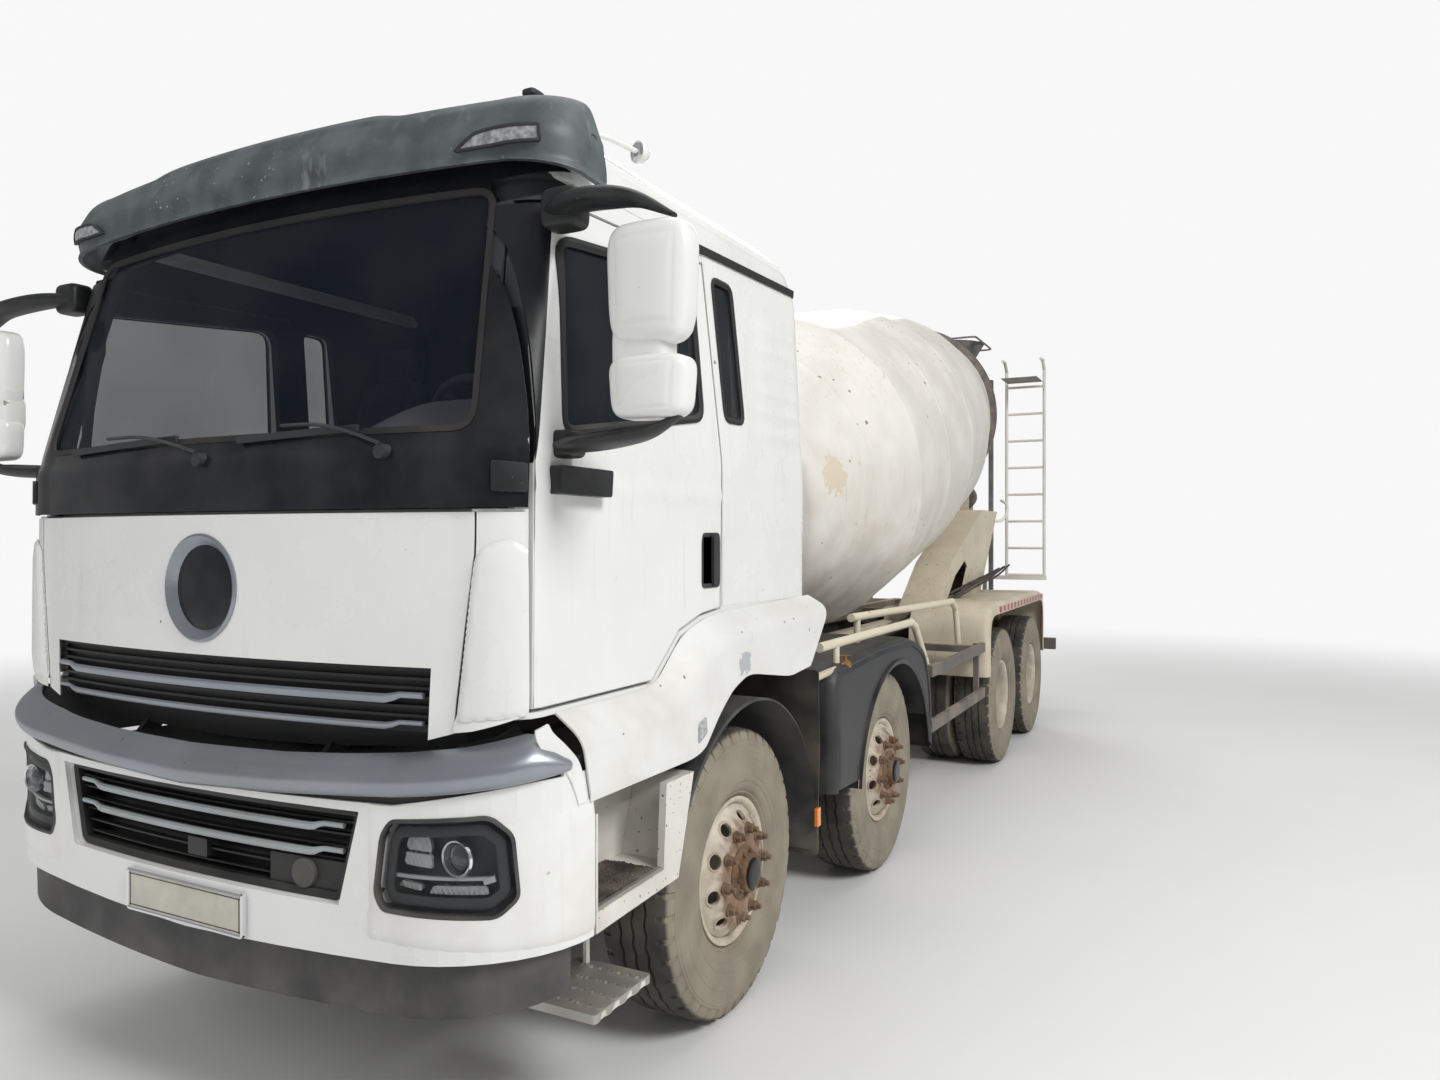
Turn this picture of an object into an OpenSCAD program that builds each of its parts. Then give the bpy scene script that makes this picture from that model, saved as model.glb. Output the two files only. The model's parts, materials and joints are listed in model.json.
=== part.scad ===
// Concrete mixer truck with four axles, a tilting cab and a turning drum.
// Millimetres. +X is the truck's left side, -Y its front, +Z up, ground at z = 0.
// Places along the truck are measured back from the bumper's front and shifted by truck().

/* [Overall] */
// length from bumper to rear guard
overall_l = 9400; // [8800:10:10500]
// half width over bumper, fenders and rear tyres
half_w = 1245; // [1200:5:1275]

/* [Axles and wheels] */
// first steered axle
axle_1_y = 1475; // [1350:5:1600]
// second steered axle
axle_2_y = 3325; // [3200:5:3450]
// first driven axle
axle_3_y = 6275; // [6150:5:6400]
// second driven axle
axle_4_y = 7625; // [7500:5:7750]
// tyre diameter
tyre_d = 1085; // [1040:5:1110]
// tyre width
tyre_w = 300; // [270:5:310]
// inner radius of a tyre
rim_r = 262; // [250:1:280]
// wheel centre from the middle, steered axles
front_track_x = 1018; // [990:2:1030]
// middle of a pair of twin wheels
rear_track_x = 930; // [900:2:940]
// distance between twin wheels
twin_gap = 330; // [320:2:350]
// kingpin from the middle
kingpin_x = 880; // [860:2:900]

/* [Frame] */
// outside width of the rails
rail_w = 850; // [800:10:900]
// top of the rails
rail_top = 1050; // [1000:5:1080]
// height of the rails
rail_h = 290; // [250:5:320]
// thickness of a rail's web and flanges
rail_t = 10; // [8:1:14]

/* [Cab] */
// half width of the cab
cab_hw = 1150; // [1130:5:1170]
// back of the cab
cab_back_y = 2205; // [2150:5:2260]
// cab wall
wall = 60; // [40:5:80]
// top of the front panel
belt_z = 1903; // [1880:1:1930]
// bottom of the windscreen's opening
screen_z0 = 2120; // [2100:5:2160]
// top of the windscreen's opening
screen_z1 = 2850; // [2820:5:2870]
// gap round a door or flap
gap = 10; // [8:1:14]
// tilt pivot, from the bumper's front
tilt_y = 110; // [100:1:120]
// tilt pivot height
tilt_z = 1100; // [1080:5:1120]
// reach of the bumper from the tilt pivot
tilt_r = 231; // [215:1:236]

/* [Drum] */
// foot of the drum's axis along the truck
drum_y = 3100; // [3050:5:3150]
// foot of the drum's axis above ground
drum_z = 1960; // [1930:5:2000]
// slope of the drum's axis
drum_tilt = 13; // [11:0.5:15]
// thickness of the drum's shell
drum_t = 12; // [8:1:16]
// drum ring along the axis
ring_s = 4800; // [4700:5:4850]
// radius of the drum's ring
ring_r = 872; // [850:1:900]

/* [Node] */
// node to draw

/* [Hidden] */

tyre_r = tyre_d / 2;
rail_x = rail_w / 2;
white = [0.93, 0.93, 0.91];
cream = [0.86, 0.80, 0.66];
black = [0.08, 0.08, 0.09];
dark = [0.16, 0.17, 0.18];
steel = [0.55, 0.56, 0.58];
silver = [0.78, 0.79, 0.80];
glass = [0.35, 0.45, 0.50, 0.45];
rust = [0.52, 0.38, 0.28];

// Frames of reference and shared forms

module truck() translate([0, -overall_l / 2, 0]) children();
module both() { children(); mirror([1, 0, 0]) children(); }
module side(s) mirror([s < 0 ? 1 : 0, 0, 0]) children();
// a profile [y, z] drawn out from x0 to x1
module along_x(x0, x1, pts) translate([x0, 0, 0]) rotate([90, 0, 90]) linear_extrude(x1 - x0) polygon(pts);
// a profile [x, z] drawn out from y0 to y1
module along_y(y0, y1, pts) translate([0, y1, 0]) rotate([90, 0, 0]) linear_extrude(y1 - y0) polygon(pts);
module box(x, y, z) translate([x[0], y[0], z[0]]) cube([x[1] - x[0], y[1] - y[0], z[1] - z[0]]);
module disc_x(x0, x1, y, z, r, fn = 64) translate([x0, y, z]) rotate([0, 90, 0]) cylinder(h = x1 - x0,
    r = r, $fn = fn);
module rod(a, b, r) {
  d = b - a;
  l = norm(d);
  translate(a) rotate([0, acos(d[2] / l), atan2(d[1], d[0])]) cylinder(h = l, r = r, $fn = 16);
}
// a tube along a list of points
module tube_run(pts, r) {
  for (i = [0 : len(pts) - 2]) rod(pts[i], pts[i + 1], r);
  for (i = [1 : len(pts) - 2]) translate(pts[i]) sphere(r = r * 1.08, $fn = 16);
}
// skin through rings of equally many points; the ends of a sheet's ring go outwards and come back inside
module loft(rings, sheet = false) {
  n = len(rings[0]);
  m = len(rings);
  last = (m - 1) * n;
  polyhedron(
    points = [for (g = rings, p = g) p],
    faces = concat(
      [for (k = [0 : m - 2], i = [0 : n - 1], t = [0, 1]) let (j = (i + 1) % n, a = k * n)
        t == 0 ? [a + i, a + n + i, a + j] : [a + j, a + n + i, a + n + j]],
      sheet ? [for (i = [0 : n / 2 - 2], t = [0, 1]) t == 0 ? [i, i + 1, n - 1 - i] : [i + 1, n - 2 - i,
          n - 1 - i]]
        : [[for (i = [0 : n - 1]) i]],
      sheet ? [for (i = [0 : n / 2 - 2], t = [0, 1]) t == 0 ? [last + i, last + n - 1 - i, last + i + 1]
          : [last + i + 1, last + n - 1 - i, last + n - 2 - i]]
        : [[for (i = [n - 1 : -1 : 0]) last + i]]));
}

// Cab

// levels of the cab's skin: height, front, half width, back
cab_levels = [
  [1250, 62, cab_hw, cab_back_y],
  [2085, 72, cab_hw, cab_back_y],
  [2880, 268, cab_hw - 42, cab_back_y - 5],
  [3020, 318, cab_hw - 75, cab_back_y - 70],
  [3110, 420, cab_hw - 190, cab_back_y - 210],
];
bow = 80;
corner = [200, 120];
function plan(z, yf, hw, yr) = let (hx = hw - corner[0], right = concat(
    [for (i = [1 : 5]) [hx * i / 5, yf + bow * pow(i / 5, 2)]],
    [for (a = [18 : 18 : 90]) [hx + corner[0] * sin(a), yf + bow + corner[1] * (1 - cos(a))]],
    [[hw, yr - 70], [hw - 20, yr - 20], [hw - 70, yr]]))
  concat([[0, yf, z]], [for (p = right) [p[0], p[1], z]],
    [for (i = [len(right) - 1 : -1 : 0]) [-right[i][0], right[i][1], z]]);
module cab_solid(d = 0) loft([for (v = cab_levels) plan(v[0] - (v[0] > 3000 ? d : 0), v[1] + d, v[2] - d,
    v[3] - d)]);

door_pts = [[228, 1356], [840, 1356], [1030, 1508], [1190, 1552], [1338, 1566], [1350, 2110],
  [1262, 2826], [312, 2790], [236, 2042]];
window_pts = [[356, 2116], [1218, 2246], [1180, 2770], [376, 2692]];
quarter_pts = [[1392, 2262], [1560, 2266], [1500, 2796], [1330, 2796]];
under_pts = [[-60, 1330], [852, 1330], [1040, 1484], [1194, 1528], [1350, 1545], [2211, 1562],
  [2400, 1562], [2400, 3300], [-60, 3300]];
room_pts = [[0, 1420], [860, 1420], [1060, 1640], [2300, 1640], [2300, 3300], [0, 3300]];
screen_pts = [[150 - cab_hw, screen_z0], [cab_hw - 150, screen_z0], [cab_hw - 220, screen_z1],
    [220 - cab_hw, screen_z1]];
flap_x = cab_hw - 165;

module round_hole(x0, x1, pts, r = 40) translate([x0, 0, 0]) rotate([90, 0, 90])
  linear_extrude(x1 - x0) offset(r = r, $fn = 24) offset(delta = -r) polygon(pts);
module door_gap() translate([cab_hw - 160, 0, 0]) rotate([90, 0, 90]) linear_extrude(200)
    offset(delta = gap) polygon(door_pts);
module screen_hole() translate([0, 600, 0]) rotate([90, 0, 0]) linear_extrude(700)
  offset(r = 70, $fn = 24) offset(delta = -70) polygon(screen_pts);
module rear_windows() both() translate([480, 2300, 0]) rotate([90, 0, 0]) linear_extrude(200)
  offset(r = 50, $fn = 24) offset(delta = -50) polygon([[-210, 2250], [210, 2250], [210, 2700], [-210,
      2700]]);
module screen_zone(d = 0) along_x(-1300, 1300, [[-100, belt_z - d], [226 + d, belt_z - d], [226 + d, 2042],
  [302 + d, 2790], [520 + 5 * d, 2872 + d], [-100, 2872 + d]]);
module flap_zone(d = 0) box([-flap_x - d, flap_x + d], [-100, 400], [1262 - d, belt_z - 0.8 + d]);

module cab_lugs() both() difference() {
  along_x(rail_x + 1, rail_x + 21, [[tilt_y - 28, tilt_z - 6], [tilt_y - 12, tilt_z - 28], [tilt_y + 16,
      tilt_z - 24],
    [tilt_y + 225, tilt_z + 231], [tilt_y + 155, tilt_z + 231], [tilt_y - 22, tilt_z + 20]]);
  disc_x(rail_x - 10, rail_x + 30, tilt_y, tilt_z, 20.4);
}
module cab_shell() color(white) truck() { cab_lugs(); cab_box(); }
module cab_box() difference() {
  intersection() { cab_solid(0); along_x(-1300, 1300, under_pts); }
  difference() {
    intersection() { cab_solid(wall); along_x(-1300, 1300, room_pts); box([-1300, 1300], [-50, 2400],
        [1400, 3050]); }
    box([-480, 480], [0, 2400], [1400, 1690]);
  }
  box([-420, 420], [180, 2400], [1300, 1630]);
  both() door_gap();
  both() round_hole(900, 1300, quarter_pts);
  screen_hole();
  rear_windows();
  difference() { screen_zone(); cab_solid(22); }
  difference() { flap_zone(gap); cab_solid(44); }
}
module screen_frame() color(black) truck() difference() {
  intersection() { cab_solid(0); screen_zone(-0.3); }
  cab_solid(21.7);
  screen_hole();
}
module cab_glass() color(glass) truck() intersection() {
  difference() { cab_solid(7); cab_solid(14); }
  union() { screen_hole(); rear_windows(); both() round_hole(900, 1300, quarter_pts); }
}
module door(s) color(white) truck() side(s) difference() {
  intersection() { cab_solid(0); along_x(cab_hw - 160 + gap, 1300, door_pts); }
  cab_solid(wall + 10);
  round_hole(900, 1300, window_pts, 60);
}
module door_glass(s) color(glass) truck() side(s) intersection() {
  difference() { cab_solid(14); cab_solid(20); }
  round_hole(900, 1300, window_pts, 60);
}
// mirror shells: bottom, top, half width at the bottom and at the top
mirror_rows = [[2125, 2300, 118, 122], [2322, 2640, 122, 112]];
mirror_at = [cab_hw + 358, 262];
// shells on a bent tube that is rooted in the door
module mirror_set(s) color(white) truck() side(s) difference() {
  mirror_form();
  cab_solid(-0.3);
}
module mirror_form() {
  for (m = mirror_rows) hull() for (k = [0, 1]) translate([mirror_at[0], mirror_at[1],
      k == 0 ? m[0] + 22 : m[1] - 22])
    scale([1, 0.62, 0.36]) rotate([0, 90, 0]) translate([0, 0, -m[2 + k] + 30])
        cylinder(h = 2 * m[2 + k] - 60, r = 62, $fn = 24);
  tube_run([[1010, 350, 2722], [1300, 300, 2736], [mirror_at[0], mirror_at[1] - 20, 2740], [mirror_at[0],
      mirror_at[1] - 20, 2050],
    [1300, 300, 2062], [1100, 350, 2060]], 17);
}
module sun_visor() color(dark) truck() difference() {
  union() {
    difference() {
      loft([for (v = [[2905, 215, 1172], [2985, 198, 1168], [3168, 330, 1120]]) visor_ring(v[0], v[1],
          v[2], 0)]);
      loft([for (v = [[2895, 215, 1172], [2985, 198, 1168], [3180, 330, 1120]]) visor_ring(v[0], v[1],
          v[2], 22)]);
    }
    for (x = [-900, -300, 300, 900]) box([x - 15, x + 15], [230 + (abs(x) > 500 ? 75 : 15), 480], [2975,
        3005]);
  }
  cab_solid(0);
}
function visor_ring(z, yf, hw, d) = let (hx = hw - 210, out = concat(
    [for (i = [1 : 5]) [hx * i / 5, yf + d + bow * pow(i / 5, 2)]],
    [for (a = [18 : 18 : 90]) [hx + (210 - d) * sin(a), yf + bow + d + (150 - d) * (1 - cos(a))]],
    [[hw - d, 560]]))
  concat([[0, yf + d, z]], [for (p = out) [p[0], p[1], z]],
    [for (i = [len(out) - 1 : -1 : 0]) [-out[i][0], out[i][1], z]]);

module cab_interior() color(dark) truck() {
  difference() {
    intersection() { cab_solid(wall + 0.4); along_x(-1060, 1060, [[120, 1700], [520, 1700], [600, 1900],
        [560, 2080], [120, 2080]]); }
    both() door_gap();
  }
  for (x = [-700, 700]) {
    box([x - 215, x + 215], [1062, 1500], [1640.4, 1990]);
    along_x(x - 210, x + 210, [[1400, 1980], [1500, 1980], [1640, 2560], [1530, 2580]]);
    along_x(x - 120, x + 120, [[1540, 2560], [1630, 2540], [1660, 2720], [1580, 2730]]);
  }
  translate([640, 640, 2150]) rotate([-62, 0, 0]) {
    rotate_extrude($fn = 48) translate([215, 0]) circle(r = 16, $fn = 20);
    for (a = [30, 150, 270]) rotate([0, 0, a]) box([20, 212], [-16, 16], [-8, 8]);
    translate([0, 0, -220]) cylinder(h = 232, r = 38, $fn = 24);
  }
}
// fender stations: inner top y, z, outer top y, z, lower edge y, z
fender_rows = [
  [316, 1330, 322, 1262, 358, 1090],
  [852, 1330, 880, 1262, 1022, 1090],
  [1040, 1484, 1062, 1404, 1155, 1210],
  [1194, 1528, 1210, 1452, 1262, 1281],
  [1350, 1545, 1360, 1476, 1400, 1322],
  [1780, 1553, 1790, 1488, 1790, 1262],
  [2205, 1561.8, 2238, 1504, 2012, 1278],
];
fender_t = 22;
module cab_fenders() color(white) truck() both() loft([for (v = fender_rows) [
  [1060, v[0], v[1] - 0.3], [cab_hw + 5, v[0], v[1] - 0.3], [half_w - 8, v[2], v[3]], [half_w, v[4], v[5]],
  [half_w - fender_t, v[4], v[5]], [half_w - 8 - fender_t, v[2], v[3] - 14],
  [cab_hw - 4, v[0], v[1] - fender_t], [1060, v[0], v[1] - fender_t]]], sheet = true);
notch_pts = [[105 - flap_x, 1278], [flap_x - 105, 1278], [flap_x - 100, 1464], [100 - flap_x, 1464]];
module front_flap() color(white) truck() difference() {
  intersection() { cab_solid(0); flap_zone(0); }
  cab_solid(34);
  along_y(-100, 400, notch_pts);
}
module upper_grille() color(black) truck() {
  intersection() { difference() { cab_solid(26); cab_solid(34); } along_y(-100, 400, notch_pts); }
  for (z = [1300 : 26 : 1456]) intersection() { difference() { cab_solid(8); cab_solid(26); }
      box([106 - flap_x, flap_x - 106], [-100, 400], [z - 4, z + 4]); }
}

// Front end of the chassis

function bumper_plan(d, yend = 380) = let (right = concat(
    [for (i = [1 : 4]) [200 * i, d + 2 + 50 * pow(i / 4, 2)]],
    [for (a = [10 : 10 : 90]) [800 + (half_w - 805 - d) * sin(a), d + 52 + (328 - d) * (1 - cos(a))]]))
  concat([[0, d + 2]], right, [[half_w - 5 - d, yend]], [[-half_w + 5 + d, yend]],
    [for (i = [len(right) - 1 : -1 : 0]) [-right[i][0], right[i][1]]]);
module bumper_band(d0, d1, z0, z1) translate([0, 0, z0]) difference() {
  linear_extrude(z1 - z0) polygon(bumper_plan(d0));
  translate([0, 0, -1]) linear_extrude(z1 - z0 + 2) polygon(bumper_plan(d1, 500));
}
lamp_pts = [[772, 806], [748, 850], [770, 1010], [800, 1052], [1080, 1078], [1128, 1030], [1140, 860],
    [1096, 812]];
grille_pts = [[-620, 798], [620, 798], [690, 1066], [-690, 1066]];
blade_low = [[-1300, 1180], [-1180, 1168], [-800, 1094], [0, 1080], [800, 1094], [1180, 1168], [1300, 1180]];
blade_top = [[1300, 1262], [1180, 1250], [800, 1192], [0, 1184], [-800, 1192], [-1180, 1250], [-1300, 1262]];
module plate_holes() for (x = [-210, 210]) translate([x, -1, 717.5]) rotate([-90, 0, 0]) cylinder(h = 70,
    r = 3.5, $fn = 32);
module front_bumper() color(white) truck() {
  difference() {
    bumper_band(0, 46, 640, 1300);
    along_y(-50, 272.3, concat([[-1300, 1400]], blade_low, [[1300, 1400]]));
    along_y(-50, 300, grille_pts);
    both() along_y(-50, 345, lamp_pts);
    along_y(-50, 500, [[-1300, 600], [-1300, 706], [-800, 662], [0, 641], [800, 662], [1300, 706], [1300,
        600]]);
    difference() { box([-1300, 1300], [240, 500], [1062, 1400]); disc_x(-1301, 1301, tilt_y, tilt_z,
        tilt_r, 96); }
    plate_holes();
  }
  difference() { box([-268, 268], [0, 60], [656, 780]); plate_holes(); }
  both() box([320, 410], [47, 249.7], [764, 796]);
}
module bumper_blade() color(silver) truck() intersection() {
  bumper_band(2, 40, 1000, 1300);
  along_y(-50, 272, concat(blade_low, blade_top));
}
module lower_grille() color(black) truck() {
  intersection() {
    union() {
      bumper_band(34, 46, 700, 1080);
      for (z = [825 : 42 : 1050]) bumper_band(12, 34, z - 6, z + 6);
      both() box([560, 575], [14, 60], [790, 1070]);
    }
    along_y(-50, 300, grille_pts);
  }
  difference() {
    bumper_band(30, 60, 478, 662);
    along_y(-50, 500, [[-1300, 400], [-1300, 560], [-800, 500], [0, 479], [800, 500], [1300, 560], [1300,
        400]]);
    along_y(-50, 500, [[-1300, 705.7], [-800, 661.7], [0, 640.7], [800, 661.7], [1300, 705.7], [1300, 900],
        [-1300, 900]]);
  }
}
module lamps() color([0.85, 0.88, 0.9]) truck() {
  both() intersection() { bumper_band(5, 70, 780, 1100); along_y(-50, 345, lamp_pts); }
  both() box([820, 1180], [overall_l - 19.7, overall_l], [615, 705]);
}
module cab_steps() color(white) truck() both() difference() {
  union() {
    difference() {
      along_x(half_w - 245, half_w - 5, [[390, 700], [866, 716], [972, 1040], [390, 1040]]);
      along_x(half_w - 215, half_w, [[400, 760], [770, 770], [790, 1050], [400, 1050]]);
      along_x(half_w - 215, half_w - 30, [[700, 770], [850, 770], [940, 1050], [700, 1050]]);
    }
    box([half_w - 285, half_w - 15], [400, 700], [440, 462]);
    for (y = [410, 670]) box([half_w - 245, half_w - 233], [y, y + 20], [462, 702]);
    box([rail_x + 0.3, half_w - 244], [420, 500], [800, 860]);
  }
  for (i = [0 : 6], j = [0 : 3]) translate([half_w - 235 + i * 34, 440 + j * 72, 430]) cylinder(h = 40,
      r = 10, $fn = 12);
}

// Chassis

cross_y = [450, 2780, 3800, 4700, 5600, 6920, 8100, overall_l - 550];
module chassis_frame() color(black) truck() {
  both() difference() {
    box([rail_x - 85, rail_x], [250, overall_l - 450], [rail_top - rail_h, rail_top]);
    box([rail_x - 90, rail_x - rail_t], [240, overall_l - 440], [rail_top - rail_h + rail_t,
        rail_top - rail_t]);
  }
  for (y = cross_y) box([-rail_x + rail_t, rail_x - rail_t], [y, y + 60], [rail_top - 100, rail_top - 20]);
  both() {
    along_x(rail_x - 22, rail_x, [[251, 930], [251, 1045], [160, 1136], [86, 1136], [80, 1070], [110,
        1050], [200, 930]]);
    disc_x(rail_x - 38, rail_x + 23, tilt_y, tilt_z, 20);
    box([rail_x - 60, rail_x], [2080, 2160], [rail_top, 1559]);
    for (y = [axle_1_y - 770, axle_1_y + 770, axle_2_y - 770, axle_2_y + 770])
      box([rail_x - 1, rail_x + 110], [y - 30, y + 30], [712.8, rail_top - 40]);
  }
  difference() {
    box([-60, 60], [overall_l - 491, chute_at[1] + 50], [890, 950]);
    translate([0, chute_at[1], 880]) cylinder(h = 80, r = 20, $fn = 64);
  }
}
module engine_block() color(dark) truck() {
  box([-330, 330], [700, 1900], [rail_top - 250, 1560]);
  box([-260, 260], [1900, 2700], [rail_top - 240, rail_top - 10]);
}
module axles() color(dark) truck() {
  for (y = [axle_1_y, axle_2_y]) {
    box([-kingpin_x + 70, kingpin_x - 70], [y - 45, y + 45], [tyre_r - 110, tyre_r - 10]);
    both() difference() {
      union() {
        box([kingpin_x - 90, kingpin_x], [y - 44, y + 44], [tyre_r - 60, tyre_r + 60]);
        translate([kingpin_x, y, tyre_r - 60]) cylinder(h = 120, r = 45, $fn = 48);
      }
      translate([kingpin_x, y, tyre_r - 70]) cylinder(h = 140, r = 25, $fn = 32);
    }
  }
  for (y = [axle_3_y, axle_4_y]) {
    disc_x(-rear_track_x + 240, rear_track_x - 240, y, tyre_r, 90);
    translate([0, y, tyre_r]) sphere(r = 235, $fn = 48);
    translate([0, y - 400, tyre_r + 20]) rotate([-90, 0, 0]) cylinder(h = 300, r = 85, $fn = 48);
    both() disc_x(rear_track_x - 241, rear_track_x - 80.5, y, tyre_r, 60);
  }
  translate([0, 2705.6, rail_top - 190]) rod([0, 0, 0], [0, axle_3_y - 3100, tyre_r - rail_top + 210], 55);
  rod([0, axle_3_y + 230, tyre_r + 40], [0, axle_4_y - 400, tyre_r + 40], 50);
}
// front leaves from the shortest up: half length, heights over the hub at the middle and at the ends
leaf_rows = [[400, -9.7, 47], [520, 6.3, 77], [640, 22.3, 112], [760, 38.3, 152]];
module leaf_springs() color(dark) truck() both() {
  for (y = [axle_1_y, axle_2_y], v = leaf_rows) translate([0, y, tyre_r]) along_x(rail_x + 30, rail_x + 110,
    [[-v[0], v[2]], [0, v[1]], [v[0], v[2]], [v[0], v[2] + 18], [0, v[1] + 18], [-v[0], v[2] + 18]]);
  box([rail_x + 0.3, rail_x + 130], [(axle_3_y + axle_4_y) / 2 - 115, (axle_3_y + axle_4_y) / 2 + 115],
      [560, rail_top - 30]);
  for (i = [0 : 4]) box([rail_x + 30, rail_x + 130], [axle_3_y - 60 + i * 60, axle_4_y + 60 - i * 60],
    [tyre_r + 90.3 + i * 24, tyre_r + 117 + i * 24]);
}
module drum_frame() color(cream) truck() {
  both() box([rail_x - 80, rail_x], [2700, 8700], [rail_top, rail_top + 100]);
  for (y = [2720, 3500, 7400]) box([-rail_x + 79, rail_x - 79], [y, y + 80], [rail_top + 5, rail_top + 75]);
  box([-700, 700], [8500, 8580], [rail_top + 5, rail_top + 99]);
  both() along_x(rail_x - 60, rail_x - 36, [[2720, 1149], [3180, 1149], [3000, 1700], [2900, 1790], [2660,
      1730], [2640, 1600]]);
  box([-rail_x + 37, rail_x - 37], [2650, 2670], [1450, 1660]);
  box([-rail_x + 37, rail_x - 37], [2640, 2960], [1600, 1625]);
  both() difference() {
    along_x(500, 800, [[5750, 1240], [7350, 1240], [8200, 2080], [7480, 2080], [6300, 1610]]);
    along_x(450, 850, [[6150, 1300], [6650, 1300], [6900, 1560], [6800, 1620], [6450, 1500]]);
    along_x(512, 788, [[5800, 1252], [7345, 1252], [8170, 2068], [7482, 2068], [6305, 1597]]);
  }
  both() box([rail_x - 79, 799], [5900, 7350], [rail_top + 99, 1252]);
  along_x(-60, 60, [[8500, 1074], [8700, 1074], [9100, 1330], [9100, 1418], [8920, 1418]]);
  both() difference() {
    for (y = [7862, 8048]) box([501, 590], [y, y + 22], [2060, 2262]);
    roller_place() translate([0, 0, -140]) cylinder(h = 280, r = 30.3, $fn = 48);
  }
}
module drum_axis() truck() translate([0, drum_y, drum_z]) rotate([-(90 - drum_tilt), 0, 0]) children();
module drum_gearbox() color(dark) drum_axis() {
  translate([0, 0, -430]) cylinder(h = 400, r = 225, $fn = 64);
  translate([0, 0, -460]) cylinder(h = 31, r = 150, $fn = 64);
  translate([0, 0, -700]) cylinder(h = 241, r = 100, $fn = 64);
  translate([0, 0, -31]) cylinder(h = 30.5, r = 180, $fn = 64);
}
module roller_place() translate(roller_at) rotate([-(90 - drum_tilt), 0, 0]) children();
module support_rollers() color(steel) truck() both() roller_place() {
  translate([0, 0, -45]) cylinder(h = 90, r = 115, $fn = 64);
  translate([0, 0, -125]) cylinder(h = 250, r = 30, $fn = 48);
}
roller_reach = ring_r + 6 + 115;
roller_at = [roller_reach * sin(32), drum_y + ring_s * cos(drum_tilt) + roller_reach * cos(32)
    * sin(drum_tilt),
  drum_z + ring_s * sin(drum_tilt) - roller_reach * cos(32) * cos(drum_tilt)];

// Drum: distance along the axis, radius
drum_pts = [[0, 350], [120, 800], [1250, 1100], [2750, 1100], [3700, 1030], [4650, 850], [5450, 590]];
module drum_shell() color(white) drum_axis() rotate_extrude($fn = 128)
  polygon(concat([[0, 0]], [for (p = drum_pts) [p[1], p[0]]],
    [for (i = [len(drum_pts) - 1 : -1 : 1]) [drum_pts[i][1] - drum_t, drum_pts[i][0] + (i == 6 ? 0 : 4)]],
    [[340, drum_t + 8], [0, drum_t + 8]]));
module drum_ring() color(dark) drum_axis() translate([0, 0, ring_s - 50]) difference() {
  cylinder(h = 100, r = ring_r, $fn = 128);
  translate([0, 0, -1]) cylinder(h = 102, r1 = drum_r(ring_s - 51) + 0.3, r2 = drum_r(ring_s + 51) + 0.3,
      $fn = 128);
}
function drum_r(s) = lookup(s, drum_pts);
blade_n = 90;
// helical blades: one closed strip per start, from s 600 to 5400
module drum_blades() color(rust) drum_axis() for (k = [0, 180]) {
  loft([for (i = [0 : blade_n]) let (s = 600 + 4750 * i / blade_n, a = k + 1080 * i / blade_n,
      ro = min(drum_r(s), drum_r(s - 4)) - drum_t - 0.4, ri = ro - 300 + 130 * i / blade_n)
    [[ro * cos(a), ro * sin(a), s], [ri * cos(a), ri * sin(a), s], [ri * cos(a), ri * sin(a), s + 8],
        [(ro - 2) * cos(a), (ro - 2) * sin(a), s + 8]]]);
}

// Body pieces

module mid_mudguards() color(black) truck() both() {
  form = [[2330, 640], [2330, 1215], [3000, 1255], [3650, 1255], [3940, 1130], [4030, 880], [4035, 540],
      [3990, 540]];
  difference() {
    along_x(660, half_w - 10, form);
    disc_x(600, half_w + 10, axle_2_y, tyre_r, 650, 96);
    box([600, half_w], [3500, 3990], [300, 560]);
    difference() {
      along_x(640, half_w - 26, [[2346, 600], [2346, 1199], [3000, 1239], [3640, 1239], [3926, 1118],
          [4014, 880], [4019, 540], [3990, 540]]);
      disc_x(600, half_w, axle_2_y, tyre_r, 666, 96);
    }
  }
  box([760, half_w - 15], [2128, 2142], [420, 1230]);
  box([rail_x + 0.3, 800], [2141, 2182], [1000, 1040]);
  box([rail_x + 0.3, 661], [3290, 3360], [1000, 1040]);
  box([640, 662], [3290, 3360], [1000, 1200]);
}
module rear_wings() color(cream) truck() both() {
  difference() {
    along_x(630, half_w, [[5630, 760], [5630, 1120], [5690, 1240], [5810, 1300], [8080, 1300], [8200,
        1240], [8260, 1120], [8260, 700]]);
    box([600, 803], [5740, 8300], [1200, 1400]);
    along_x(600, half_w + 10, [[5646, 700], [5646, 1116], [5702, 1228], [5816, 1284], [8074, 1284], [8190,
        1230], [8244, 1116], [8244, 640]]);
  }
  for (y = [5645, 8205]) box([rail_x + 0.3, 700], [y, y + 40], [rail_top - 60, rail_top - 20]);
}
module side_guards() color(cream) truck() both() {
  for (z = [620, 960]) box([half_w - 45, half_w - 15], [4075, 5600], [z, z + 70]);
  for (y = [4085, 5480]) {
    box([half_w - 80, half_w - 45], [y, y + 50], [600, 1040]);
    box([rail_x + (y < 5000 ? 110.3 : 0.3), half_w - 44], [y, y + 50], [rail_top - 90, rail_top - 40]);
  }
  tube_run([[1180, 2280, 1320], [1180, 3780, 1320], [1180, 3860, 1290], [1180, 4090, 1060], [1180, 4110,
      1029]], 22);
  tube_run([[1080, 3000, 1400], [1080, 5180, 1360], [1080, 5290, 1300], [1080, 5372, 1039]], 22);
  rod([1080, 3100, 1255.3], [1080, 3100, 1400], 18);
  rod([1180, 2500, 1226.6], [1180, 2500, 1320], 18);
}
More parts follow.
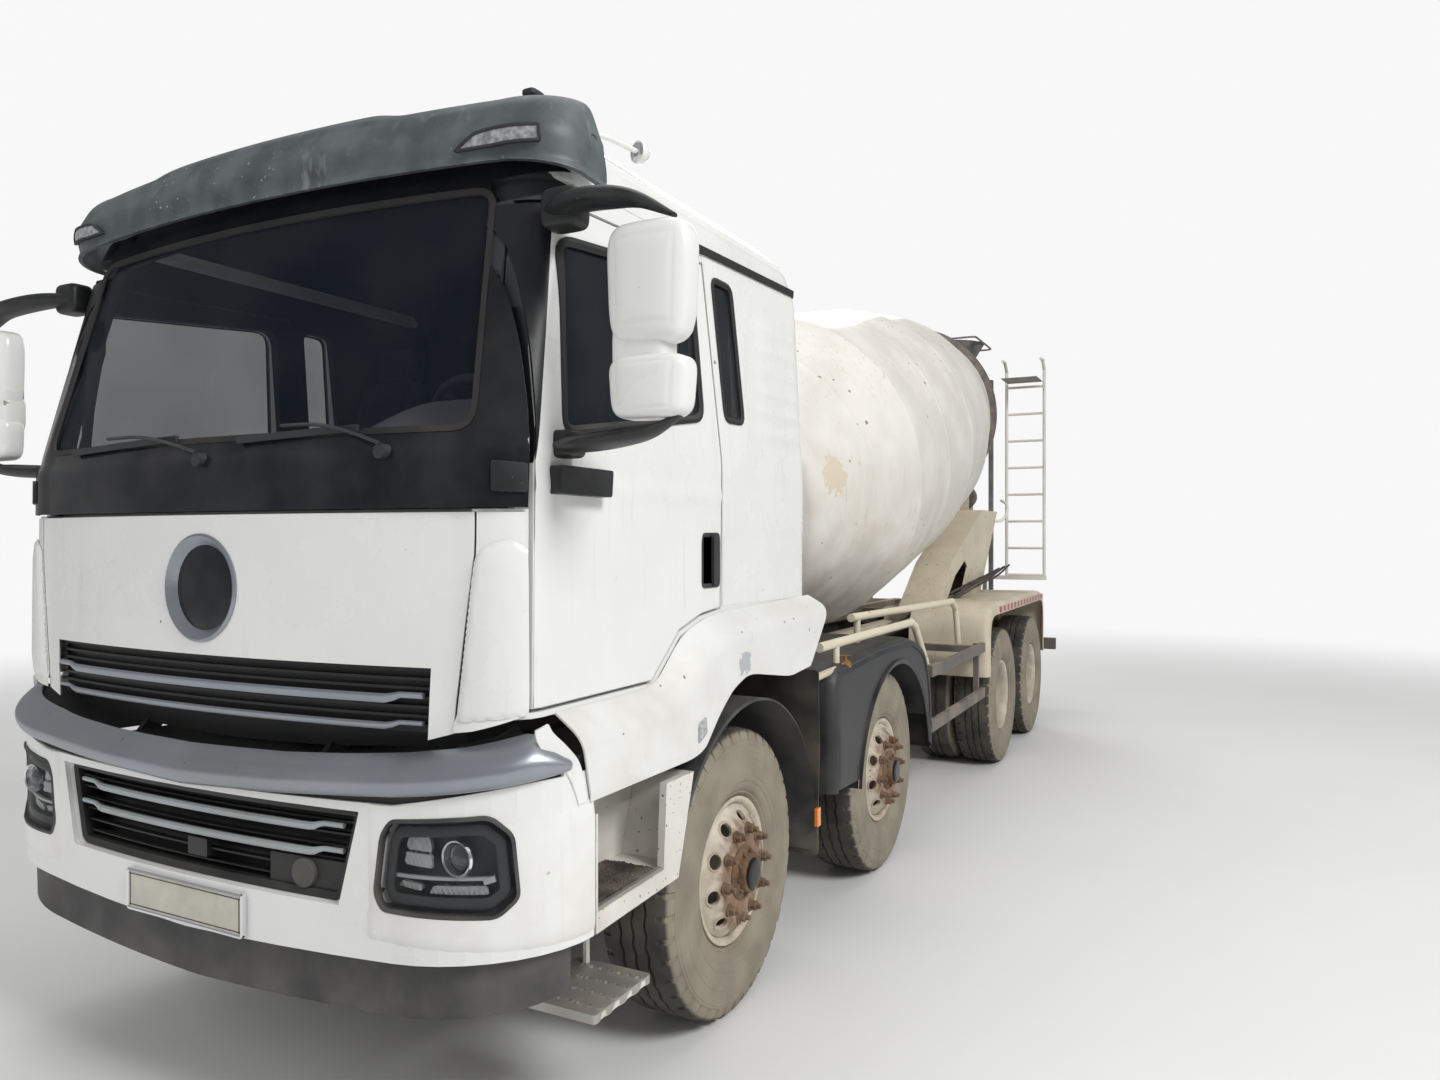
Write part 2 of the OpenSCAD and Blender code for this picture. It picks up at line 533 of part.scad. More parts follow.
module tanks() color(steel) truck() {
  mirror([1, 0, 0]) translate([rail_x + 90, 4150, 480]) rotate([-90, 0, 0]) translate([0, -560, 0])
    linear_extrude(1100) offset(r = 80, $fn = 32) translate([80, 80]) square([half_w - rail_x - 320, 400]);
  mirror([1, 0, 0]) for (y = [4300, 5000]) box([rail_x + 0.3, rail_x + 91], [y, y + 60], [800, 1000]);
  translate([rail_x + 90, 4200, 560]) cube([420, 620, 380]);
  for (y = [4300, 4700]) box([rail_x + 0.3, rail_x + 91], [y, y + 60], [800, 900]);
}
module ladder() color(white) truck() {
  for (x = [800, 1180]) tube_run([[x, 8700, 1420], [x, 8700, 3560], [x, 8600, 3640], [x, 8480, 3640]], 16);
  for (z = [1430 : 280 : 3500]) rod([800, 8700, z], [1180, 8700, z], 13);
  box([560, 1200], [8640, 8720], [1380, 1420]);
  box([560, 600], [8640, 8690], [960, 1420]);
  box([rail_x + 0.3, 600], [8640, 8690], [960, 1000]);
}
module hopper() color(dark) truck() {
  difference() {
    union() {
      loft([hop_ring(3240, 8560, 200, 130), hop_ring(3890, 8700, 560, 400)]);
      both() box([300, 680], [8575, 8615], [3430, 3470]);
    }
    loft([hop_ring(3230, 8558, 192, 122), hop_ring(3900, 8702, 552, 392)]);
  }
  both() box([640, 680], [8555, 8615], [rail_top + 99.3, 3470]);
  both() box([640, 680], [8520, 8615], [rail_top + 99.3, rail_top + 120]);
}
module discharge_trough() color(cream) truck() {
  difference() {
    loft([hop_ring(2150, 8960, 210, 200), hop_ring(3150, 8770, 600, 500)]);
    loft([hop_ring(2140, 8962, 202, 192), hop_ring(3160, 8768, 592, 492)]);
    box([-700, 700], [8000, 8640], [2000, 3300]);
  }
  both() box([500, 640], [8615.3, 8650], [3000, 3040]);
  both() box([480, 560], [8640, 8700], [3000, 3040]);
}
function hop_ring(z, y, a, b) = [for (t = [0 : 15 : 345]) [a * cos(t), y + b * sin(t), z]];
module rear_guard() color(black) truck() {
  box([-1200, 1200], [overall_l - 100, overall_l - 20], [600, 720]);
  both() box([rail_x - 60, rail_x], [overall_l - 449.7, overall_l - 99], [640, rail_top - 20]);
  both() box([640, 1180], [8260.3, 8272], [420, 1000]);
}
chute_at = [0, overall_l - 390, 1785];
module chute_pivot() color(dark) truck() translate(chute_at) {
  translate([0, 0, -366.5]) cylinder(h = 332, r = 60, $fn = 48);
  box([-60, 60], [-85, 85], [-65, -35]);
  for (m = [0, 1]) mirror([0, m, 0]) box([-35, 35], [62, 82], [-36, 20]);
  translate([0, 84, 0]) rotate([90, 0, 0]) cylinder(h = 168, r = 10, $fn = 32);
}
module chute() color(cream) truck() translate(chute_at) {
  difference() {
    translate([-1250, 0, 302]) rotate([0, 90, 0]) cylinder(h = 1500, r = 260, $fn = 64);
    translate([-1260, 0, 302]) rotate([0, 90, 0]) cylinder(h = 1520, r = 252, $fn = 64);
    box([-1300, 400], [-300, 300], [302, 700]);
  }
  difference() {
    box([-25, 25], [-60, 60], [-15, 49]);
    translate([0, 84, 0]) rotate([90, 0, 0]) cylinder(h = 168, r = 10.4, $fn = 32);
  }
}

// Running gear

// tyre section: radius, half width
tyre_half = [[rim_r, 112], [rim_r + 16, 112], [rim_r + 55, tyre_w / 2 - 8], [tyre_r - 150, tyre_w / 2],
    [tyre_r - 60, tyre_w / 2 - 4],
  [tyre_r - 14, tyre_w / 2 - 22], [tyre_r - 3, tyre_w / 2 - 50], [tyre_r, tyre_w / 2 - 90]];
module tyre_form() rotate([0, 90, 0]) rotate_extrude($fn = 96) polygon(concat([for (p = tyre_half) [p[0],
    -p[1]]],
  [for (i = [len(tyre_half) - 1 : -1 : 0]) tyre_half[i]]));
// rim in two faces: radius, x; the disc bulges outward to x = 160
barrel = [[rim_r - 0.3, -112.3], [rim_r + 14, -112.3], [rim_r + 14, -123], [rim_r - 12, -123], [rim_r - 12,
    123], [rim_r + 14, 123],
  [rim_r + 14, 112.3], [rim_r - 0.3, 112.3]];
disc = [[rim_r - 11, 96], [235, 112], [190, 150], [150, 165], [95, 165], [95, 151], [145, 151], [182, 138],
    [228, 99], [rim_r - 11, 82]];
front_hub = [[0, -60], [105, -60], [105, 165], [90, 180], [74, 182], [70, 214], [60, 218], [0, 218]];
rear_hub = [[0, -80], [120, -80], [120, 14], [104, 60], [90, 180], [80, 190], [0, 190]];
module spun(pts) rotate([0, 90, 0]) rotate_extrude($fn = 96) polygon(pts);
module rim_form() difference() {
  union() { spun(barrel); spun(disc); }
  for (i = [0 : 9]) rotate([i * 36, 0, 0]) translate([60, 0, 206]) rotate([0, 90, 0]) cylinder(h = 120,
      r = 19, $fn = 32);
}
module wheel_tyre(n, s) color(black) truck() side(s) {
  y = [axle_1_y, axle_2_y, axle_3_y, axle_4_y][n - 1];
  if (n < 3) translate([front_track_x, y, tyre_r]) tyre_form();
  else for (k = [-1, 1]) translate([rear_track_x + k * twin_gap / 2, y, tyre_r]) tyre_form();
}
module wheel_rim(n, s) color(cream) truck() side(s) {
  y = [axle_1_y, axle_2_y, axle_3_y, axle_4_y][n - 1];
  if (n < 3) translate([front_track_x, y, tyre_r]) { rim_form(); spun(front_hub); }
  else translate([rear_track_x, y, tyre_r]) {
    translate([twin_gap / 2, 0, 0]) mirror([1, 0, 0]) rim_form();
    translate([-twin_gap / 2, 0, 0]) rim_form();
    spun(rear_hub);
  }
}
module knuckle(n, s) color(dark) truck() side(s) translate([kingpin_x, n == 1 ? axle_1_y : axle_2_y,
    tyre_r]) {
  for (z = [-94.5, 60.5]) {
    translate([0, 0, z]) cylinder(h = 34, r = 45, $fn = 48);
    box([0, 60], [-40, 40], [z, z + 34]);
  }
  translate([0, 0, -80]) cylinder(h = 160, r = 24.8, $fn = 32);
  box([51, front_track_x - kingpin_x - 64], [-50, 50], [-94.5, 94.5]);
  disc_x(60, front_track_x - kingpin_x - 60.5, 0, 0, 48, 48);
}

chassis_frame();
front_bumper();
bumper_blade();
lower_grille();
lamps();
cab_steps();
axles();
leaf_springs();
engine_block();
drum_frame();
drum_gearbox();
support_rollers();
mid_mudguards();
rear_wings();
side_guards();
tanks();
hopper();
discharge_trough();
ladder();
rear_guard();
chute_pivot();
chute();
drum_shell();
drum_ring();
drum_blades();
cab_shell();
screen_frame();
cab_glass();
sun_visor();
cab_interior();
cab_fenders();
door(1);  // door_left
door_glass(1);  // door_glass_left
mirror_set(1);  // mirror_left
door(-1);  // door_right
door_glass(-1);  // door_glass_right
mirror_set(-1);  // mirror_right
front_flap();
upper_grille();
knuckle(1, 1);  // knuckle_1_left
knuckle(1, -1);  // knuckle_1_right
knuckle(2, 1);  // knuckle_2_left
knuckle(2, -1);  // knuckle_2_right
wheel_tyre(1, 1);  // tyre_1_left
wheel_tyre(1, -1);  // tyre_1_right
wheel_tyre(2, 1);  // tyre_2_left
wheel_tyre(2, -1);  // tyre_2_right
wheel_tyre(3, 1);  // tyre_3_left
wheel_tyre(3, -1);  // tyre_3_right
wheel_tyre(4, 1);  // tyre_4_left
wheel_tyre(4, -1);  // tyre_4_right
wheel_rim(1, 1);  // rim_1_left
wheel_rim(1, -1);  // rim_1_right
wheel_rim(2, 1);  // rim_2_left
wheel_rim(2, -1);  // rim_2_right
wheel_rim(3, 1);  // rim_3_left
wheel_rim(3, -1);  // rim_3_right
wheel_rim(4, 1);  // rim_4_left
wheel_rim(4, -1);  // rim_4_right
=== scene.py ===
"""Looks of an eight-wheel concrete mixer truck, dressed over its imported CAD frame.

Lengths are metres. +X is the truck's left side, -Y its front and +Z up. Places along
the truck are written as distances back from the bumper's front and turned into frame
coordinates by back(). Every skin is a function of two parameters: cab panels are drawn
as outlines in (wrap, height) and laid on the cab's surface, round parts are lathed and
bars are swept along a path.
"""

import json
import logging
import math
from dataclasses import dataclass
from enum import Enum
from typing import Callable, Sequence

import bmesh
import bpy
import numpy as np
from mathutils import Matrix, Vector
from mathutils.geometry import delaunay_2d_cdt

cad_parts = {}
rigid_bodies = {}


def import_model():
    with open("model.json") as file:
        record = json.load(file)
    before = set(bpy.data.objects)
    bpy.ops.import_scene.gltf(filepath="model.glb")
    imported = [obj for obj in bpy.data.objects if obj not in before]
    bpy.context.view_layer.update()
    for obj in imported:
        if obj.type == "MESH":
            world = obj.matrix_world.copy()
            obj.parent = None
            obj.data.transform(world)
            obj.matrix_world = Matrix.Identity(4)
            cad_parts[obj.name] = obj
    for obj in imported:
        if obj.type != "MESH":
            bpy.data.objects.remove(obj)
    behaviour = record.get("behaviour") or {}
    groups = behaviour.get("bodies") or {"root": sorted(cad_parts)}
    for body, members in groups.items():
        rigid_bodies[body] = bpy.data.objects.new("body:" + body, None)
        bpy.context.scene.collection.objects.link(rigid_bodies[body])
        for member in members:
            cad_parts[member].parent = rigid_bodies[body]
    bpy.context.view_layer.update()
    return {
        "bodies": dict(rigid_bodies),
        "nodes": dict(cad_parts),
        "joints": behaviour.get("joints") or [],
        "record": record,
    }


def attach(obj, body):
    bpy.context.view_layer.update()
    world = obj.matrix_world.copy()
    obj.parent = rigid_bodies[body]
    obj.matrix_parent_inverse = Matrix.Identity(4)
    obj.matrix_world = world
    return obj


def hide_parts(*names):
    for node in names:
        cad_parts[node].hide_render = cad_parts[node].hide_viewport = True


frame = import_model()

log = logging.getLogger("mixer")

Grid = np.ndarray
Mesh = tuple[np.ndarray, list]

HALF_LENGTH = 4.7
WHEEL_RADIUS = 0.5425


def back(y: float) -> float:
    """Turns a distance back from the bumper's front into a frame Y."""
    return y - HALF_LENGTH


class Side(Enum):
    """The truck's two sides, as the sign of X."""

    LEFT = 1
    RIGHT = -1

    @property
    def word(self) -> str:
        """The side's name as the CAD nodes write it."""
        return self.name.lower()


# ---------------------------------------------------------------- meshes


def grid_faces(rows: int, cols: int, wrap: bool = False) -> Grid:
    """Quads between neighbouring points of a grid stored row by row.

    Args:
        rows: number of rows of points.
        cols: number of points in a row.
        wrap: True where the last column joins the first.

    Returns:
        An integer array of four corners a face.
    """
    r, c = np.meshgrid(np.arange(rows - 1), np.arange(cols if wrap else cols - 1), indexing="ij")
    n = (c + 1) % cols
    return np.stack([r * cols + c, r * cols + n, (r + 1) * cols + n, (r + 1) * cols + c], -1).reshape(-1, 4)


def closed_faces(rows: int, cols: int) -> list[tuple[int, ...]]:
    """Quads of a grid that closes on itself both ways."""
    i, j = np.meshgrid(np.arange(rows), np.arange(cols), indexing="ij")
    quads = np.stack([i * cols + j, i * cols + (j + 1) % cols, (i + 1) % rows * cols + (j + 1) % cols,
                      (i + 1) % rows * cols + j], -1)
    return [tuple(f) for f in quads.reshape(-1, 4)]


def sheet(grid: Grid) -> Mesh:
    """An open sheet through a grid of points."""
    return grid.reshape(-1, 3), [tuple(f) for f in grid_faces(*grid.shape[:2])]


def capped_tube(grid: Grid) -> Mesh:
    """A tube whose rows of points are rings, closed by a face at both ends."""
    rows, cols = grid.shape[:2]
    faces = [tuple(f) for f in grid_faces(rows, cols, wrap=True)]
    faces += [tuple(range(cols - 1, -1, -1)), tuple(range((rows - 1) * cols, rows * cols))]
    return grid.reshape(-1, 3), faces


def flipped(part: Mesh) -> Mesh:
    """The same mesh with its faces turned over."""
    return part[0], [tuple(reversed(f)) for f in part[1]]


def unit(vectors: Grid) -> Grid:
    """Each row's vector scaled to length one."""
    return vectors / np.linalg.norm(vectors, axis=1, keepdims=True)


def joined(parts: Sequence[Mesh]) -> Mesh:
    """Puts several meshes into one list of points and one list of faces."""
    points, faces, start = [], [], 0
    for verts, polys in parts:
        points.append(np.asarray(verts, float).reshape(-1, 3))
        faces += [tuple(int(i) + start for i in f) for f in polys]
        start += len(points[-1])
    return np.concatenate(points), faces


def mirrored(part: Mesh) -> Mesh:
    """The same mesh on the truck's other side, its faces turned to point outwards."""
    verts, faces = flipped(part)
    return verts * np.array([-1.0, 1.0, 1.0]), faces


def on_side(part: Mesh, side: Side) -> Mesh:
    """A mesh drawn for the left side, on the side that is asked for."""
    return part if side is Side.LEFT else mirrored(part)


def both_sides(part: Mesh) -> Mesh:
    """A mesh drawn for the left side, on both sides."""
    return joined([part, mirrored(part)])


def lathe(profile: Sequence[tuple[float, float]], steps: int = 64, closed: bool = False) -> Mesh:
    """Turns a profile about the X axis: point (x, r) goes to (x, r cos a, r sin a).

    Args:
        profile: (x, radius) pairs; the ends are closed by a disc unless closed is True.
        steps: number of meridians.
        closed: True where the profile is a ring that joins its own start.

    Returns:
        Points and faces.
    """
    p = np.asarray(profile, float)
    if closed:
        p = np.vstack([p, p[:1]])
    a = np.linspace(0.0, 2 * math.pi, steps, endpoint=False)
    x = np.repeat(p[:, :1], steps, 1)
    ring = np.stack([x, p[:, 1:2] * np.cos(a), p[:, 1:2] * np.sin(a)], -1)
    if not closed:
        return capped_tube(ring)
    return ring.reshape(-1, 3), [tuple(f) for f in grid_faces(len(p), steps, wrap=True)]


def curve_through(points: Sequence[Sequence[float]], per_span: int = 8) -> Grid:
    """A smooth path through given points, by Catmull-Rom cubics.

    Each span is the cubic that passes its two points with slopes parallel to the
    chords of their neighbours.
    """
    p = np.asarray(points, float)
    p = np.vstack([2 * p[0] - p[1], p, 2 * p[-1] - p[-2]])
    t = np.linspace(0.0, 1.0, per_span, endpoint=False)[None, :, None]
    a, b, c, d = (p[i : len(p) - 3 + i, None, :] for i in range(4))
    spans = 0.5 * (2 * b + (c - a) * t + (2 * a - 5 * b + 4 * c - d) * t**2 + (3 * b - a - 3 * c + d) * t**3)
    return np.vstack([spans.reshape(-1, p.shape[1]), p[-2]])


def sweep(path: Grid, profile: Grid, up: Sequence[float] = (0, 0, 1), scale: Grid | None = None) -> Mesh:
    """Carries a closed profile along a path, its second axis kept near one direction.

    A profile point (p, q) at a path point with tangent t goes to path + p (t x up) + q w,
    where w completes the frame. Both ends are capped.

    Args:
        path: points of the path, one a row.
        profile: closed outline, (p, q) a row.
        up: the direction that the profile's second axis keeps to.
        scale: optional factors of p and q at each path point.

    Returns:
        Points and faces.
    """
    path, profile = np.asarray(path, float), np.asarray(profile, float)
    tangent = unit(np.gradient(path, axis=0))
    out = np.cross(tangent, np.asarray(up, float))
    out /= np.maximum(np.linalg.norm(out, axis=1, keepdims=True), 1e-9)
    rise = np.cross(out, tangent)
    s = np.ones((len(path), 2)) if scale is None else np.asarray(scale, float)
    ring = (path[:, None] + out[:, None] * (profile[None, :, :1] * s[:, None, :1])
            + rise[:, None] * (profile[None, :, 1:] * s[:, None, 1:]))
    return capped_tube(ring)


def circle(radius: float, steps: int = 12) -> Grid:
    """Outline of a circle as (p, q) points, counter-clockwise."""
    a = np.linspace(0, 2 * math.pi, steps, endpoint=False)
    return np.stack([radius * np.cos(a), radius * np.sin(a)], -1)


def tube(points: Sequence[Sequence[float]], radius: float, per_span: int = 6, steps: int = 12) -> Mesh:
    """A round bar along a smooth path through the given points."""
    path = curve_through(points, per_span) if len(points) > 2 else np.asarray(points, float)
    direction = np.abs(path[-1] - path[0])
    up = (0, 0, 1) if direction[2] < max(direction[0], direction[1]) else (1, 0, 0)
    return sweep(path, circle(radius, steps), up)


def rounded(outline: Sequence[tuple[float, float]], radius: float, steps: int = 5) -> Grid:
    """An outline with each corner turned into a quadratic arc that starts radius before it."""
    p = np.asarray(outline, float)
    before, after = np.roll(p, 1, 0), np.roll(p, -1, 0)
    la, lb = (np.linalg.norm(q - p, axis=1, keepdims=True) for q in (before, after))
    a = p + (before - p) / la * np.minimum(radius, 0.45 * la)
    b = p + (after - p) / lb * np.minimum(radius, 0.45 * lb)
    t = np.linspace(0, 1, steps)[None, :, None]
    return ((1 - t) ** 2 * a[:, None] + 2 * t * (1 - t) * p[:, None] + t**2 * b[:, None]).reshape(-1, 2)


def rectangle(x0: float, y0: float, x1: float, y1: float, radius: float) -> Grid:
    """A rectangle between two opposite corners, its corners rounded."""
    return rounded([(x0, y0), (x1, y0), (x1, y1), (x0, y1)], radius)


def inside(points: Grid, outline: Grid) -> Grid:
    """True for each point that an outline encloses, by counting crossings of a ray."""
    x, y = points[:, :1], points[:, 1:2]
    a, b = outline, np.roll(outline, -1, 0)
    cross = ((a[:, 1] > y) != (b[:, 1] > y)) & (
        x < (b[:, 0] - a[:, 0]) * (y - a[:, 1]) / np.where(b[:, 1] == a[:, 1], 1e-12, b[:, 1] - a[:, 1]) + a[:, 0])
    return cross.sum(1) % 2 == 1


def resampled(outline: Grid, step: float) -> Grid:
    """The same closed outline with points added so that no edge is longer than step."""
    nxt = np.roll(outline, -1, 0)
    return np.vstack([a + (b - a) * np.linspace(0, 1, max(1, int(np.ceil(np.linalg.norm(b - a) / step))),
                                                endpoint=False)[:, None]
                      for a, b in zip(outline, nxt)])


Surface = Callable[[Grid, Grid], Grid]


def side_plane(x: float) -> Surface:
    """The upright plane at a distance x from the middle, over (distance back, height)."""
    return lambda y, z: np.stack([np.full_like(y, x), back(y), z], -1)


def rear_plane(y: float) -> Surface:
    """The upright plane at a distance back, seen from behind, over (minus x, height)."""
    return lambda u, z: np.stack([-u, np.full_like(u, back(y)), z], -1)


def patch(outline: Grid, surface: Surface, step: float = 0.03, holes: Sequence[Grid] = ()) -> Mesh:
    """Lays a trimmed piece of a two-parameter surface over an outline.

    A square grid of parameters inside the outline and outside its holes is joined to
    their edges by a constrained Delaunay triangulation, and the surface is worked out
    at all of them at once.

    Args:
        outline: closed outline in the surface's two parameters.
        surface: gives an (n, 3) array for two arrays of n parameters.
        step: distance between grid points.
        holes: closed outlines that are left open.

    Returns:
        Points and triangles.
    """
    rings = [resampled(np.asarray(r, float), step) for r in (outline, *holes)]
    low, high = rings[0].min(0) + step * 0.37, rings[0].max(0)
    u, v = np.meshgrid(np.arange(low[0], high[0], step), np.arange(low[1], high[1], step))
    cells = np.stack([u.ravel(), v.ravel()], -1)
    keep = inside(cells, rings[0])
    for ring in rings[1:]:
        keep &= ~inside(cells, ring)
    for ring in rings:
        near = np.min(np.linalg.norm(cells[:, None] - ring[None], axis=2), axis=1) < step * 0.45
        keep &= ~near
    cells = cells[keep]
    edges, start = [], 0
    for ring in rings:
        n = len(ring)
        edges += [(start + i, start + (i + 1) % n) for i in range(n)]
        start += n
    flat = np.vstack([*rings, cells])
    verts, _, tris, *_ = delaunay_2d_cdt([Vector(p) for p in flat], edges, [], 0, 1e-7)
    flat = np.array([tuple(v) for v in verts])
    tris = np.array([tuple(t) for t in tris if len(t) == 3])
    middle = flat[tris].mean(1)
    keep = inside(middle, rings[0])
    for ring in rings[1:]:
        keep &= ~inside(middle, ring)
    tris = tris[keep]
    e1, e2 = flat[tris[:, 1]] - flat[tris[:, 0]], flat[tris[:, 2]] - flat[tris[:, 0]]
    turned = e1[:, 0] * e2[:, 1] - e1[:, 1] * e2[:, 0] < 0
    tris[turned] = tris[turned][:, ::-1]
    used, tris = np.unique(tris, return_inverse=True)
    return surface(flat[used, 0], flat[used, 1]), [tuple(t) for t in tris.reshape(-1, 3)]


def thickened(part: Mesh, thickness: float) -> Mesh:
    """Closes a sheet into a wall: a copy goes back along the normals, and the rims are joined.

    The sheet's faces point outwards, and the copy lies one thickness behind them.
    """
    verts, faces = part
    tris = np.array([f[:3] for f in faces])
    normals = np.zeros_like(verts)
    face_normal = np.cross(verts[tris[:, 1]] - verts[tris[:, 0]], verts[tris[:, 2]] - verts[tris[:, 0]])
    for f, n in ((np.array([f[i % len(f)] for f in faces]), face_normal) for i in range(4)):
        np.add.at(normals, f, n)
    normals /= np.maximum(np.linalg.norm(normals, axis=1, keepdims=True), 1e-12)
    n = len(verts)
    directed = {}
    for f in faces:
        for a, b in zip(f, (*f[1:], f[0])):
            directed[(a, b)] = directed.get((a, b), 0) + 1
    rim = [(b, a, a + n, b + n) for (a, b) in directed if (b, a) not in directed]
    inner = [tuple(i + n for i in reversed(f)) for f in faces]
    return np.vstack([verts, verts - normals * thickness]), list(faces) + inner + rim


def ring_bar(outline: Grid, surface: Surface, profile: Grid, step: float = 0.03) -> Mesh:
    """Carries a closed profile round an outline on a surface, for seals and bezels.

    The profile's first axis runs out from the outline along the surface, its second
    rises from the surface.
    """
    ring = resampled(np.asarray(outline, float), step)
    p = surface(ring[:, 0], ring[:, 1])
    eps = 1e-3
    du = surface(ring[:, 0] + eps, ring[:, 1]) - p
    dv = surface(ring[:, 0], ring[:, 1] + eps) - p
    normal = unit(np.cross(du, dv))
    out = np.cross(unit(np.roll(p, -1, 0) - np.roll(p, 1, 0)), normal)
    prof = np.asarray(profile, float)
    grid = p[:, None] + out[:, None] * prof[None, :, :1] + normal[:, None] * prof[None, :, 1:]
    return flipped((grid.reshape(-1, 3), closed_faces(len(ring), len(prof))))


def moved(part: Mesh, offset: Sequence[float] = (0, 0, 0), turn: Matrix | None = None) -> Mesh:
    """A mesh turned by a rotation matrix, then shifted."""
    verts = part[0] if turn is None else part[0] @ np.array(turn.to_3x3()).T
    return verts + np.asarray(offset, float), part[1]


def piece(name: str, part: Mesh, body: str, finish: "Finish", replaces: Sequence[str] = (),
          bevel: float = 0.0, smooth_angle: float = 35.0, solid: bool = True) -> bpy.types.Object:
    """Makes a mesh object, gives it its finish and body, and reports it.

    Args:
        name: the piece's name.
        part: points and faces, in frame coordinates.
        body: the CAD body that it rides on.
        finish: the finish that it wears.
        replaces: CAD nodes that it stands for.
        bevel: width of the rounding of its sharp edges, 0 for none.
        smooth_angle: edges flatter than this many degrees are shaded smooth.
        solid: True where faces are turned to point out of the closed mesh.

    Returns:
        The new object.
    """
    verts, faces = part
    mesh = bpy.data.meshes.new(name)
    mesh.from_pydata(np.asarray(verts, float).tolist(), [], [tuple(int(i) for i in f) for f in faces])
    mesh.validate()
    obj = bpy.data.objects.new(name, mesh)
    bpy.context.scene.collection.objects.link(obj)
    if solid:
        recalculated(mesh)
    mesh.shade_smooth()
    mesh.set_sharp_from_angle(angle=math.radians(smooth_angle))
    if bevel:
        mod = obj.modifiers.new("Rounded edges", "BEVEL")
        mod.width, mod.segments, mod.limit_method = bevel, 2, "ANGLE"
        mod.angle_limit = math.radians(smooth_angle)
        mod.harden_normals = True
    mesh.materials.append(finish.material)
    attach(obj, body)
    if replaces:
        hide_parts(*replaces)
    log.info("%s: %d faces on %s", name, len(faces), body)
    return obj


def side_piece(name: str, part: Mesh, side: Side, body: str, finish: "Finish", **options: object) -> bpy.types.Object:
    """Makes one side's copy of a piece that is drawn for the left side."""
    return piece(f"{name}_{side.word}", on_side(part, side), body, finish, **options)


def recalculated(mesh: bpy.types.Mesh) -> None:
    """Turns a closed mesh's faces to point outwards."""
    bm = bmesh.new()
    bm.from_mesh(mesh)
    bmesh.ops.recalc_face_normals(bm, faces=bm.faces)
    bm.to_mesh(mesh)
    bm.free()


# ---------------------------------------------------------------- finishes


class Wiring:
    """Adds shader nodes to one tree and links them."""

    def __init__(self, tree: bpy.types.NodeTree) -> None:
        """Keeps the tree that the nodes go into."""
        self.tree = tree

    def add(self, kind: str, **values: object) -> bpy.types.Node:
        """Adds a node.

        Args:
            kind: the node's type, without the word ShaderNode.
            **values: names in lower case set the node's options, the rest its inputs,
                where a socket is linked and anything else is written on the input.

        Returns:
            The new node.
        """
        node = self.tree.nodes.new("ShaderNode" + kind)
        for key, value in values.items():
            if key[0].islower():
                setattr(node, key, value)
            else:
                self.feed(node.inputs.get(key) or node.inputs[key.replace("_", " ")], value)
        return node

    def feed(self, socket: bpy.types.NodeSocket, value: object) -> None:
        """Links a socket to an input, or writes a plain value on it."""
        if isinstance(value, bpy.types.NodeSocket):
            self.tree.links.new(value, socket)
        elif isinstance(value, tuple) and len(value) == 3 and socket.type == "RGBA":
            socket.default_value = (*value, 1.0)
        else:
            socket.default_value = value

    def math(self, operation: str, *values: object, clamp: bool = False) -> bpy.types.NodeSocket:
        """The result of a math node on sockets or numbers."""
        node = self.add("Math", operation=operation, use_clamp=clamp)
        for socket, value in zip(node.inputs, values):
            self.feed(socket, value)
        return node.outputs[0]

    def ramp(self, value: object, low: float, high: float) -> bpy.types.NodeSocket:
        """A smooth step of a value, 0 at low and 1 at high."""
        node = self.add("MapRange", interpolation_type="SMOOTHSTEP", Value=value, From_Min=low, From_Max=high)
        return node.outputs["Result"]

    def mix(self, mask: object, first: object, second: object) -> bpy.types.NodeSocket:
        """A colour that goes from the first to the second as the mask rises."""
        node = self.add("Mix", data_type="RGBA")
        self.feed(node.inputs["Factor"], mask)
        self.feed(node.inputs[6], first)
        self.feed(node.inputs[7], second)
        return node.outputs[2]

    @property
    def place(self) -> bpy.types.NodeSocket:
        """Object coordinates."""
        return self.add("TexCoord").outputs["Object"]

    def noise(self, scale: float, detail: float = 3.0, stretch: tuple[float, float, float] | None = None
              ) -> bpy.types.NodeSocket:
        """Noise on object coordinates, stretched where three factors are given."""
        place = self.place
        if stretch:
            place = self.add("Mapping", Vector=place, Scale=stretch).outputs[0]
        return self.add("TexNoise", Vector=place, Scale=scale, Detail=detail).outputs["Fac"]

    def effect(self, name: str, **values: object) -> bpy.types.NodeSocket:
        """Places a shared effect's node group and returns its output."""
        node = self.add("Group", node_tree=EFFECTS[name](), **values)
        return node.outputs[0]


def shared_group(name: str, output: str, **inputs: float) -> tuple[Wiring, dict, Callable]:
    """Starts a node group with named float inputs and one float output.

    Args:
        name: the group's name.
        output: its output's name.
        **inputs: its inputs, with their defaults.

    Returns:
        The group's wiring, its input sockets by name, and a function that closes the
        group with the socket that its output shows.
    """
    tree = bpy.data.node_groups.new(name, "ShaderNodeTree")
    for key, value in inputs.items():
        tree.interface.new_socket(key, in_out="INPUT", socket_type="NodeSocketFloat").default_value = value
    tree.interface.new_socket(output, in_out="OUTPUT", socket_type="NodeSocketFloat")
    wiring = Wiring(tree)
    entry = tree.nodes.new("NodeGroupInput")
    leave = tree.nodes.new("NodeGroupOutput")

    def close(socket: bpy.types.NodeSocket) -> bpy.types.NodeTree:
        """Links the group's output."""
        tree.links.new(socket, leave.inputs[0])
        return tree

    return wiring, {key: entry.outputs[key] for key in inputs}, close


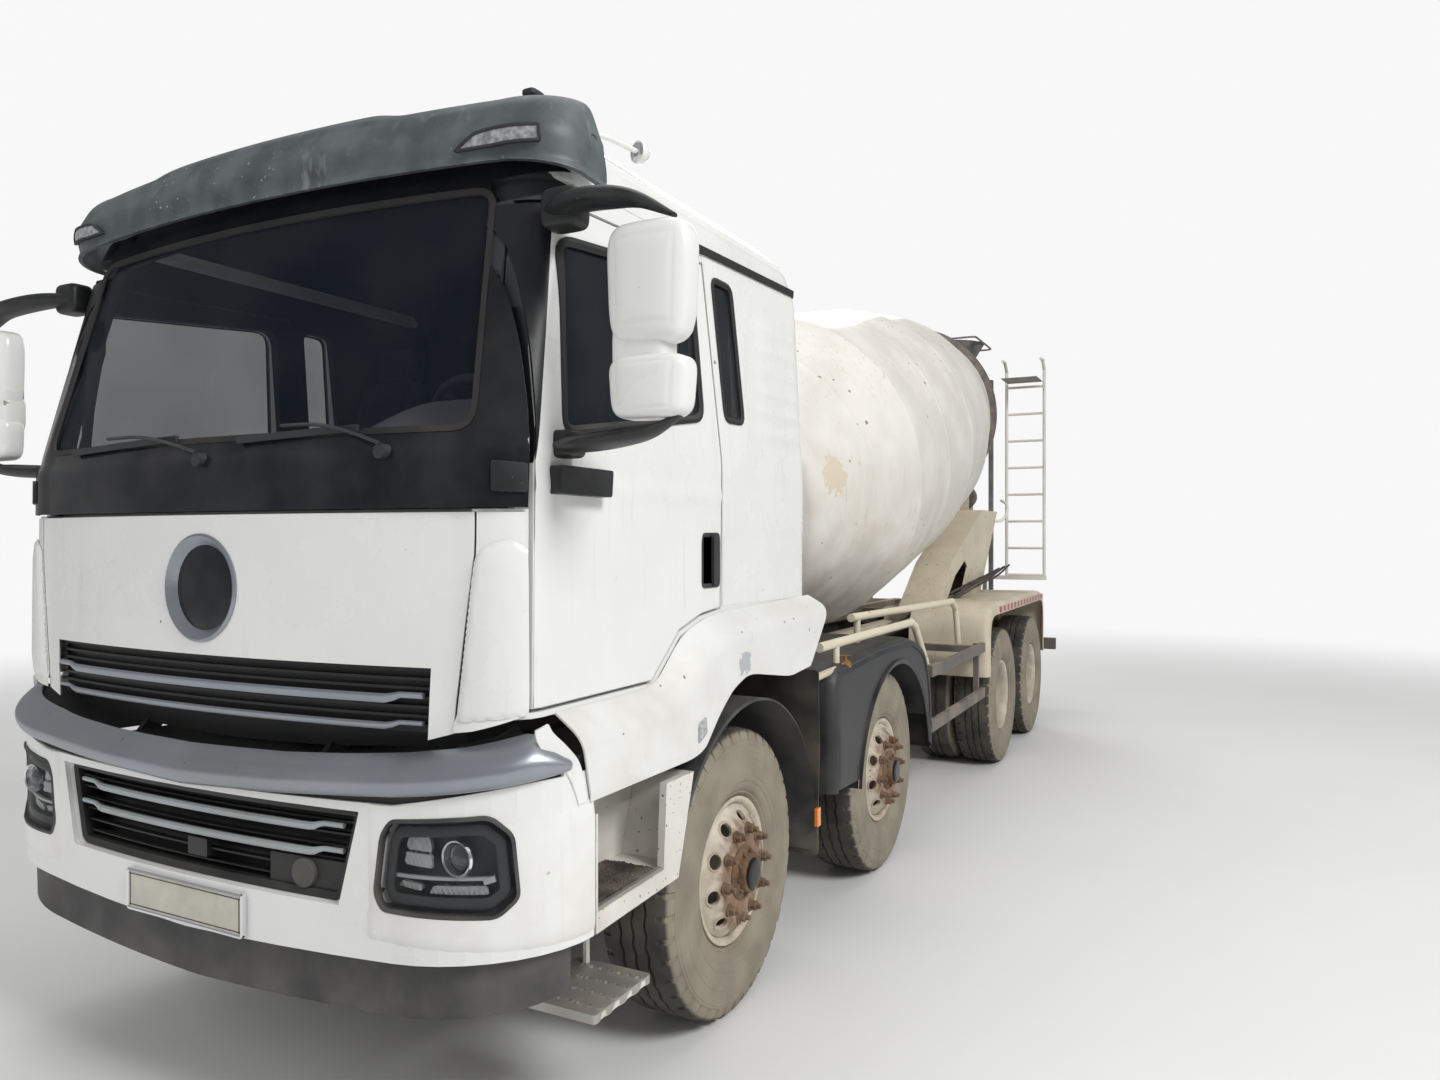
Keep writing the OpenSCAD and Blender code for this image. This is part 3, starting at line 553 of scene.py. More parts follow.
def road_dust() -> bpy.types.NodeTree:
    """Dust that thickens towards the road and lies on faces that look up; on the drum, also painted shade."""
    w, put, close = shared_group("Road dust", "Mask", Low=0.4, Span=1.0, Cover=0.5)
    place = w.place
    height = w.add("SeparateXYZ", Vector=place).outputs["Z"]
    sunk = w.math("SUBTRACT", 1.0, w.math("DIVIDE", w.math("SUBTRACT", height, put["Low"]), put["Span"]), clamp=True)
    up = w.math("MAXIMUM", w.add("SeparateXYZ", Vector=w.add("NewGeometry").outputs["Normal"]).outputs["Z"], 0.0)
    cloud = w.math("MULTIPLY", w.ramp(w.noise(5.0, 6.0), 0.25, 0.75), 1.3)
    lying = w.math("ADD", w.math("MULTIPLY", sunk, 0.85), w.math("MULTIPLY", up, 0.35))
    return close(w.math("MULTIPLY", w.math("MULTIPLY", lying, cloud), put["Cover"], clamp=True))


def rain_streaks() -> bpy.types.NodeTree:
    """Thin upright runs of dirty water."""
    w, put, close = shared_group("Rain streaks", "Mask", Cover=0.5)
    run = w.ramp(w.noise(3.0, 4.0, (14.0, 14.0, 0.5)), 0.56, 0.74)
    patchy = w.ramp(w.noise(2.2, 2.0), 0.42, 0.62)
    return close(w.math("MULTIPLY", w.math("MULTIPLY", run, patchy), put["Cover"], clamp=True))


def chips() -> bpy.types.NodeTree:
    """Small scattered stone chips and spatters of uneven size."""
    w, put, close = shared_group("Chips", "Mask", Size=0.02, Cover=0.3)
    place = w.place
    wobble = w.add("TexNoise", Vector=place, Scale=60.0, Detail=2.0).outputs["Color"]
    bent = w.add("Mix", data_type="VECTOR", Factor=0.02)
    w.feed(bent.inputs[4], place)
    w.feed(bent.inputs[5], wobble)
    cell = w.add("TexVoronoi", Vector=bent.outputs[1], Scale=w.math("DIVIDE", 1.0, put["Size"]), Randomness=1.0)
    luck = w.add("SeparateColor", Color=cell.outputs["Color"])
    size = w.math("MULTIPLY", luck.outputs[0], 0.22)
    spot = w.math("LESS_THAN", cell.outputs["Distance"], size)
    chosen = w.math("GREATER_THAN", put["Cover"], luck.outputs[1])
    drift = w.ramp(w.noise(1.4, 3.0), 0.40, 0.62)
    return close(w.math("MULTIPLY", w.math("MULTIPLY", spot, chosen), drift, clamp=True))


def edge_wear() -> bpy.types.NodeTree:
    """Paint rubbed off sharp edges: high where a rounded normal leaves the true one."""
    w, put, close = shared_group("Edge wear", "Mask", Radius=0.006, Cover=0.5)
    soft = w.add("Bevel", samples=3, Radius=put["Radius"]).outputs["Normal"]
    true = w.add("NewGeometry").outputs["Normal"]
    dot = w.add("VectorMath", operation="DOT_PRODUCT")
    w.feed(dot.inputs[0], soft)
    w.feed(dot.inputs[1], true)
    turn = w.math("SUBTRACT", 1.0, dot.outputs["Value"])
    worn = w.math("MULTIPLY", w.ramp(turn, 0.02, 0.16), w.ramp(w.noise(22.0, 5.0), 0.42, 0.62))
    return close(w.math("MULTIPLY", worn, put["Cover"], clamp=True))


def scuff_mark() -> bpy.types.NodeTree:
    """One ragged rubbed place: near a point, broken up by noise."""
    w, put, close = shared_group("Scuff mark", "Mask", At_X=0.0, At_Y=0.0, At_Z=0.0, Radius=0.1)
    place = w.place
    middle = w.add("CombineXYZ", X=put["At_X"], Y=put["At_Y"], Z=put["At_Z"])
    far = w.add("VectorMath", operation="DISTANCE")
    w.feed(far.inputs[0], place)
    w.feed(far.inputs[1], middle.outputs[0])
    ragged = w.math("ADD", w.math("DIVIDE", far.outputs["Value"], put["Radius"]),
                    w.math("MULTIPLY", w.noise(26.0, 5.0), 1.4))
    return close(w.math("SUBTRACT", 1.0, w.ramp(ragged, 1.30, 1.42)))


def surface_grain() -> bpy.types.NodeTree:
    """Fine height of a sprayed or moulded surface."""
    w, put, close = shared_group("Surface grain", "Height", Scale=300.0)
    place = w.place
    fine = w.add("TexNoise", Vector=place, Scale=put["Scale"], Detail=2.0).outputs["Fac"]
    return close(fine)


_built: dict[str, bpy.types.NodeTree] = {}


def once(name: str, make: Callable[[], bpy.types.NodeTree]) -> Callable[[], bpy.types.NodeTree]:
    """A function that builds a node group the first time it is asked for."""
    def get() -> bpy.types.NodeTree:
        """Returns the one group of this name."""
        if name not in _built:
            _built[name] = make()
        return _built[name]
    return get


EFFECTS = {f.__name__: once(f.__name__, f) for f in (road_dust, rain_streaks, chips, edge_wear, scuff_mark,
                                                     surface_grain)}

Colour = tuple[float, float, float]
Layers = list[tuple[bpy.types.NodeSocket, Colour, float]]


def new_material(name: str) -> tuple[bpy.types.Material, Wiring, bpy.types.Node]:
    """A new material, the wiring of its nodes and its shader."""
    material = bpy.data.materials.new(name)
    material.use_nodes = True
    return material, Wiring(material.node_tree), material.node_tree.nodes["Principled BSDF"]


@dataclass(frozen=True)
class Finish:
    """A painted, moulded or bare surface with its dirt and wear."""

    name: str
    slot: str
    colour: Colour
    roughness: float = 0.4
    metallic: float = 0.0
    coat: float = 0.0
    specular: float = 0.5
    mottle: float = 0.06
    mottle_scale: float = 3.0
    dust: float = 0.0
    dust_low: float = 0.3
    dust_span: float = 1.2
    dust_colour: Colour = (0.42, 0.35, 0.26)
    streaks: float = 0.0
    streak_colour: Colour = (0.36, 0.25, 0.15)
    spots: float = 0.0
    spot_size: float = 0.03
    spot_colour: Colour = (0.16, 0.10, 0.06)
    wear: float = 0.0
    wear_colour: Colour = (0.30, 0.22, 0.16)
    scuff: tuple[float, float, float, float] | None = None
    scuff_colour: Colour = (0.40, 0.40, 0.40)
    grain: float = 0.0
    grain_scale: float = 300.0
    grain_height: float = 0.002
    mottle_depth: float = 2.2
    sheen_swing: float = 0.25
    mattest: float = 0.97
    coat_roughness: float = 0.08

    @property
    def material(self) -> bpy.types.Material:
        """The finish's material, built when it is first used."""
        return bpy.data.materials.get(self.name) or self.build()

    def build(self) -> bpy.types.Material:
        """Builds the material: base colour, then dust, streaks, spots and worn edges over it."""
        material, w, shader = new_material(self.name)
        cloud = w.noise(self.mottle_scale, 5.0)
        dark = tuple(c * (1 - self.mottle_depth * self.mottle) for c in self.colour)
        colour = w.mix(w.ramp(cloud, 0.3, 0.7), dark, self.colour)
        rough = w.math("ADD", self.roughness, w.math("MULTIPLY", w.math("SUBTRACT", cloud, 0.5), self.sheen_swing))
        for mask, tint, matt in self.layers(w):
            colour = w.mix(mask, colour, tint)
            rough = w.math("ADD", rough, w.math("MULTIPLY", mask, matt))
        w.feed(shader.inputs["Base Color"], colour)
        w.feed(shader.inputs["Roughness"], w.math("MINIMUM", rough, self.mattest))
        shader.inputs["Metallic"].default_value = self.metallic
        shader.inputs["Coat Weight"].default_value = self.coat
        shader.inputs["Coat Roughness"].default_value = self.coat_roughness
        shader.inputs["Specular IOR Level"].default_value = self.specular
        if self.grain:
            bump = w.add("Bump", Strength=self.grain, Distance=self.grain_height,
                         Height=w.effect("surface_grain", Scale=self.grain_scale))
            w.feed(shader.inputs["Normal"], bump.outputs[0])
        return material

    def layers(self, w: Wiring) -> Layers:
        """Masks laid over the base, each with its colour and how much rougher it is."""
        found = []
        if self.dust:
            found.append((w.effect("road_dust", Low=self.dust_low, Span=self.dust_span, Cover=self.dust),
                          self.dust_colour, 0.35))
        if self.streaks:
            found.append((w.effect("rain_streaks", Cover=self.streaks), self.streak_colour, 0.2))
        if self.spots:
            found.append((w.effect("chips", Size=self.spot_size, Cover=self.spots), self.spot_colour, 0.3))
        if self.scuff:
            x, y, z, radius = self.scuff
            found.append((w.effect("scuff_mark", At_X=x, At_Y=y, At_Z=z, Radius=radius), self.scuff_colour, 0.3))
        if self.wear:
            found.append((w.effect("edge_wear", Cover=self.wear), self.wear_colour, 0.25))
        return found


@dataclass(frozen=True)
class Glass(Finish):
    """Clear or tinted glass and lamp covers."""

    see_through: float = 0.75

    def build(self) -> bpy.types.Material:
        """Builds tinted glass that lets straight light through, with a thin film of dust."""
        material, w, shader = new_material(self.name)
        film = w.ramp(w.noise(self.mottle_scale, 6.0), 0.35, 0.75)
        w.feed(shader.inputs["Base Color"], w.mix(w.math("MULTIPLY", film, self.mottle), self.colour, self.dust_colour))
        w.feed(shader.inputs["Roughness"], w.math("ADD", self.roughness, w.math("MULTIPLY", film, 0.04)))
        w.feed(shader.inputs["Alpha"], w.math("ADD", 1.0 - self.see_through, w.math("MULTIPLY", film, self.mottle)))
        shader.inputs["Specular IOR Level"].default_value = self.specular
        return material


@dataclass(frozen=True)
class TyreRubber(Finish):
    """Tyre rubber: dusty sidewalls and a darker tread, told apart by the attribute "tread"."""

    def layers(self, w: Wiring) -> Layers:
        """Dust over the sidewall, thinner on the tread."""
        tread = w.add("Attribute", attribute_name="tread").outputs["Fac"]
        cloud = w.ramp(w.noise(7.0, 6.0), 0.2, 0.75)
        wall = w.math("MULTIPLY", w.math("SUBTRACT", 1.0, tread), w.math("ADD", 0.62, w.math("MULTIPLY", cloud, 0.3)))
        floor = w.math("MULTIPLY", tread, w.math("MULTIPLY", cloud, 0.22))
        return [(wall, self.dust_colour, 0.1), (floor, self.dust_colour, 0.1)]


@dataclass(frozen=True)
class RimPaint(Finish):
    """Wheel paint with rust that spreads from the hub, by the attribute "rust"."""

    def layers(self, w: Wiring) -> Layers:
        """The plain layers, then rust where the attribute and a cloud are both high."""
        near = w.add("Attribute", attribute_name="rust").outputs["Fac"]
        cloud = w.math("ADD", near, w.math("MULTIPLY", w.math("SUBTRACT", w.noise(24.0, 6.0), 0.5), 1.5))
        return super().layers(w) + [(w.math("MULTIPLY", w.ramp(cloud, 0.25, 0.95), 0.85), (0.22, 0.12, 0.07), 0.3)]


@dataclass(frozen=True)
class TwoTone(Finish):
    """A second colour above a height."""

    above: float = 1.035
    upper: Colour = (0.70, 0.63, 0.49)

    def layers(self, w: Wiring) -> Layers:
        """The upper colour where the object's Z is past the height, then the plain layers."""
        place = w.place
        z = w.add("SeparateXYZ", Vector=place).outputs["Z"]
        return [(w.math("GREATER_THAN", z, self.above), self.upper, 0.0)] + super().layers(w)


@dataclass(frozen=True)
class LinedPaint(Finish):
    """Paint outside, lining in a box inside, black on the screen's surround and underneath."""

    half_width: float = 1.095
    front: float = -4.42
    rear: float = -2.545
    low: float = 1.40
    high: float = 3.06
    band_low: float = 1.906
    band_high: float = 2.885
    band_line: tuple = (-4.870, 0.2)
    narrow_from: float = 2.86
    narrowing: float = 0.9
    under_half_width: float = 0.9
    under_rear: float = -3.9
    under_high: float = 1.262
    under_colour: Colour = (0.02, 0.021, 0.023)
    band_colour: Colour = (0.008, 0.009, 0.012)
    lining_colour: Colour = (0.03, 0.032, 0.036)

    def layers(self, w: Wiring) -> Layers:
        """The plain layers, then the black underside, the black band and the lining."""
        parts = w.add("SeparateXYZ", Vector=w.place).outputs
        x, y, z = w.math("ABSOLUTE", parts["X"]), parts["Y"], parts["Z"]

        def every(*tests: tuple[str, bpy.types.NodeSocket, float]) -> bpy.types.NodeSocket:
            """1 where every comparison holds."""
            mask = w.math(*tests[0])
            for test in tests[1:]:
                mask = w.math("MULTIPLY", mask, w.math(*test))
            return mask

        at, slope = self.band_line
        band = every(("LESS_THAN", w.math("SUBTRACT", y, w.math("MULTIPLY", z, slope)), at),
                     ("GREATER_THAN", z, self.band_low), ("LESS_THAN", z, self.band_high))
        past = w.math("MAXIMUM", w.math("SUBTRACT", z, self.narrow_from), 0.0)
        narrow = w.math("MULTIPLY", past, self.narrowing)
        lining = every(("LESS_THAN", w.math("ADD", x, narrow), self.half_width), ("GREATER_THAN", y, self.front),
                       ("LESS_THAN", y, self.rear), ("GREATER_THAN", z, self.low), ("LESS_THAN", z, self.high))
        under = every(("LESS_THAN", x, self.under_half_width), ("LESS_THAN", y, self.under_rear),
                      ("LESS_THAN", z, self.under_high))
        return super().layers(w) + [(under, self.under_colour, 0.3), (band, self.band_colour, 0.1),
                                    (lining, self.lining_colour, 0.4)]


WHITE = Finish("White cab paint", "white_paint", (0.83, 0.83, 0.81), roughness=0.28, coat=0.5, mottle=0.02,
               dust=0.35, dust_low=0.45, dust_span=1.1, streaks=0.10, spots=0.05, spot_size=0.035)
# Partly painted shade: the drum's brown dust, thick below 1.1 m, is dirt and also darkens the lower cone as shade.
DRUM_WHITE = Finish("Drum paint", "white_paint", (0.80, 0.78, 0.72), roughness=0.42, coat=0.15, mottle=0.05,
                    dust=0.62, dust_low=1.1, dust_span=1.4, dust_colour=(0.46, 0.37, 0.27), streaks=0.35,
                    scuff=(0.85, -1.30, 2.18, 0.16), scuff_colour=(0.66, 0.57, 0.45),
                    streak_colour=(0.45, 0.30, 0.17), spots=0.42, spot_size=0.075)
CREAM = Finish("Old cream paint", "cream_paint", (0.70, 0.63, 0.49), roughness=0.5, mottle=0.07, dust=0.5,
               dust_low=0.5, dust_span=1.2, streaks=0.45, streak_colour=(0.28, 0.17, 0.10), spots=0.35,
               spot_size=0.05, wear=0.8, wear_colour=(0.25, 0.13, 0.07))
LADDER_WHITE = Finish("Ladder paint", "white_paint", (0.78, 0.76, 0.70), roughness=0.5, streaks=0.4, spots=0.4,
                      spot_size=0.04, wear=0.7, wear_colour=(0.28, 0.15, 0.08))
CHASSIS = Finish("Chassis black", "chassis_black", (0.035, 0.035, 0.038), roughness=0.55, dust=0.75, dust_low=0.5,
                 dust_span=1.3, dust_colour=(0.20, 0.17, 0.13), wear=0.6, wear_colour=(0.16, 0.09, 0.05), grain=0.3)
PLASTIC = Finish("Black moulded plastic", "black_plastic", (0.032, 0.034, 0.038), roughness=0.55, dust=0.45,
                 dust_low=0.5, dust_span=1.4, dust_colour=(0.22, 0.20, 0.17), grain=0.35, grain_scale=900.0)
VISOR_GREY = Finish("Weathered visor", "black_plastic", (0.105, 0.125, 0.13), roughness=0.45, mottle=0.2,
                    mottle_scale=9.0, streaks=0.5, streak_colour=(0.30, 0.31, 0.30), spots=0.5, spot_size=0.02,
                    spot_colour=(0.33, 0.34, 0.33), wear=0.5, wear_colour=(0.35, 0.36, 0.35), grain=0.2)
GLOSS_BLACK = Finish("Gloss black trim", "gloss_black", (0.008, 0.009, 0.012), roughness=0.1, coat=0.1, specular=0.22,
                     mottle=0.1, dust=0.12, dust_low=1.6, dust_span=1.5, dust_colour=(0.2, 0.2, 0.2))
SILVER = Finish("Satin silver", "silver_trim", (0.36, 0.39, 0.44), roughness=0.32, metallic=0.8, mottle=0.06,
                spots=0.12, spot_size=0.03, spot_colour=(0.2, 0.2, 0.2), dust=0.25, dust_low=0.8, dust_span=0.8)
BAR_SILVER = Finish("Pale grille bar", "silver_trim", (0.42, 0.47, 0.50), roughness=0.4, metallic=0.4, dust=0.3,
                    dust_low=0.7, dust_span=0.9)
CHROME = Finish("Bright reflector", "lamp_glass", (0.85, 0.86, 0.88), roughness=0.12, metallic=1.0, mottle=0.02)
RIM = RimPaint("Wheel paint", "rim_paint", (0.66, 0.60, 0.50), roughness=0.5, mottle=0.12, mottle_scale=14.0, dust=0.6,
               dust_low=0.1, dust_span=1.2, dust_colour=(0.36, 0.27, 0.18), spots=0.3, spot_size=0.03, wear=0.8,
               wear_colour=(0.27, 0.13, 0.06))
RUST = Finish("Rusty hub", "rim_paint", (0.20, 0.105, 0.055), roughness=0.8, metallic=0.2, mottle=0.25,
              mottle_scale=30.0, dust=0.4, dust_low=0.1, dust_span=1.2, grain=0.6, grain_scale=500.0)
STEEL = Finish("Worn steel", "bare_steel", (0.30, 0.27, 0.24), roughness=0.5, metallic=0.7, mottle=0.2,
               mottle_scale=12.0, wear=0.4, wear_colour=(0.45, 0.42, 0.4), dust=0.4, dust_low=1.0)
CEMENT = Finish("Cement-caked steel", "dirty_steel", (0.17, 0.165, 0.155), roughness=0.85, mottle=0.25,
                mottle_scale=8.0, dust=0.6, dust_low=0.5, dust_span=3.0, dust_colour=(0.34, 0.32, 0.29),
                spots=0.4, spot_size=0.05, spot_colour=(0.42, 0.40, 0.37), grain=0.8, grain_scale=120.0)
ALLOY = Finish("Step alloy", "tank_steel", (0.48, 0.48, 0.47), roughness=0.42, metallic=0.75, dust=0.6,
               dust_low=0.2, dust_span=1.0, wear=0.3, wear_colour=(0.7, 0.7, 0.7))
TANK = Finish("Tank paint", "tank_steel", (0.30, 0.30, 0.30), roughness=0.45, metallic=0.3, dust=0.7, dust_low=0.4,
              dust_span=1.0, wear=0.4)
RUBBER = Finish("Black rubber", "black_plastic", (0.018, 0.018, 0.019), roughness=0.7, dust=0.4, dust_low=0.3,
                dust_span=1.6, grain=0.3, grain_scale=600.0)
TYRE = TyreRubber("Tyre rubber", "tyre", (0.028, 0.028, 0.029), roughness=0.82, mottle=0.1,
                  dust_colour=(0.33, 0.29, 0.22), grain=0.4, grain_scale=700.0)
INTERIOR = Finish("Cab lining", "interior", (0.03, 0.032, 0.036), roughness=0.75, mottle=0.1, grain=0.4,
                  grain_scale=500.0)
CHAIR_CLOTH = Finish("Chair cloth", "interior", (0.10, 0.105, 0.11), roughness=0.92, mottle=0.12, mottle_scale=60.0,
                     grain=0.6, grain_scale=1400.0)
WINDOW = Glass("Tinted window", "window_glass", (0.010, 0.016, 0.024), roughness=0.02, mottle=0.05, mottle_scale=3.0,
               see_through=0.5, specular=0.3)
SCREEN = Glass("Windscreen", "window_glass", (0.010, 0.017, 0.032), roughness=0.02, mottle=0.06, mottle_scale=2.0,
               see_through=0.78, specular=0.25)
LAMP_COVER = Glass("Lamp cover", "lamp_glass", (0.03, 0.035, 0.04), roughness=0.04, mottle=0.06, mottle_scale=12.0,
                   see_through=0.88, specular=0.35)
AMBER = Finish("Amber lens", "lamp_glass", (0.85, 0.22, 0.02), roughness=0.15, coat=0.8, mottle=0.1)
PLATE = Finish("Blank plate", "white_paint", (0.62, 0.60, 0.52), roughness=0.4, mottle=0.08, mottle_scale=12.0,
               dust=0.5, dust_low=0.4, dust_span=0.5)
LAMP_HOUSING = Finish("Lamp housing", "black_plastic", (0.05, 0.052, 0.056), roughness=0.45, mottle=0.1, grain=0.2)
LENS = Finish("Projector lens", "lamp_glass", (0.10, 0.11, 0.12), roughness=0.05, metallic=0.3, coat=1.0, mottle=0.1)
CLEAR_LENS = Finish("Clear lens", "lamp_glass", (0.62, 0.64, 0.66), roughness=0.08, metallic=0.5, coat=1.0, mottle=0.25,
                    mottle_scale=60.0)
PALE_PLASTIC = Finish("Pale lamp frame", "lamp_glass", (0.55, 0.56, 0.57), roughness=0.25, metallic=0.4, mottle=0.1)
MIRROR_GLASS = Finish("Mirror glass", "lamp_glass", (0.80, 0.82, 0.84), roughness=0.03, metallic=1.0, mottle=0.02)
FENDER_WHITE = Finish("Fender paint", "white_paint", (0.80, 0.80, 0.78), roughness=0.3, coat=0.5, mottle=0.02, dust=0.5,
                      dust_low=0.75, dust_span=0.8, spots=0.10, spot_size=0.03, scuff=(1.24, -3.34, 1.36, 0.075),
                      scuff_colour=(0.42, 0.45, 0.47))
STEP_WHITE = Finish("Step paint", "white_paint", (0.76, 0.75, 0.70), roughness=0.42, mottle=0.05, dust=0.7,
                    dust_low=0.4, dust_span=0.8, spots=0.45, spot_size=0.022, wear=0.7, wear_colour=(0.30, 0.22, 0.15))
GUARD_BLACK = Finish("Mudguard plastic", "black_plastic", (0.022, 0.025, 0.030), roughness=0.42, mottle=0.2,
                     mottle_scale=5.0, dust=0.35, dust_low=0.5, dust_span=0.9, dust_colour=(0.16, 0.14, 0.12),
                     spots=0.2, spot_size=0.03, spot_colour=(0.10, 0.10, 0.10), grain=0.2)
GUARD_PAINT = TwoTone("Guard rail paint", "cream_paint", (0.13, 0.12, 0.115), roughness=0.55, mottle=0.15,
                      mottle_scale=8.0, dust=0.6, dust_low=0.4, dust_span=1.0, wear=0.8, wear_colour=(0.32, 0.16, 0.10),
                      spots=0.3, spot_size=0.04)
TAPE_RED = Finish("Red tape", "lamp_glass", (0.50, 0.03, 0.03), roughness=0.35, mottle=0.12, mottle_scale=20.0,
                  dust=0.5, dust_low=1.1, dust_span=0.3, spots=0.3, spot_size=0.02)
TAPE_WHITE = Finish("White tape", "lamp_glass", (0.66, 0.62, 0.55), roughness=0.35, mottle=0.12, mottle_scale=20.0,
                    dust=0.5, dust_low=1.1, dust_span=0.3)
BRASS = Finish("Rusty brass", "bare_steel", (0.42, 0.22, 0.07), roughness=0.6, metallic=0.5, mottle=0.25,
               mottle_scale=40.0)
SHELL_PAINT = LinedPaint("Cab shell paint", "white_paint", (0.80, 0.80, 0.78), roughness=0.3, mottle=0.02)
DOOR_PAINT = LinedPaint("Door paint", "white_paint", (0.80, 0.80, 0.78), roughness=0.3, mottle=0.02, streaks=0.12,
                        half_width=-1.0)
MIRROR_BLACK = Finish("Mirror arm black", "black_plastic", (0.022, 0.023, 0.025), roughness=0.42, mottle=0.2,
                      mottle_scale=14.0, wear=0.4, wear_colour=(0.12, 0.12, 0.12), spots=0.3, spot_size=0.015,
                      spot_colour=(0.10, 0.10, 0.10), grain=0.2)
BUMPER_PAINT = TwoTone("Bumper paint", "white_paint", (0.80, 0.80, 0.78), roughness=0.3, mottle=0.02, above=1.186,
                       upper=(0.02, 0.02, 0.022))
DASH = Finish("Dash top", "interior", (0.26, 0.27, 0.28), roughness=0.8, mottle=0.12, grain=0.3, grain_scale=600.0)
# Also the black of the painted shade sheets behind the blade and under the corner seams.
GRILLE_BLACK_AND_SHADE = Finish("Grille black", "black_plastic", (0.012, 0.013, 0.014), roughness=0.5, dust=0.25, dust_low=0.6,
                dust_span=1.2, dust_colour=(0.12, 0.11, 0.10))
RED = Finish("Red lens", "lamp_glass", (0.55, 0.02, 0.02), roughness=0.2, coat=0.6, mottle=0.1)


# ---------------------------------------------------------------- cab


@dataclass
class CabSkin:
    """The cab's outer surface as a function of wrap and height.

    Wrap runs from the middle of the front round the left side to the middle of the
    rear, and below zero round the right side. At each height the plan is a bowed front,
    an elliptic corner, a straight side, a round rear corner and a flat rear. Front,
    half width and back at a height are broken lines through the levels, averaged over
    a window so that creases turn soft.
    """

    heights: tuple[float, ...] = (1.0, 1.25, 2.085, 2.88, 3.02, 3.11, 3.3)
    fronts: tuple[float, ...] = (0.060, 0.062, 0.072, 0.268, 0.318, 0.420, 0.62)
    half_widths: tuple[float, ...] = (1.150, 1.150, 1.150, 1.108, 1.075, 0.960, 0.72)
    backs: tuple[float, ...] = (2.205, 2.205, 2.205, 2.200, 2.135, 1.995, 1.78)
    bow: float = 0.080
    corner_x: float = 0.200
    corner_y: float = 0.120
    rear_radius: float = 0.070
    window: float = 0.05
    front_span: float = 0.950
    corner_span: float = 0.260
    side_span: float = 1.873
    rear_corner_span: float = 0.110

    def level(self, z: Grid) -> tuple[Grid, Grid, Grid]:
        """Front, half width and back at each height."""
        z = np.asarray(z, float)
        shifts = np.linspace(-self.window, self.window, 7)
        return tuple(np.mean([np.interp(z + s, self.heights, row) for s in shifts], axis=0)
                     for row in (self.fronts, self.half_widths, self.backs))

    @property
    def stops(self) -> Grid:
        """Wrap at the end of the front, the corner, the side and the rear corner."""
        return np.cumsum([self.front_span, self.corner_span, self.side_span, self.rear_corner_span])

    def point(self, wrap: Grid, z: Grid) -> Grid:
        """Points of the surface at arrays of wrap and height."""
        wrap, z = np.broadcast_arrays(np.asarray(wrap, float), np.asarray(z, float))
        yf, hw, yr = self.level(z)
        w = np.abs(wrap)
        s0, s1, s2, s3 = self.stops
        hx = hw - self.corner_x
        side_start = yf + self.bow + self.corner_y
        side_end = yr - self.rear_radius
        a = np.clip((w - s0) / (s1 - s0), 0, 1) * math.pi / 2
        b = np.clip((w - s2) / (s3 - s2), 0, 1) * math.pi / 2
        x_front = w / s0 * hx
        t = (w - s1) / (s2 - s1)
        x_rear = (hw - self.rear_radius) * (1 - (w - s3) / (hw - self.rear_radius))
        x = np.select([w < s0, w < s1, w < s2, w < s3],
                      [x_front, hx + self.corner_x * np.sin(a), hw,
                       hw - self.rear_radius * (1 - np.cos(b))], x_rear)
        y = np.select([w < s0, w < s1, w < s2, w < s3],
                      [yf + self.bow * (x_front / hx) ** 2,
                       yf + self.bow + self.corner_y * (1 - np.cos(a)),
                       side_start + t * (side_end - side_start),
                       side_end + self.rear_radius * np.sin(b)], yr)
        return np.stack([np.sign(wrap) * x, back(y), z], -1)

    def normal(self, wrap: Grid, z: Grid) -> Grid:
        """Outward normals, from the cross product of two small steps."""
        eps = 2e-3
        du = self.point(wrap + eps, z) - self.point(wrap - eps, z)
        dv = self.point(wrap, z + eps) - self.point(wrap, z - eps)
        n = np.cross(du, dv)
        return n / np.maximum(np.linalg.norm(n, axis=-1, keepdims=True), 1e-12)

    def lifted(self, rise: float = 0.0, relief: Surface | None = None) -> Surface:
        """The surface moved out by a rise and a relief that depends on wrap and height."""
        def surface(wrap: Grid, z: Grid) -> Grid:
            """Points of the raised surface."""
            height = rise + (relief(np.abs(wrap), z) if relief else 0.0)
            return self.point(wrap, z) + self.normal(wrap, z) * np.reshape(height * np.ones_like(z), (-1, 1))
        return surface

    def wrap_at(self, y: Grid, z: Grid) -> Grid:
        """Wrap of places on the left side, given by distance back and height."""
        yf, _, yr = self.level(z)
        start, end = yf + self.bow + self.corner_y, yr - self.rear_radius
        s0, s1, s2, _ = self.stops
        straight = s1 + (y - start) / (end - start) * (s2 - s1)
        lean = np.arccos(np.clip(1 - (y - yf - self.bow) / self.corner_y, 0, 1))
        bent = s0 + lean / (math.pi / 2) * (s1 - s0)
        return np.where(y < start, bent, straight)

    def from_side(self, outline: Grid, side: Side = Side.LEFT) -> Grid:
        """Turns an outline in (distance back, height) on the cab's side into (wrap, height)."""
        y, z = resampled(np.asarray(outline, float), 0.02).T
        return np.stack([side.value * self.wrap_at(y, z), z], -1)

    def from_front(self, outline: Grid) -> Grid:
        """Turns an outline in (x, height) on the cab's front into (wrap, height)."""
        ring = resampled(np.asarray(outline, float), 0.02)
        x, z = np.abs(ring[:, 0]), ring[:, 1]
        hx = self.level(z)[1] - self.corner_x
        lean = np.arcsin(np.clip((x - hx) / self.corner_x, 0, 1))
        w = np.where(x < hx, x / hx * self.front_span, self.front_span + lean / (math.pi / 2) * self.corner_span)
        return np.stack([np.sign(ring[:, 0]) * w, z], -1)


SKIN = CabSkin()
WALL = 0.0035
LIFT = 0.0045


def soft_step(value: Grid, low: float, high: float) -> Grid:
    """0 below low, 1 above high and a smooth cubic between them."""
    t = np.clip((value - low) / (high - low), 0, 1)
    return t * t * (3 - 2 * t)


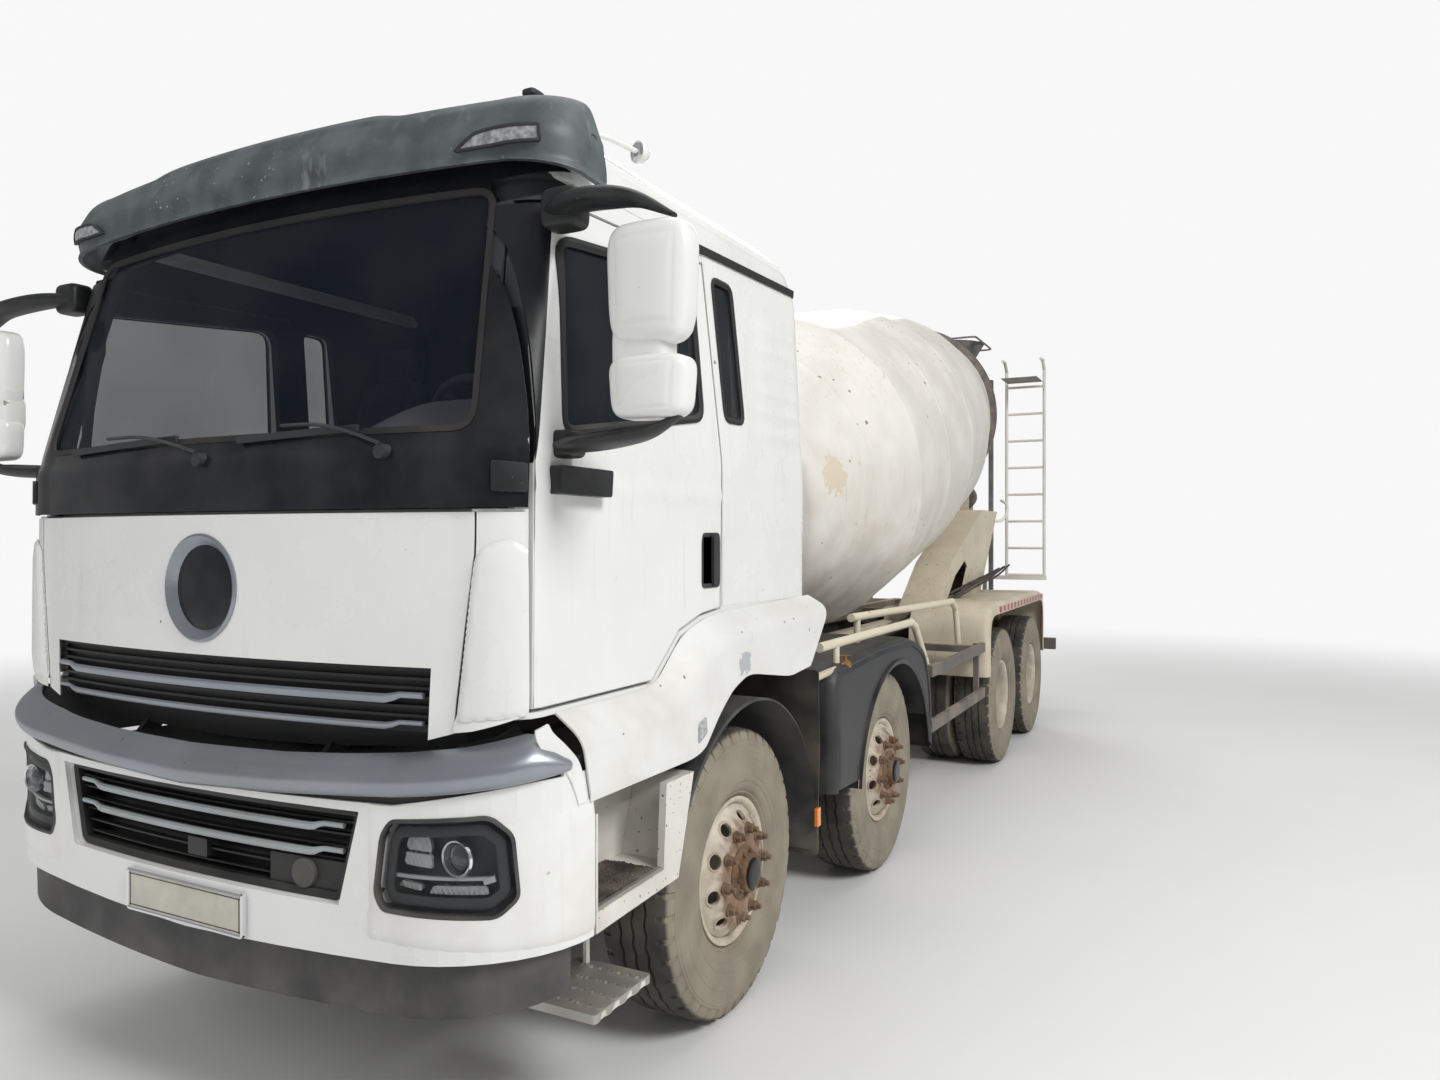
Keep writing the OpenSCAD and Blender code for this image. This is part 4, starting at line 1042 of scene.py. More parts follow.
def swap(outline: Sequence[tuple[float, float]]) -> Grid:
    """An outline mirrored in its first axis, kept counter-clockwise."""
    return (np.asarray(outline, float) * [-1, 1])[::-1]


@dataclass
class Cab:
    """Painted skins, glass and trim of the cab, laid over its CAD shell."""

    door: tuple = ((0.231, 1.359), (0.838, 1.359), (1.029, 1.512), (1.190, 1.556), (1.335, 1.569),
                   (1.347, 2.110), (1.259, 2.822), (0.315, 2.787), (0.239, 2.042))
    door_window: tuple = ((0.356, 2.116), (1.218, 2.246), (1.180, 2.770), (0.376, 2.692))
    quarter_window: tuple = ((1.392, 2.262), (1.560, 2.266), (1.500, 2.796), (1.330, 2.796))
    screen: tuple = ((-1.0, 2.12), (1.0, 2.12), (0.93, 2.85), (-0.93, 2.85))
    rear_window: tuple = ((0.27, 2.25), (0.69, 2.25), (0.69, 2.70), (0.27, 2.70))
    belt: float = 1.903
    roof_seam: tuple = (2.872, 2.90)
    louvre_box: tuple = (1.66, 2.12, 2.22, 2.74)
    louvres: int = 6
    side_start: float = 0.262
    door_corner: float = 0.06
    quarter_corner: float = 0.045
    screen_corner: float = 0.07
    pane: float = 0.004
    badge_at: float = 1.67
    badge_radius: float = 0.16
    crown_from: float = 3.112
    crown: float = 0.028

    def build(self) -> None:
        """Builds every cab piece in order."""
        self.dress_shell()
        self.side_panels()
        self.rear_wall()
        self.roof()
        self.screen_surround()
        self.front_panel()
        self.corner_deflectors()
        for side in Side:
            self.door_skin(side)
            self.side_glass(side)
        self.windscreen()
        self.wipers()

    def dress_shell(self) -> None:
        """Gives the CAD shell its paint and lining; it shows inside and in the gaps."""
        wear_finish("cab_shell", SHELL_PAINT)

    def side_relief(self, wrap: Grid, z: Grid) -> Grid:
        """Pressed louvres in the rear quarter and a shallow band along the lower side.

        A louvre's section is a smooth hump that fades at both ends of the row.
        """
        y = self.side_y(wrap)
        y0, y1, z0, z1 = self.louvre_box
        along = soft_step(y, y0 - 0.04, y0 + 0.12) * (1 - soft_step(y, y1 - 0.02, y1 + 0.04))
        turn = np.clip((z - z0) / (z1 - z0), 0, 1) * self.louvres
        saw = turn - np.floor(turn)
        hump = np.sin(math.pi * saw ** 0.7) * ((z > z0) & (z < z1))
        band = soft_step(z, 1.545, 1.56) * (1 - soft_step(z, 1.83, 1.85))
        return 0.0095 * along * hump - 0.0028 * band * soft_step(y, 1.36, 1.37)

    def side_y(self, wrap: Grid) -> Grid:
        """Distance back of a wrap on the cab's straight side."""
        s1, s2 = SKIN.stops[1], SKIN.stops[2]
        return self.side_start + (wrap - s1) / (s2 - s1) * SKIN.side_span

    def side_panels(self) -> None:
        """The sheet behind each door, round the rear corner, with its quarter window."""
        rear_edge = SKIN.stops[3] + 0.02
        for side in Side:
            low, middle, high = (1.352, 1.569), (1.356, 2.112), (1.266, 2.868)
            ring = SKIN.from_side(np.array([low, (2.10, 1.560), (2.10, self.roof_seam[1]), high, middle]), side)
            corner = (ring[:, 0] * side.value) > SKIN.stops[2] - 0.08
            ring[corner, 0] = side.value * rear_edge
            hole = SKIN.from_side(rounded(self.quarter_window, self.quarter_corner), side)
            part = patch(ring, SKIN.lifted(LIFT, self.side_relief), 0.02, [hole])
            piece(f"Side_panel_{side.word}", thickened(part, WALL), "cab", WHITE, bevel=0.0015)
            seal = np.array([(-0.018, -0.004), (0.004, -0.004), (0.006, 0.004), (-0.004, 0.008), (-0.018, 0.001)])
            piece(f"Quarter_seal_{side.word}", ring_bar(hole, SKIN.lifted(LIFT), seal), "cab", RUBBER)

    def rear_wall(self) -> None:
        """The cab's rear sheet with two windows and pressed ribs."""
        edge = SKIN.stops[3] + 0.026
        for side in Side:
            last = SKIN.stops[3] + SKIN.half_widths[0] - SKIN.rear_radius
            ring = np.array([(edge, 1.566), (last, 1.566), (last, 2.86), (edge, 2.86)]) * [side.value, 1]
            x = lambda w: last - np.asarray(w)
            hole = rounded([(last - a, z) for a, z in self.rear_window], 0.05) * [side.value, 1]
            ribs = lambda w, z: 0.006 * np.sin(np.clip((z - 1.62) / 0.5, 0, 1) * 4 * math.pi) ** 2 * (x(w) < 0.98)
            part = patch(ring, SKIN.lifted(LIFT, ribs), 0.03, [hole])
            piece(f"Rear_wall_{side.word}", thickened(part, WALL), "cab", WHITE)
            pane = patch(hole, SKIN.lifted(-0.009), 0.06)
            piece(f"Rear_pane_{side.word}", thickened(pane, self.pane), "cab", WINDOW)

    def roof(self) -> None:
        """The raised roof: rings up the cab's skin, then shrunk to a crowned middle.

        Past the rear corner, wrap is scaled by the half width there, so each ring
        closes on the middle line.
        """
        seam = self.roof_seam
        corner, straight = SKIN.stops[3], SKIN.half_widths[0] - SKIN.rear_radius
        wrap = np.linspace(-corner - straight, corner + straight, 260, endpoint=False)
        low = np.interp(np.abs(wrap), [1.02, 1.20, 1.201, 3.0], (2.952, 2.905, 2.872, seam[1]))
        rise = np.linspace(0, 1, 22)[:, None]
        z = low + (self.crown_from - low) * rise
        past = np.maximum(np.abs(wrap) - corner, 0) * (SKIN.level(z)[1] - SKIN.rear_radius) / straight
        around = np.sign(wrap) * (np.minimum(np.abs(wrap), corner) + past)
        sides = SKIN.point(around, z) + SKIN.normal(around, z) * LIFT
        centre = sides[-1].mean(0)
        shrink = np.cos(np.linspace(0.05, math.pi / 2, 14))[1:-1, None, None]
        cap = centre + (sides[-1] - centre) * shrink
        cap[..., 2] = self.crown_from + self.crown * (1 - shrink[..., 0] ** 2) ** 0.8
        grid = np.concatenate([sides, cap])
        faces = [tuple(f) for f in grid_faces(len(grid), len(wrap), wrap=True)]
        pole = len(grid) * len(wrap)
        verts = np.vstack([grid.reshape(-1, 3), [[*centre[:2], self.crown_from + self.crown]]])
        faces += [(pole - len(wrap) + i, pole - len(wrap) + (i + 1) % len(wrap), pole) for i in range(len(wrap))]
        piece("Roof", thickened((verts, faces), 0.006), "cab", WHITE, smooth_angle=50)
        for side in Side:
            w = np.linspace(SKIN.stops[1] + 0.70, SKIN.stops[3] - 0.03, 40)
            height = np.interp(w, [w[0], w[-1]], (2.872, 2.908))
            path = SKIN.lifted(LIFT + 0.002)(w * side.value, height)
            strip = np.array([(-0.010, -0.012), (0.010, -0.012), (0.012, 0.014), (-0.010, 0.018)])
            piece(f"Drip_strip_{side.word}", sweep(path, strip), "cab", RUBBER)

    def screen_surround(self) -> None:
        """The gloss black band below the windscreen, its pillars and header."""
        edge = [(0.219, self.belt + 0.004), (0.223, 2.042), (0.300, 2.786), (0.316, 2.868)]
        side_ring = self.side_edge(edge)
        across = np.concatenate([np.linspace(1.195, 1.02, 8), np.linspace(1.0, -1.0, 50),
                                 np.linspace(-1.02, -1.195, 8)])
        top = np.stack([across, np.interp(np.abs(across), [1.02, 1.20], (2.950, 2.902))], -1)
        low = np.stack([np.linspace(-side_ring[0, 0], side_ring[0, 0], 60), np.full(60, self.belt + 0.004)], -1)[1:-1]
        ring = np.vstack([side_ring, top, (side_ring * [-1, 1])[::-1], low])
        hole = SKIN.from_front(rounded(self.screen, self.screen_corner))
        crease = lambda w, z: 0.012 * (1 - soft_step(z, 2.05, 2.10))
        part = patch(ring, SKIN.lifted(LIFT, crease), 0.02, [hole])
        piece("Screen_surround", thickened(part, WALL), "cab", GLOSS_BLACK, replaces=("screen_frame",), bevel=0.002)
        seal = np.array([(-0.020, -0.006), (0.002, -0.006), (0.002, 0.003), (-0.018, 0.001)])
        piece("Screen_seal", ring_bar(hole, SKIN.lifted(LIFT), seal), "cab", RUBBER)

    def side_edge(self, edge: Sequence[tuple[float, float]]) -> Grid:
        """(wrap, height) of an open line given in (distance back, height) on the left side."""
        pts = np.vstack([a + (np.array(b) - a) * np.linspace(0, 1, 12, endpoint=False)[:, None]
                         for a, b in zip(map(np.array, edge), edge[1:])] + [np.array([edge[-1]])])
        return np.stack([SKIN.wrap_at(*pts.T), pts[:, 1]], -1)

    def front_panel(self) -> None:
        """The opening front panel with its grille notch, badge recess and a soft crown."""
        low, notch, notch_top = 1.265, 0.885, 1.464
        edge = self.panel_edge()
        foot = notch - 0.022
        ring = np.vstack([[(foot, low)], edge, (edge * [-1, 1])[::-1], [(-foot, low), (-notch + 0.012, notch_top),
                                                                        (notch - 0.012, notch_top)]])
        dish = rounded([(self.badge_radius * math.cos(t), self.badge_at + self.badge_radius * math.sin(t))
                        for t in np.linspace(0, 2 * math.pi, 48, False)], 0.005)
        crown = lambda w, z: 0.010 * np.cos(np.clip(w / 0.985, 0, 1) * math.pi / 2) * soft_step(z, 1.27, 1.4)
        surface = SKIN.lifted(LIFT, crown)
        part = patch(resampled(ring, 0.02), surface, 0.022, [SKIN.from_front(dish)])
        piece("Front_panel", thickened(part, WALL), "front_flap", WHITE, replaces=("front_flap",), bevel=0.0015)
        bezel = np.array([(-0.030, -0.020), (-0.006, 0.006), (0.0, 0.009), (0.008, 0.004), (0.008, -0.004)])
        rim = ring_bar(SKIN.from_front(dish), surface, bezel)
        piece("Badge_ring", rim, "front_flap", SILVER)
        dome = lambda w, z: 0.012 * np.sqrt(np.clip(1 - (w ** 2 + (z - self.badge_at) ** 2) / 0.024, 0, 1))
        disc = patch(SKIN.from_front(dish * 0.9 + np.array([0, 0.167])), SKIN.lifted(-0.008, dome), 0.02)
        piece("Badge_blank", thickened(disc, 0.004), "front_flap", GLOSS_BLACK)

    def panel_edge(self) -> Grid:
        """(wrap, height) of the front panel's left edge, which follows the corner deflector."""
        line = curve_through([(0.944, 1.288), (0.948, 1.34), (0.960, 1.45), (0.976, 1.60), (0.990, 1.72),
                              (0.996, 1.78)], 6)
        return np.vstack([line, [(0.997, 1.82), (0.997, self.belt - 0.008)]])

    def corner_deflectors(self) -> None:
        """The corner sheets, and on each a raised air deflector with a crisp edge.

        The deflector's height is a short rounding at its border and a slow rise inward.
        A black strip under the gap between the corner and the front panel is painted shade: it darkens the groove.
        """
        edge = self.side_edge([(0.217, 1.345), (0.219, 1.885)])
        seam = self.panel_edge()
        left = curve_through([(0.956, 1.320), (0.963, 1.386), (0.979, 1.55), (0.994, 1.71), (1.003, 1.770),
                              (1.030, 1.802), (1.09, 1.820)], 6)
        top = edge[edge[:, 1] < 1.838]
        open_line = np.vstack([top[-1:], left[::-1], top[:1]])
        spans = np.linspace(0, len(open_line) - 1, 400)
        line = np.stack([np.interp(spans, range(len(open_line)), open_line[:, k]) for k in (0, 1)], -1)
        for side in Side:
            sign = [side.value, 1]
            ring = np.vstack([top - [0.002, 0], left[::-1]]) * sign

            def bulge(u: Grid, h: Grid) -> Grid:
                """Height over the skin from the distance to the border."""
                far = np.min(np.hypot(u[:, None] - line[:, 0], h[:, None] - line[:, 1]), axis=1)
                return 0.011 * np.sqrt(np.clip(far / 0.010, 0, 1)) + 0.005 * soft_step(far, 0, 0.08)

            part = patch(ring, SKIN.lifted(LIFT + 0.003, bulge), 0.012)
            piece(f"Corner_deflector_{side.word}", thickened(part, 0.012), "cab", WHITE, smooth_angle=40)
            low = [(1.000, 1.300), (1.070, 1.322), (edge[0, 0] - 0.004, 1.345)]
            under = np.vstack([seam[:1] + [0.0062, 0.003], low, [(edge[-1, 0] - 0.004, self.belt - 0.008)],
                               (seam + [0.0062, 0])[::-1][:-1]]) * sign
            lip = lambda u, h: 0.009 * (1 - soft_step(h, 1.318 + 0.18 * (u - 0.95), 1.338 + 0.18 * (u - 0.95)))
            corner = patch(under, SKIN.lifted(LIFT, lip), 0.014)
            piece(f"Corner_sheet_{side.word}", thickened(corner, WALL), "cab", WHITE)
            block = np.array([(1.045, 1.950), (1.134, 1.947), (1.134, 2.026), (1.045, 2.034)]) * sign
            pad = thickened(patch(rounded(block, 0.008), SKIN.lifted(0.026), 0.012), 0.024)
            piece(f"Pillar_block_{side.word}", pad, "cab", MIRROR_BLACK, bevel=0.004)
            # Painted shade: the black strip under the seam darkens the groove as if in shadow.
            band = np.vstack([seam - [0.004, 0], (seam + [0.008, 0])[::-1]]) * sign
            piece(f"Corner_seam_{side.word}", thickened(patch(band, SKIN.lifted(0.002), 0.02), 0.001), "cab", GRILLE_BLACK_AND_SHADE)

    def door_relief(self, wrap: Grid, z: Grid) -> Grid:
        """Two pressed lines on the door: below the window and along the lower side."""
        line = lambda at, size: size * (soft_step(z, at - 0.012, at) - soft_step(z, at, at + 0.05))
        band = soft_step(z, 1.37, 1.39) * (1 - soft_step(z, 1.80, 1.83))
        return line(1.965, 0.006) - 0.0028 * band

    def door_skin(self, side: Side) -> None:
        """A door's painted sheet with its window opening, handle bowl, seals and side block."""
        name, body = side.word, f"door_{side.word}"
        hole = SKIN.from_side(rounded(self.door_window, self.door_corner), side)
        bowl = SKIN.from_side(rectangle(1.196, 1.645, 1.326, 1.838, 0.018), side)
        part = patch(SKIN.from_side(np.array(self.door), side), SKIN.lifted(LIFT, self.door_relief), 0.022,
                     [hole, bowl])
        piece(f"Door_skin_{name}", thickened(part, WALL), body, DOOR_PAINT, bevel=0.0015)
        wear_finish(f"door_{name}", SHELL_PAINT)
        seal = np.array([(-0.024, -0.006), (0.003, -0.006), (0.004, 0.005), (-0.010, 0.008), (-0.024, 0.001)])
        piece(f"Door_seal_{name}", ring_bar(hole, SKIN.lifted(LIFT), seal), body, RUBBER)
        cup = np.array([(0.0, 0.002), (0.004, 0.002), (0.002, -0.004), (-0.012, -0.004), (-0.006, 0.0)])
        rim = ring_bar(bowl, SKIN.lifted(LIFT), cup, 0.01)
        grip = patch(SKIN.from_side(rectangle(1.266, 1.652, 1.300, 1.831, 0.008), side), SKIN.lifted(0.016), 0.01)
        floor = patch(bowl, SKIN.lifted(), 0.012)
        piece(f"Door_handle_{name}", joined([rim, thickened(grip, 0.012), thickened(floor, 0.003)]), body, PLASTIC)
        block = SKIN.from_side(rounded([(0.288, 1.946), (0.540, 1.944), (0.548, 2.024), (0.290, 2.026)], 0.01), side)
        piece(f"Door_block_{name}", thickened(patch(block, SKIN.lifted(0.048), 0.02), 0.046), body, MIRROR_BLACK,
              bevel=0.006)

    def side_glass(self, side: Side) -> None:
        """The door's pane and the quarter pane."""
        name = side.word
        pane = patch(SKIN.from_side(rounded(self.door_window, self.door_corner), side), SKIN.lifted(-0.006), 0.05)
        piece(f"Door_pane_{name}", thickened(pane, self.pane), f"door_{name}", WINDOW,
              replaces=(f"door_glass_{name}",))
        quarter = patch(SKIN.from_side(rounded(self.quarter_window, self.quarter_corner), side), SKIN.lifted(-0.004),
                        0.05)
        piece(f"Quarter_pane_{name}", thickened(quarter, self.pane), "cab", WINDOW)

    def windscreen(self) -> None:
        """The bowed windscreen."""
        pane = patch(SKIN.from_front(rounded(self.screen, self.screen_corner)), SKIN.lifted(-0.004), 0.04)
        piece("Windscreen", thickened(pane, 0.005), "cab", SCREEN, replaces=("cab_glass",))

    def wipers(self) -> None:
        """Two parked wipers: a bent arm, a blade and its rubber, following the glass."""
        for i, (root, tip) in enumerate(((0.0, -0.76), (0.72, 0.16))):
            w = np.linspace(root, tip, 24)
            t = (w - root) / (tip - root)
            lie = lambda rise, height: SKIN.lifted(rise)(w, height)
            climb = 2.084 + 0.062 * np.sin(np.minimum(t * 1.9, 1.0) * math.pi * 0.5)
            arm = sweep(lie(0.034, climb)[:16], circle(0.007, 8) * [1.4, 0.8])
            section = np.array([(-0.004, -0.010), (0.004, -0.010), (0.008, 0.010), (-0.008, 0.010)])
            blade = sweep(lie(0.018, 2.138 - 0.022 * t)[4:], section)
            hub = sweep(SKIN.lifted(0.005)(np.full(2, root), np.array([2.066, 2.067])) + [[0, 0, 0], [0, -0.03, 0]],
                        circle(0.022, 16), up=(1, 0, 0))
            piece(f"Wiper_{i + 1}", joined([arm, blade, hub]), "cab", PLASTIC)


def wear_finish(node: str, finish: Finish) -> None:
    """Gives a carried-over CAD node its finish."""
    mesh = frame["nodes"][node].data
    mesh.materials.clear()
    mesh.materials.append(finish.material)
    log.info("%s: CAD node in %s", node, finish.name)


# ---------------------------------------------------------------- front end


@dataclass
class BumperSkin:
    """The bumper's outer surface as a function of wrap and height.

    The plan is a slightly bowed front, then a quarter of an ellipse back to the side.
    The lower edge tucks in along a parabola.
    """

    half_width: float = 1.240
    front_span: float = 0.800
    corner_span: float = 0.620
    bow: float = 0.050
    corner_x: float = 0.440
    corner_y: float = 0.328
    front: float = 0.002
    tuck: float = 0.9
    tuck_below: float = 0.74
    tuck_scale: float = 0.10

    def point(self, wrap: Grid, z: Grid, rise: Grid | float = 0.0) -> Grid:
        """Points at arrays of wrap and height, moved out by rise."""
        wrap, z = np.broadcast_arrays(np.asarray(wrap, float), np.asarray(z, float))
        w = np.abs(wrap)
        a = np.clip((w - self.front_span) / self.corner_span, 0, 1) * math.pi / 2
        past = np.maximum(w - self.front_span - self.corner_span, 0)
        in_front = w < self.front_span
        x = np.where(in_front, w, self.front_span + self.corner_x * np.sin(a))
        y = np.where(in_front, self.front + self.bow * (w / self.front_span) ** 2,
                     self.front + self.bow + self.corner_y * (1 - np.cos(a)) + past)
        nx = np.where(in_front, 2 * self.bow * w / self.front_span**2, np.sin(a) * self.corner_y)
        ny = np.where(in_front, -1.0, -np.cos(a) * self.corner_x)
        size = np.hypot(nx, ny)
        tuck = self.tuck * np.clip(self.tuck_below - z, 0, None) ** 2 / self.tuck_scale
        out = np.asarray(rise) - tuck
        return np.stack([np.sign(wrap) * (x + nx / size * out), back(y + ny / size * out), z], -1)

    def lifted(self, rise: float = 0.0, relief: Surface | None = None) -> Surface:
        """The surface moved out by a rise and a relief."""
        def surface(wrap: Grid, z: Grid) -> Grid:
            """Points of the raised surface."""
            return self.point(wrap, z, rise + (relief(np.abs(wrap), z) if relief else 0.0) * np.ones_like(z))
        return surface

    def from_front(self, outline: Sequence[tuple[float, float]]) -> Grid:
        """Turns an outline in (x, height) seen from the front into (wrap, height)."""
        ring = resampled(np.asarray(outline, float), 0.02)
        x = np.abs(ring[:, 0])
        lean = np.arcsin(np.clip((x - self.front_span) / self.corner_x, 0, 1))
        w = np.where(x < self.front_span, x, self.front_span + lean / (math.pi / 2) * self.corner_span)
        return np.stack([np.sign(ring[:, 0]) * w, ring[:, 1]], -1)


BUMPER = BumperSkin()
BUMPER_LIFT = 0.004


@dataclass
class FrontEnd:
    """Bumper, silver blade, grilles, head lamps and valance."""

    lamp: tuple = ((0.772, 0.806), (0.748, 0.850), (0.770, 1.010), (0.800, 1.052), (1.080, 1.078), (1.128, 1.030),
                   (1.140, 0.860), (1.096, 0.812))
    grille: tuple = ((-0.620, 0.798), (0.620, 0.798), (0.690, 1.066), (-0.690, 1.066))
    blade_end: float = 1.303
    shelf_spans: tuple = ((-1.27, -0.47), (-0.40, 0.40), (0.47, 1.27))
    blade_stations: tuple = (0.0, 0.4, 0.8, 1.0, 1.1, 1.19, 1.25, 1.303)
    blade_foot: tuple = (1.088, 1.104, 1.128, 1.154, 1.167, 1.180, 1.188, 1.197)
    blade_crest: tuple = (1.190, 1.198, 1.222, 1.248, 1.266, 1.284, 1.254, 1.212)
    blade_low: tuple = (1.080, 1.094, 1.168, 1.180)
    foot: tuple = (0.641, 0.662, 0.700, 0.706)
    edge_stations: tuple = (0.0, 0.8, 1.25, 1.42)
    wrap_end: float = 1.42
    plate: tuple = (0.535, 0.120, 0.7175)
    grille_corner: float = 0.03
    lamp_corner: float = 0.02
    projector: tuple = (1.005, 0.962, -0.048)

    def build(self) -> None:
        """Builds the front end's pieces in order."""
        self.bumper()
        self.blade()
        self.lower_grille()
        self.upper_grille()
        self.valance()
        self.plate_carrier()
        for side in Side:
            self.head_lamp(side)

    def edge(self, wrap: Grid, heights: tuple) -> Grid:
        """Height of an edge that is given at four stations of the wrap."""
        return np.interp(np.abs(wrap), self.edge_stations, heights)

    def bumper(self) -> None:
        """The white bumper: one skin with openings for grille and lamps, and a raised step round them."""
        w = np.linspace(-self.wrap_end, self.wrap_end, 90)
        top = np.stack([w[::-1], self.edge(w[::-1], self.blade_low) - 0.002], -1)
        low = np.stack([w, self.edge(w, self.foot)], -1)
        grille = BUMPER.from_front(rounded(self.grille, self.grille_corner))
        lamps = [BUMPER.from_front(rounded(o, self.lamp_corner)) for o in (self.lamp, swap(self.lamp))]
        relief = lambda u, z: (-0.012 * (1 - soft_step(u, 0.70, 0.735)) * (1 - soft_step(z, 0.775, 0.80))
                               - 0.016 * (1 - soft_step(u, 0.692, 0.742)) * soft_step(z, 0.785, 0.80)
                               - 0.006 * soft_step(z, 1.02, 1.10) * soft_step(u, 0.78, 0.9))
        part = patch(np.vstack([low, top]), BUMPER.lifted(BUMPER_LIFT, relief), 0.018, [grille, *lamps])
        piece("Bumper_skin", thickened(part, 0.006), "chassis", WHITE, bevel=0.002)
        wear_finish("front_bumper", BUMPER_PAINT)
        lip = np.array([(0.002, 0.001), (-0.006, -0.012), (-0.014, -0.050), (-0.010, -0.052), (0.004, -0.012),
                        (0.010, 0.001), (0.006, 0.003)])
        piece("Grille_frame", ring_bar(grille, BUMPER.lifted(BUMPER_LIFT, relief), lip), "chassis", WHITE)
        for side, ring in zip(Side, lamps):
            collar = np.array([(-0.012, -0.030), (0.001, -0.028), (0.004, 0.003), (-0.006, 0.001)])
            piece(f"Lamp_collar_{side.word}", ring_bar(ring, BUMPER.lifted(BUMPER_LIFT), collar), "chassis", PLASTIC)

    def blade(self) -> None:
        """The silver blade: a nose and a sloping shelf whose section narrows to the corners.

        The section is a closed run of (share of the height, rise) pairs; height, foot and
        shelf depth are read off stations along the wrap.
        """
        w = np.linspace(-self.blade_end, self.blade_end, 150)[:, None]
        run = curve_through([(0.0, -0.004), (0.01, 0.010), (0.12, 0.019), (0.34, 0.023), (0.52, 0.016), (0.70, -0.002),
                             (0.88, -0.028), (1.0, -0.052)], 4).T[:, None, :]
        at = lambda heights: np.interp(np.abs(w), self.blade_stations, heights)
        low, top = at(self.blade_foot), at(self.blade_crest)
        thin = 1 - 0.45 * soft_step(np.abs(w), 1.12, self.blade_end)
        short = 0.60 + 0.40 * soft_step(np.abs(w), 0.60, 0.90)
        rise = np.where(run[1] < 0, run[1] * short, run[1]) * thin
        outer = BUMPER.point(w + 0 * run[0], low + (top - low) * run[0], rise)
        piece("Blade", thickened(sheet(outer), 0.010), "chassis", SILVER, replaces=("bumper_blade",), bevel=0.002)
        # Painted shade: the black shelves behind the blade and the black sheet in the gap under it stand for shadow.
        back_run = np.linspace(0, 1, 6)[None, :]
        shelves = []
        for start, end in self.shelf_spans:
            wide = np.linspace(start, end, 40)[:, None]
            top = np.interp(np.abs(wide), self.blade_stations, self.blade_crest)
            shelf = BUMPER.point(wide + 0 * back_run, top - 0.014 - 0.004 * back_run, -0.030 - 0.28 * back_run)
            shelves.append(thickened(sheet(shelf), 0.004))
        w = np.linspace(-1.40, 1.40, 90)
        low = np.stack([w, self.edge(w, self.blade_low) - 0.012], -1)
        high = np.stack([w[::-1], np.interp(np.abs(w[::-1]), self.blade_stations, self.blade_foot) + 0.022], -1)
        gap = patch(np.vstack([low, high]), BUMPER.lifted(-0.010), 0.02)
        piece("Blade_backing", joined([*shelves, thickened(gap, 0.004)]), "chassis", GRILLE_BLACK_AND_SHADE)
        for side in Side:
            line = curve_through([(1.232, 1.318), (1.245, 1.288), (1.285, 1.246), (1.330, 1.198), (1.352, 1.140),
                                  (1.362, 1.086)], 8)
            step = np.gradient(line, axis=0)
            out = np.stack([step[:, 1], -step[:, 0]], -1) / np.linalg.norm(step, axis=1, keepdims=True)
            t = np.linspace(0, 1, len(line))
            near = np.interp(t, (0, 0.4, 1), (0.004, 0.014, 0.018))
            far = np.interp(t, (0, 0.35, 0.7, 1), (0.040, 0.052, 0.036, 0.020))
            ring = np.vstack([line - out * near[:, None], (line + out * far[:, None])[::-1]]) * [side.value, 1]
            piece(f"Bumper_end_strip_{side.word}", thickened(patch(ring, BUMPER.lifted(BUMPER_LIFT), 0.01), 0.014),
                  "chassis", WHITE, bevel=0.003)

    def bar(self, half: float, z: float, depth: float, surface: Callable[..., Grid], size: tuple[float, float]) -> Mesh:
        """A grille bar that follows the front, with tapered, cranked ends."""
        w = np.linspace(-half, half, 70)
        end = soft_step(np.abs(w), half - 0.12, half - 0.07)
        path = surface(w, z + 0.012 * end, depth)
        taper = 1 - 0.35 * end
        section = np.array([(-1.0, 0.0), (-0.6, -0.8), (0.6, -1.0), (1.0, -0.3), (1.0, 0.5), (0.5, 1.0), (-0.6, 0.8)]
                           ) * size
        return sweep(path, section, scale=np.stack([taper, taper], -1))

    def lower_grille(self) -> None:
        """A deep black recess with slats, two pale bars, an inner frame and a round tow cover."""
        ring = BUMPER.from_front(rounded(self.grille, self.grille_corner))
        middle = np.array([0.0, 0.932])
        inner = middle + (ring - middle) * [0.975, 0.93]
        wall = patch(inner, BUMPER.lifted(-0.100), 0.05)
        box = np.array([(0.016, -0.104), (0.016, -0.026), (0.0, -0.022), (-0.014, -0.028), (-0.014, -0.044),
                        (-0.002, -0.104)])
        frame = ring_bar(inner, BUMPER.lifted(), box)
        slats = []
        for z in np.arange(0.834, 1.05, 0.036):
            half = np.interp(z, (0.798, 1.066), (0.595, 0.660))
            path = BUMPER.point(np.linspace(-half, half, 60), z, -0.062)
            slats.append(sweep(path, np.array([(-0.020, -0.006), (0.018, 0.002), (0.020, 0.008), (-0.018, 0.000)])))
        side_block = [(0.330, 0.812), (0.600, 0.812), (0.612, 0.905), (0.330, 0.905)]
        block = patch(BUMPER.from_front(side_block), BUMPER.lifted(-0.034), 0.02)
        piece("Lower_grille", joined([thickened(wall, 0.004), frame, *slats, thickened(block, 0.030)]), "chassis",
              GRILLE_BLACK_AND_SHADE, replaces=("lower_grille",), bevel=0.002)
        bars = [self.bar(0.615, z, -0.030, BUMPER.point, (0.011, 0.011)) for z in (1.000, 0.928)]
        piece("Lower_grille_bars", joined(bars), "chassis", BAR_SILVER)
        cup = patch(BUMPER.from_front(circle(0.042, 28) + [0.47, 0.862]), BUMPER.lifted(-0.018), 0.02)
        piece("Tow_cover", thickened(cup, 0.03), "chassis", PLASTIC, bevel=0.004)
        window = patch(BUMPER.from_front(rectangle(-0.03, 0.85, 0.06, 0.905, 0.006)), BUMPER.lifted(-0.030), 0.02)
        piece("Radar_blank", thickened(window, 0.02), "chassis", GLOSS_BLACK, bevel=0.002)

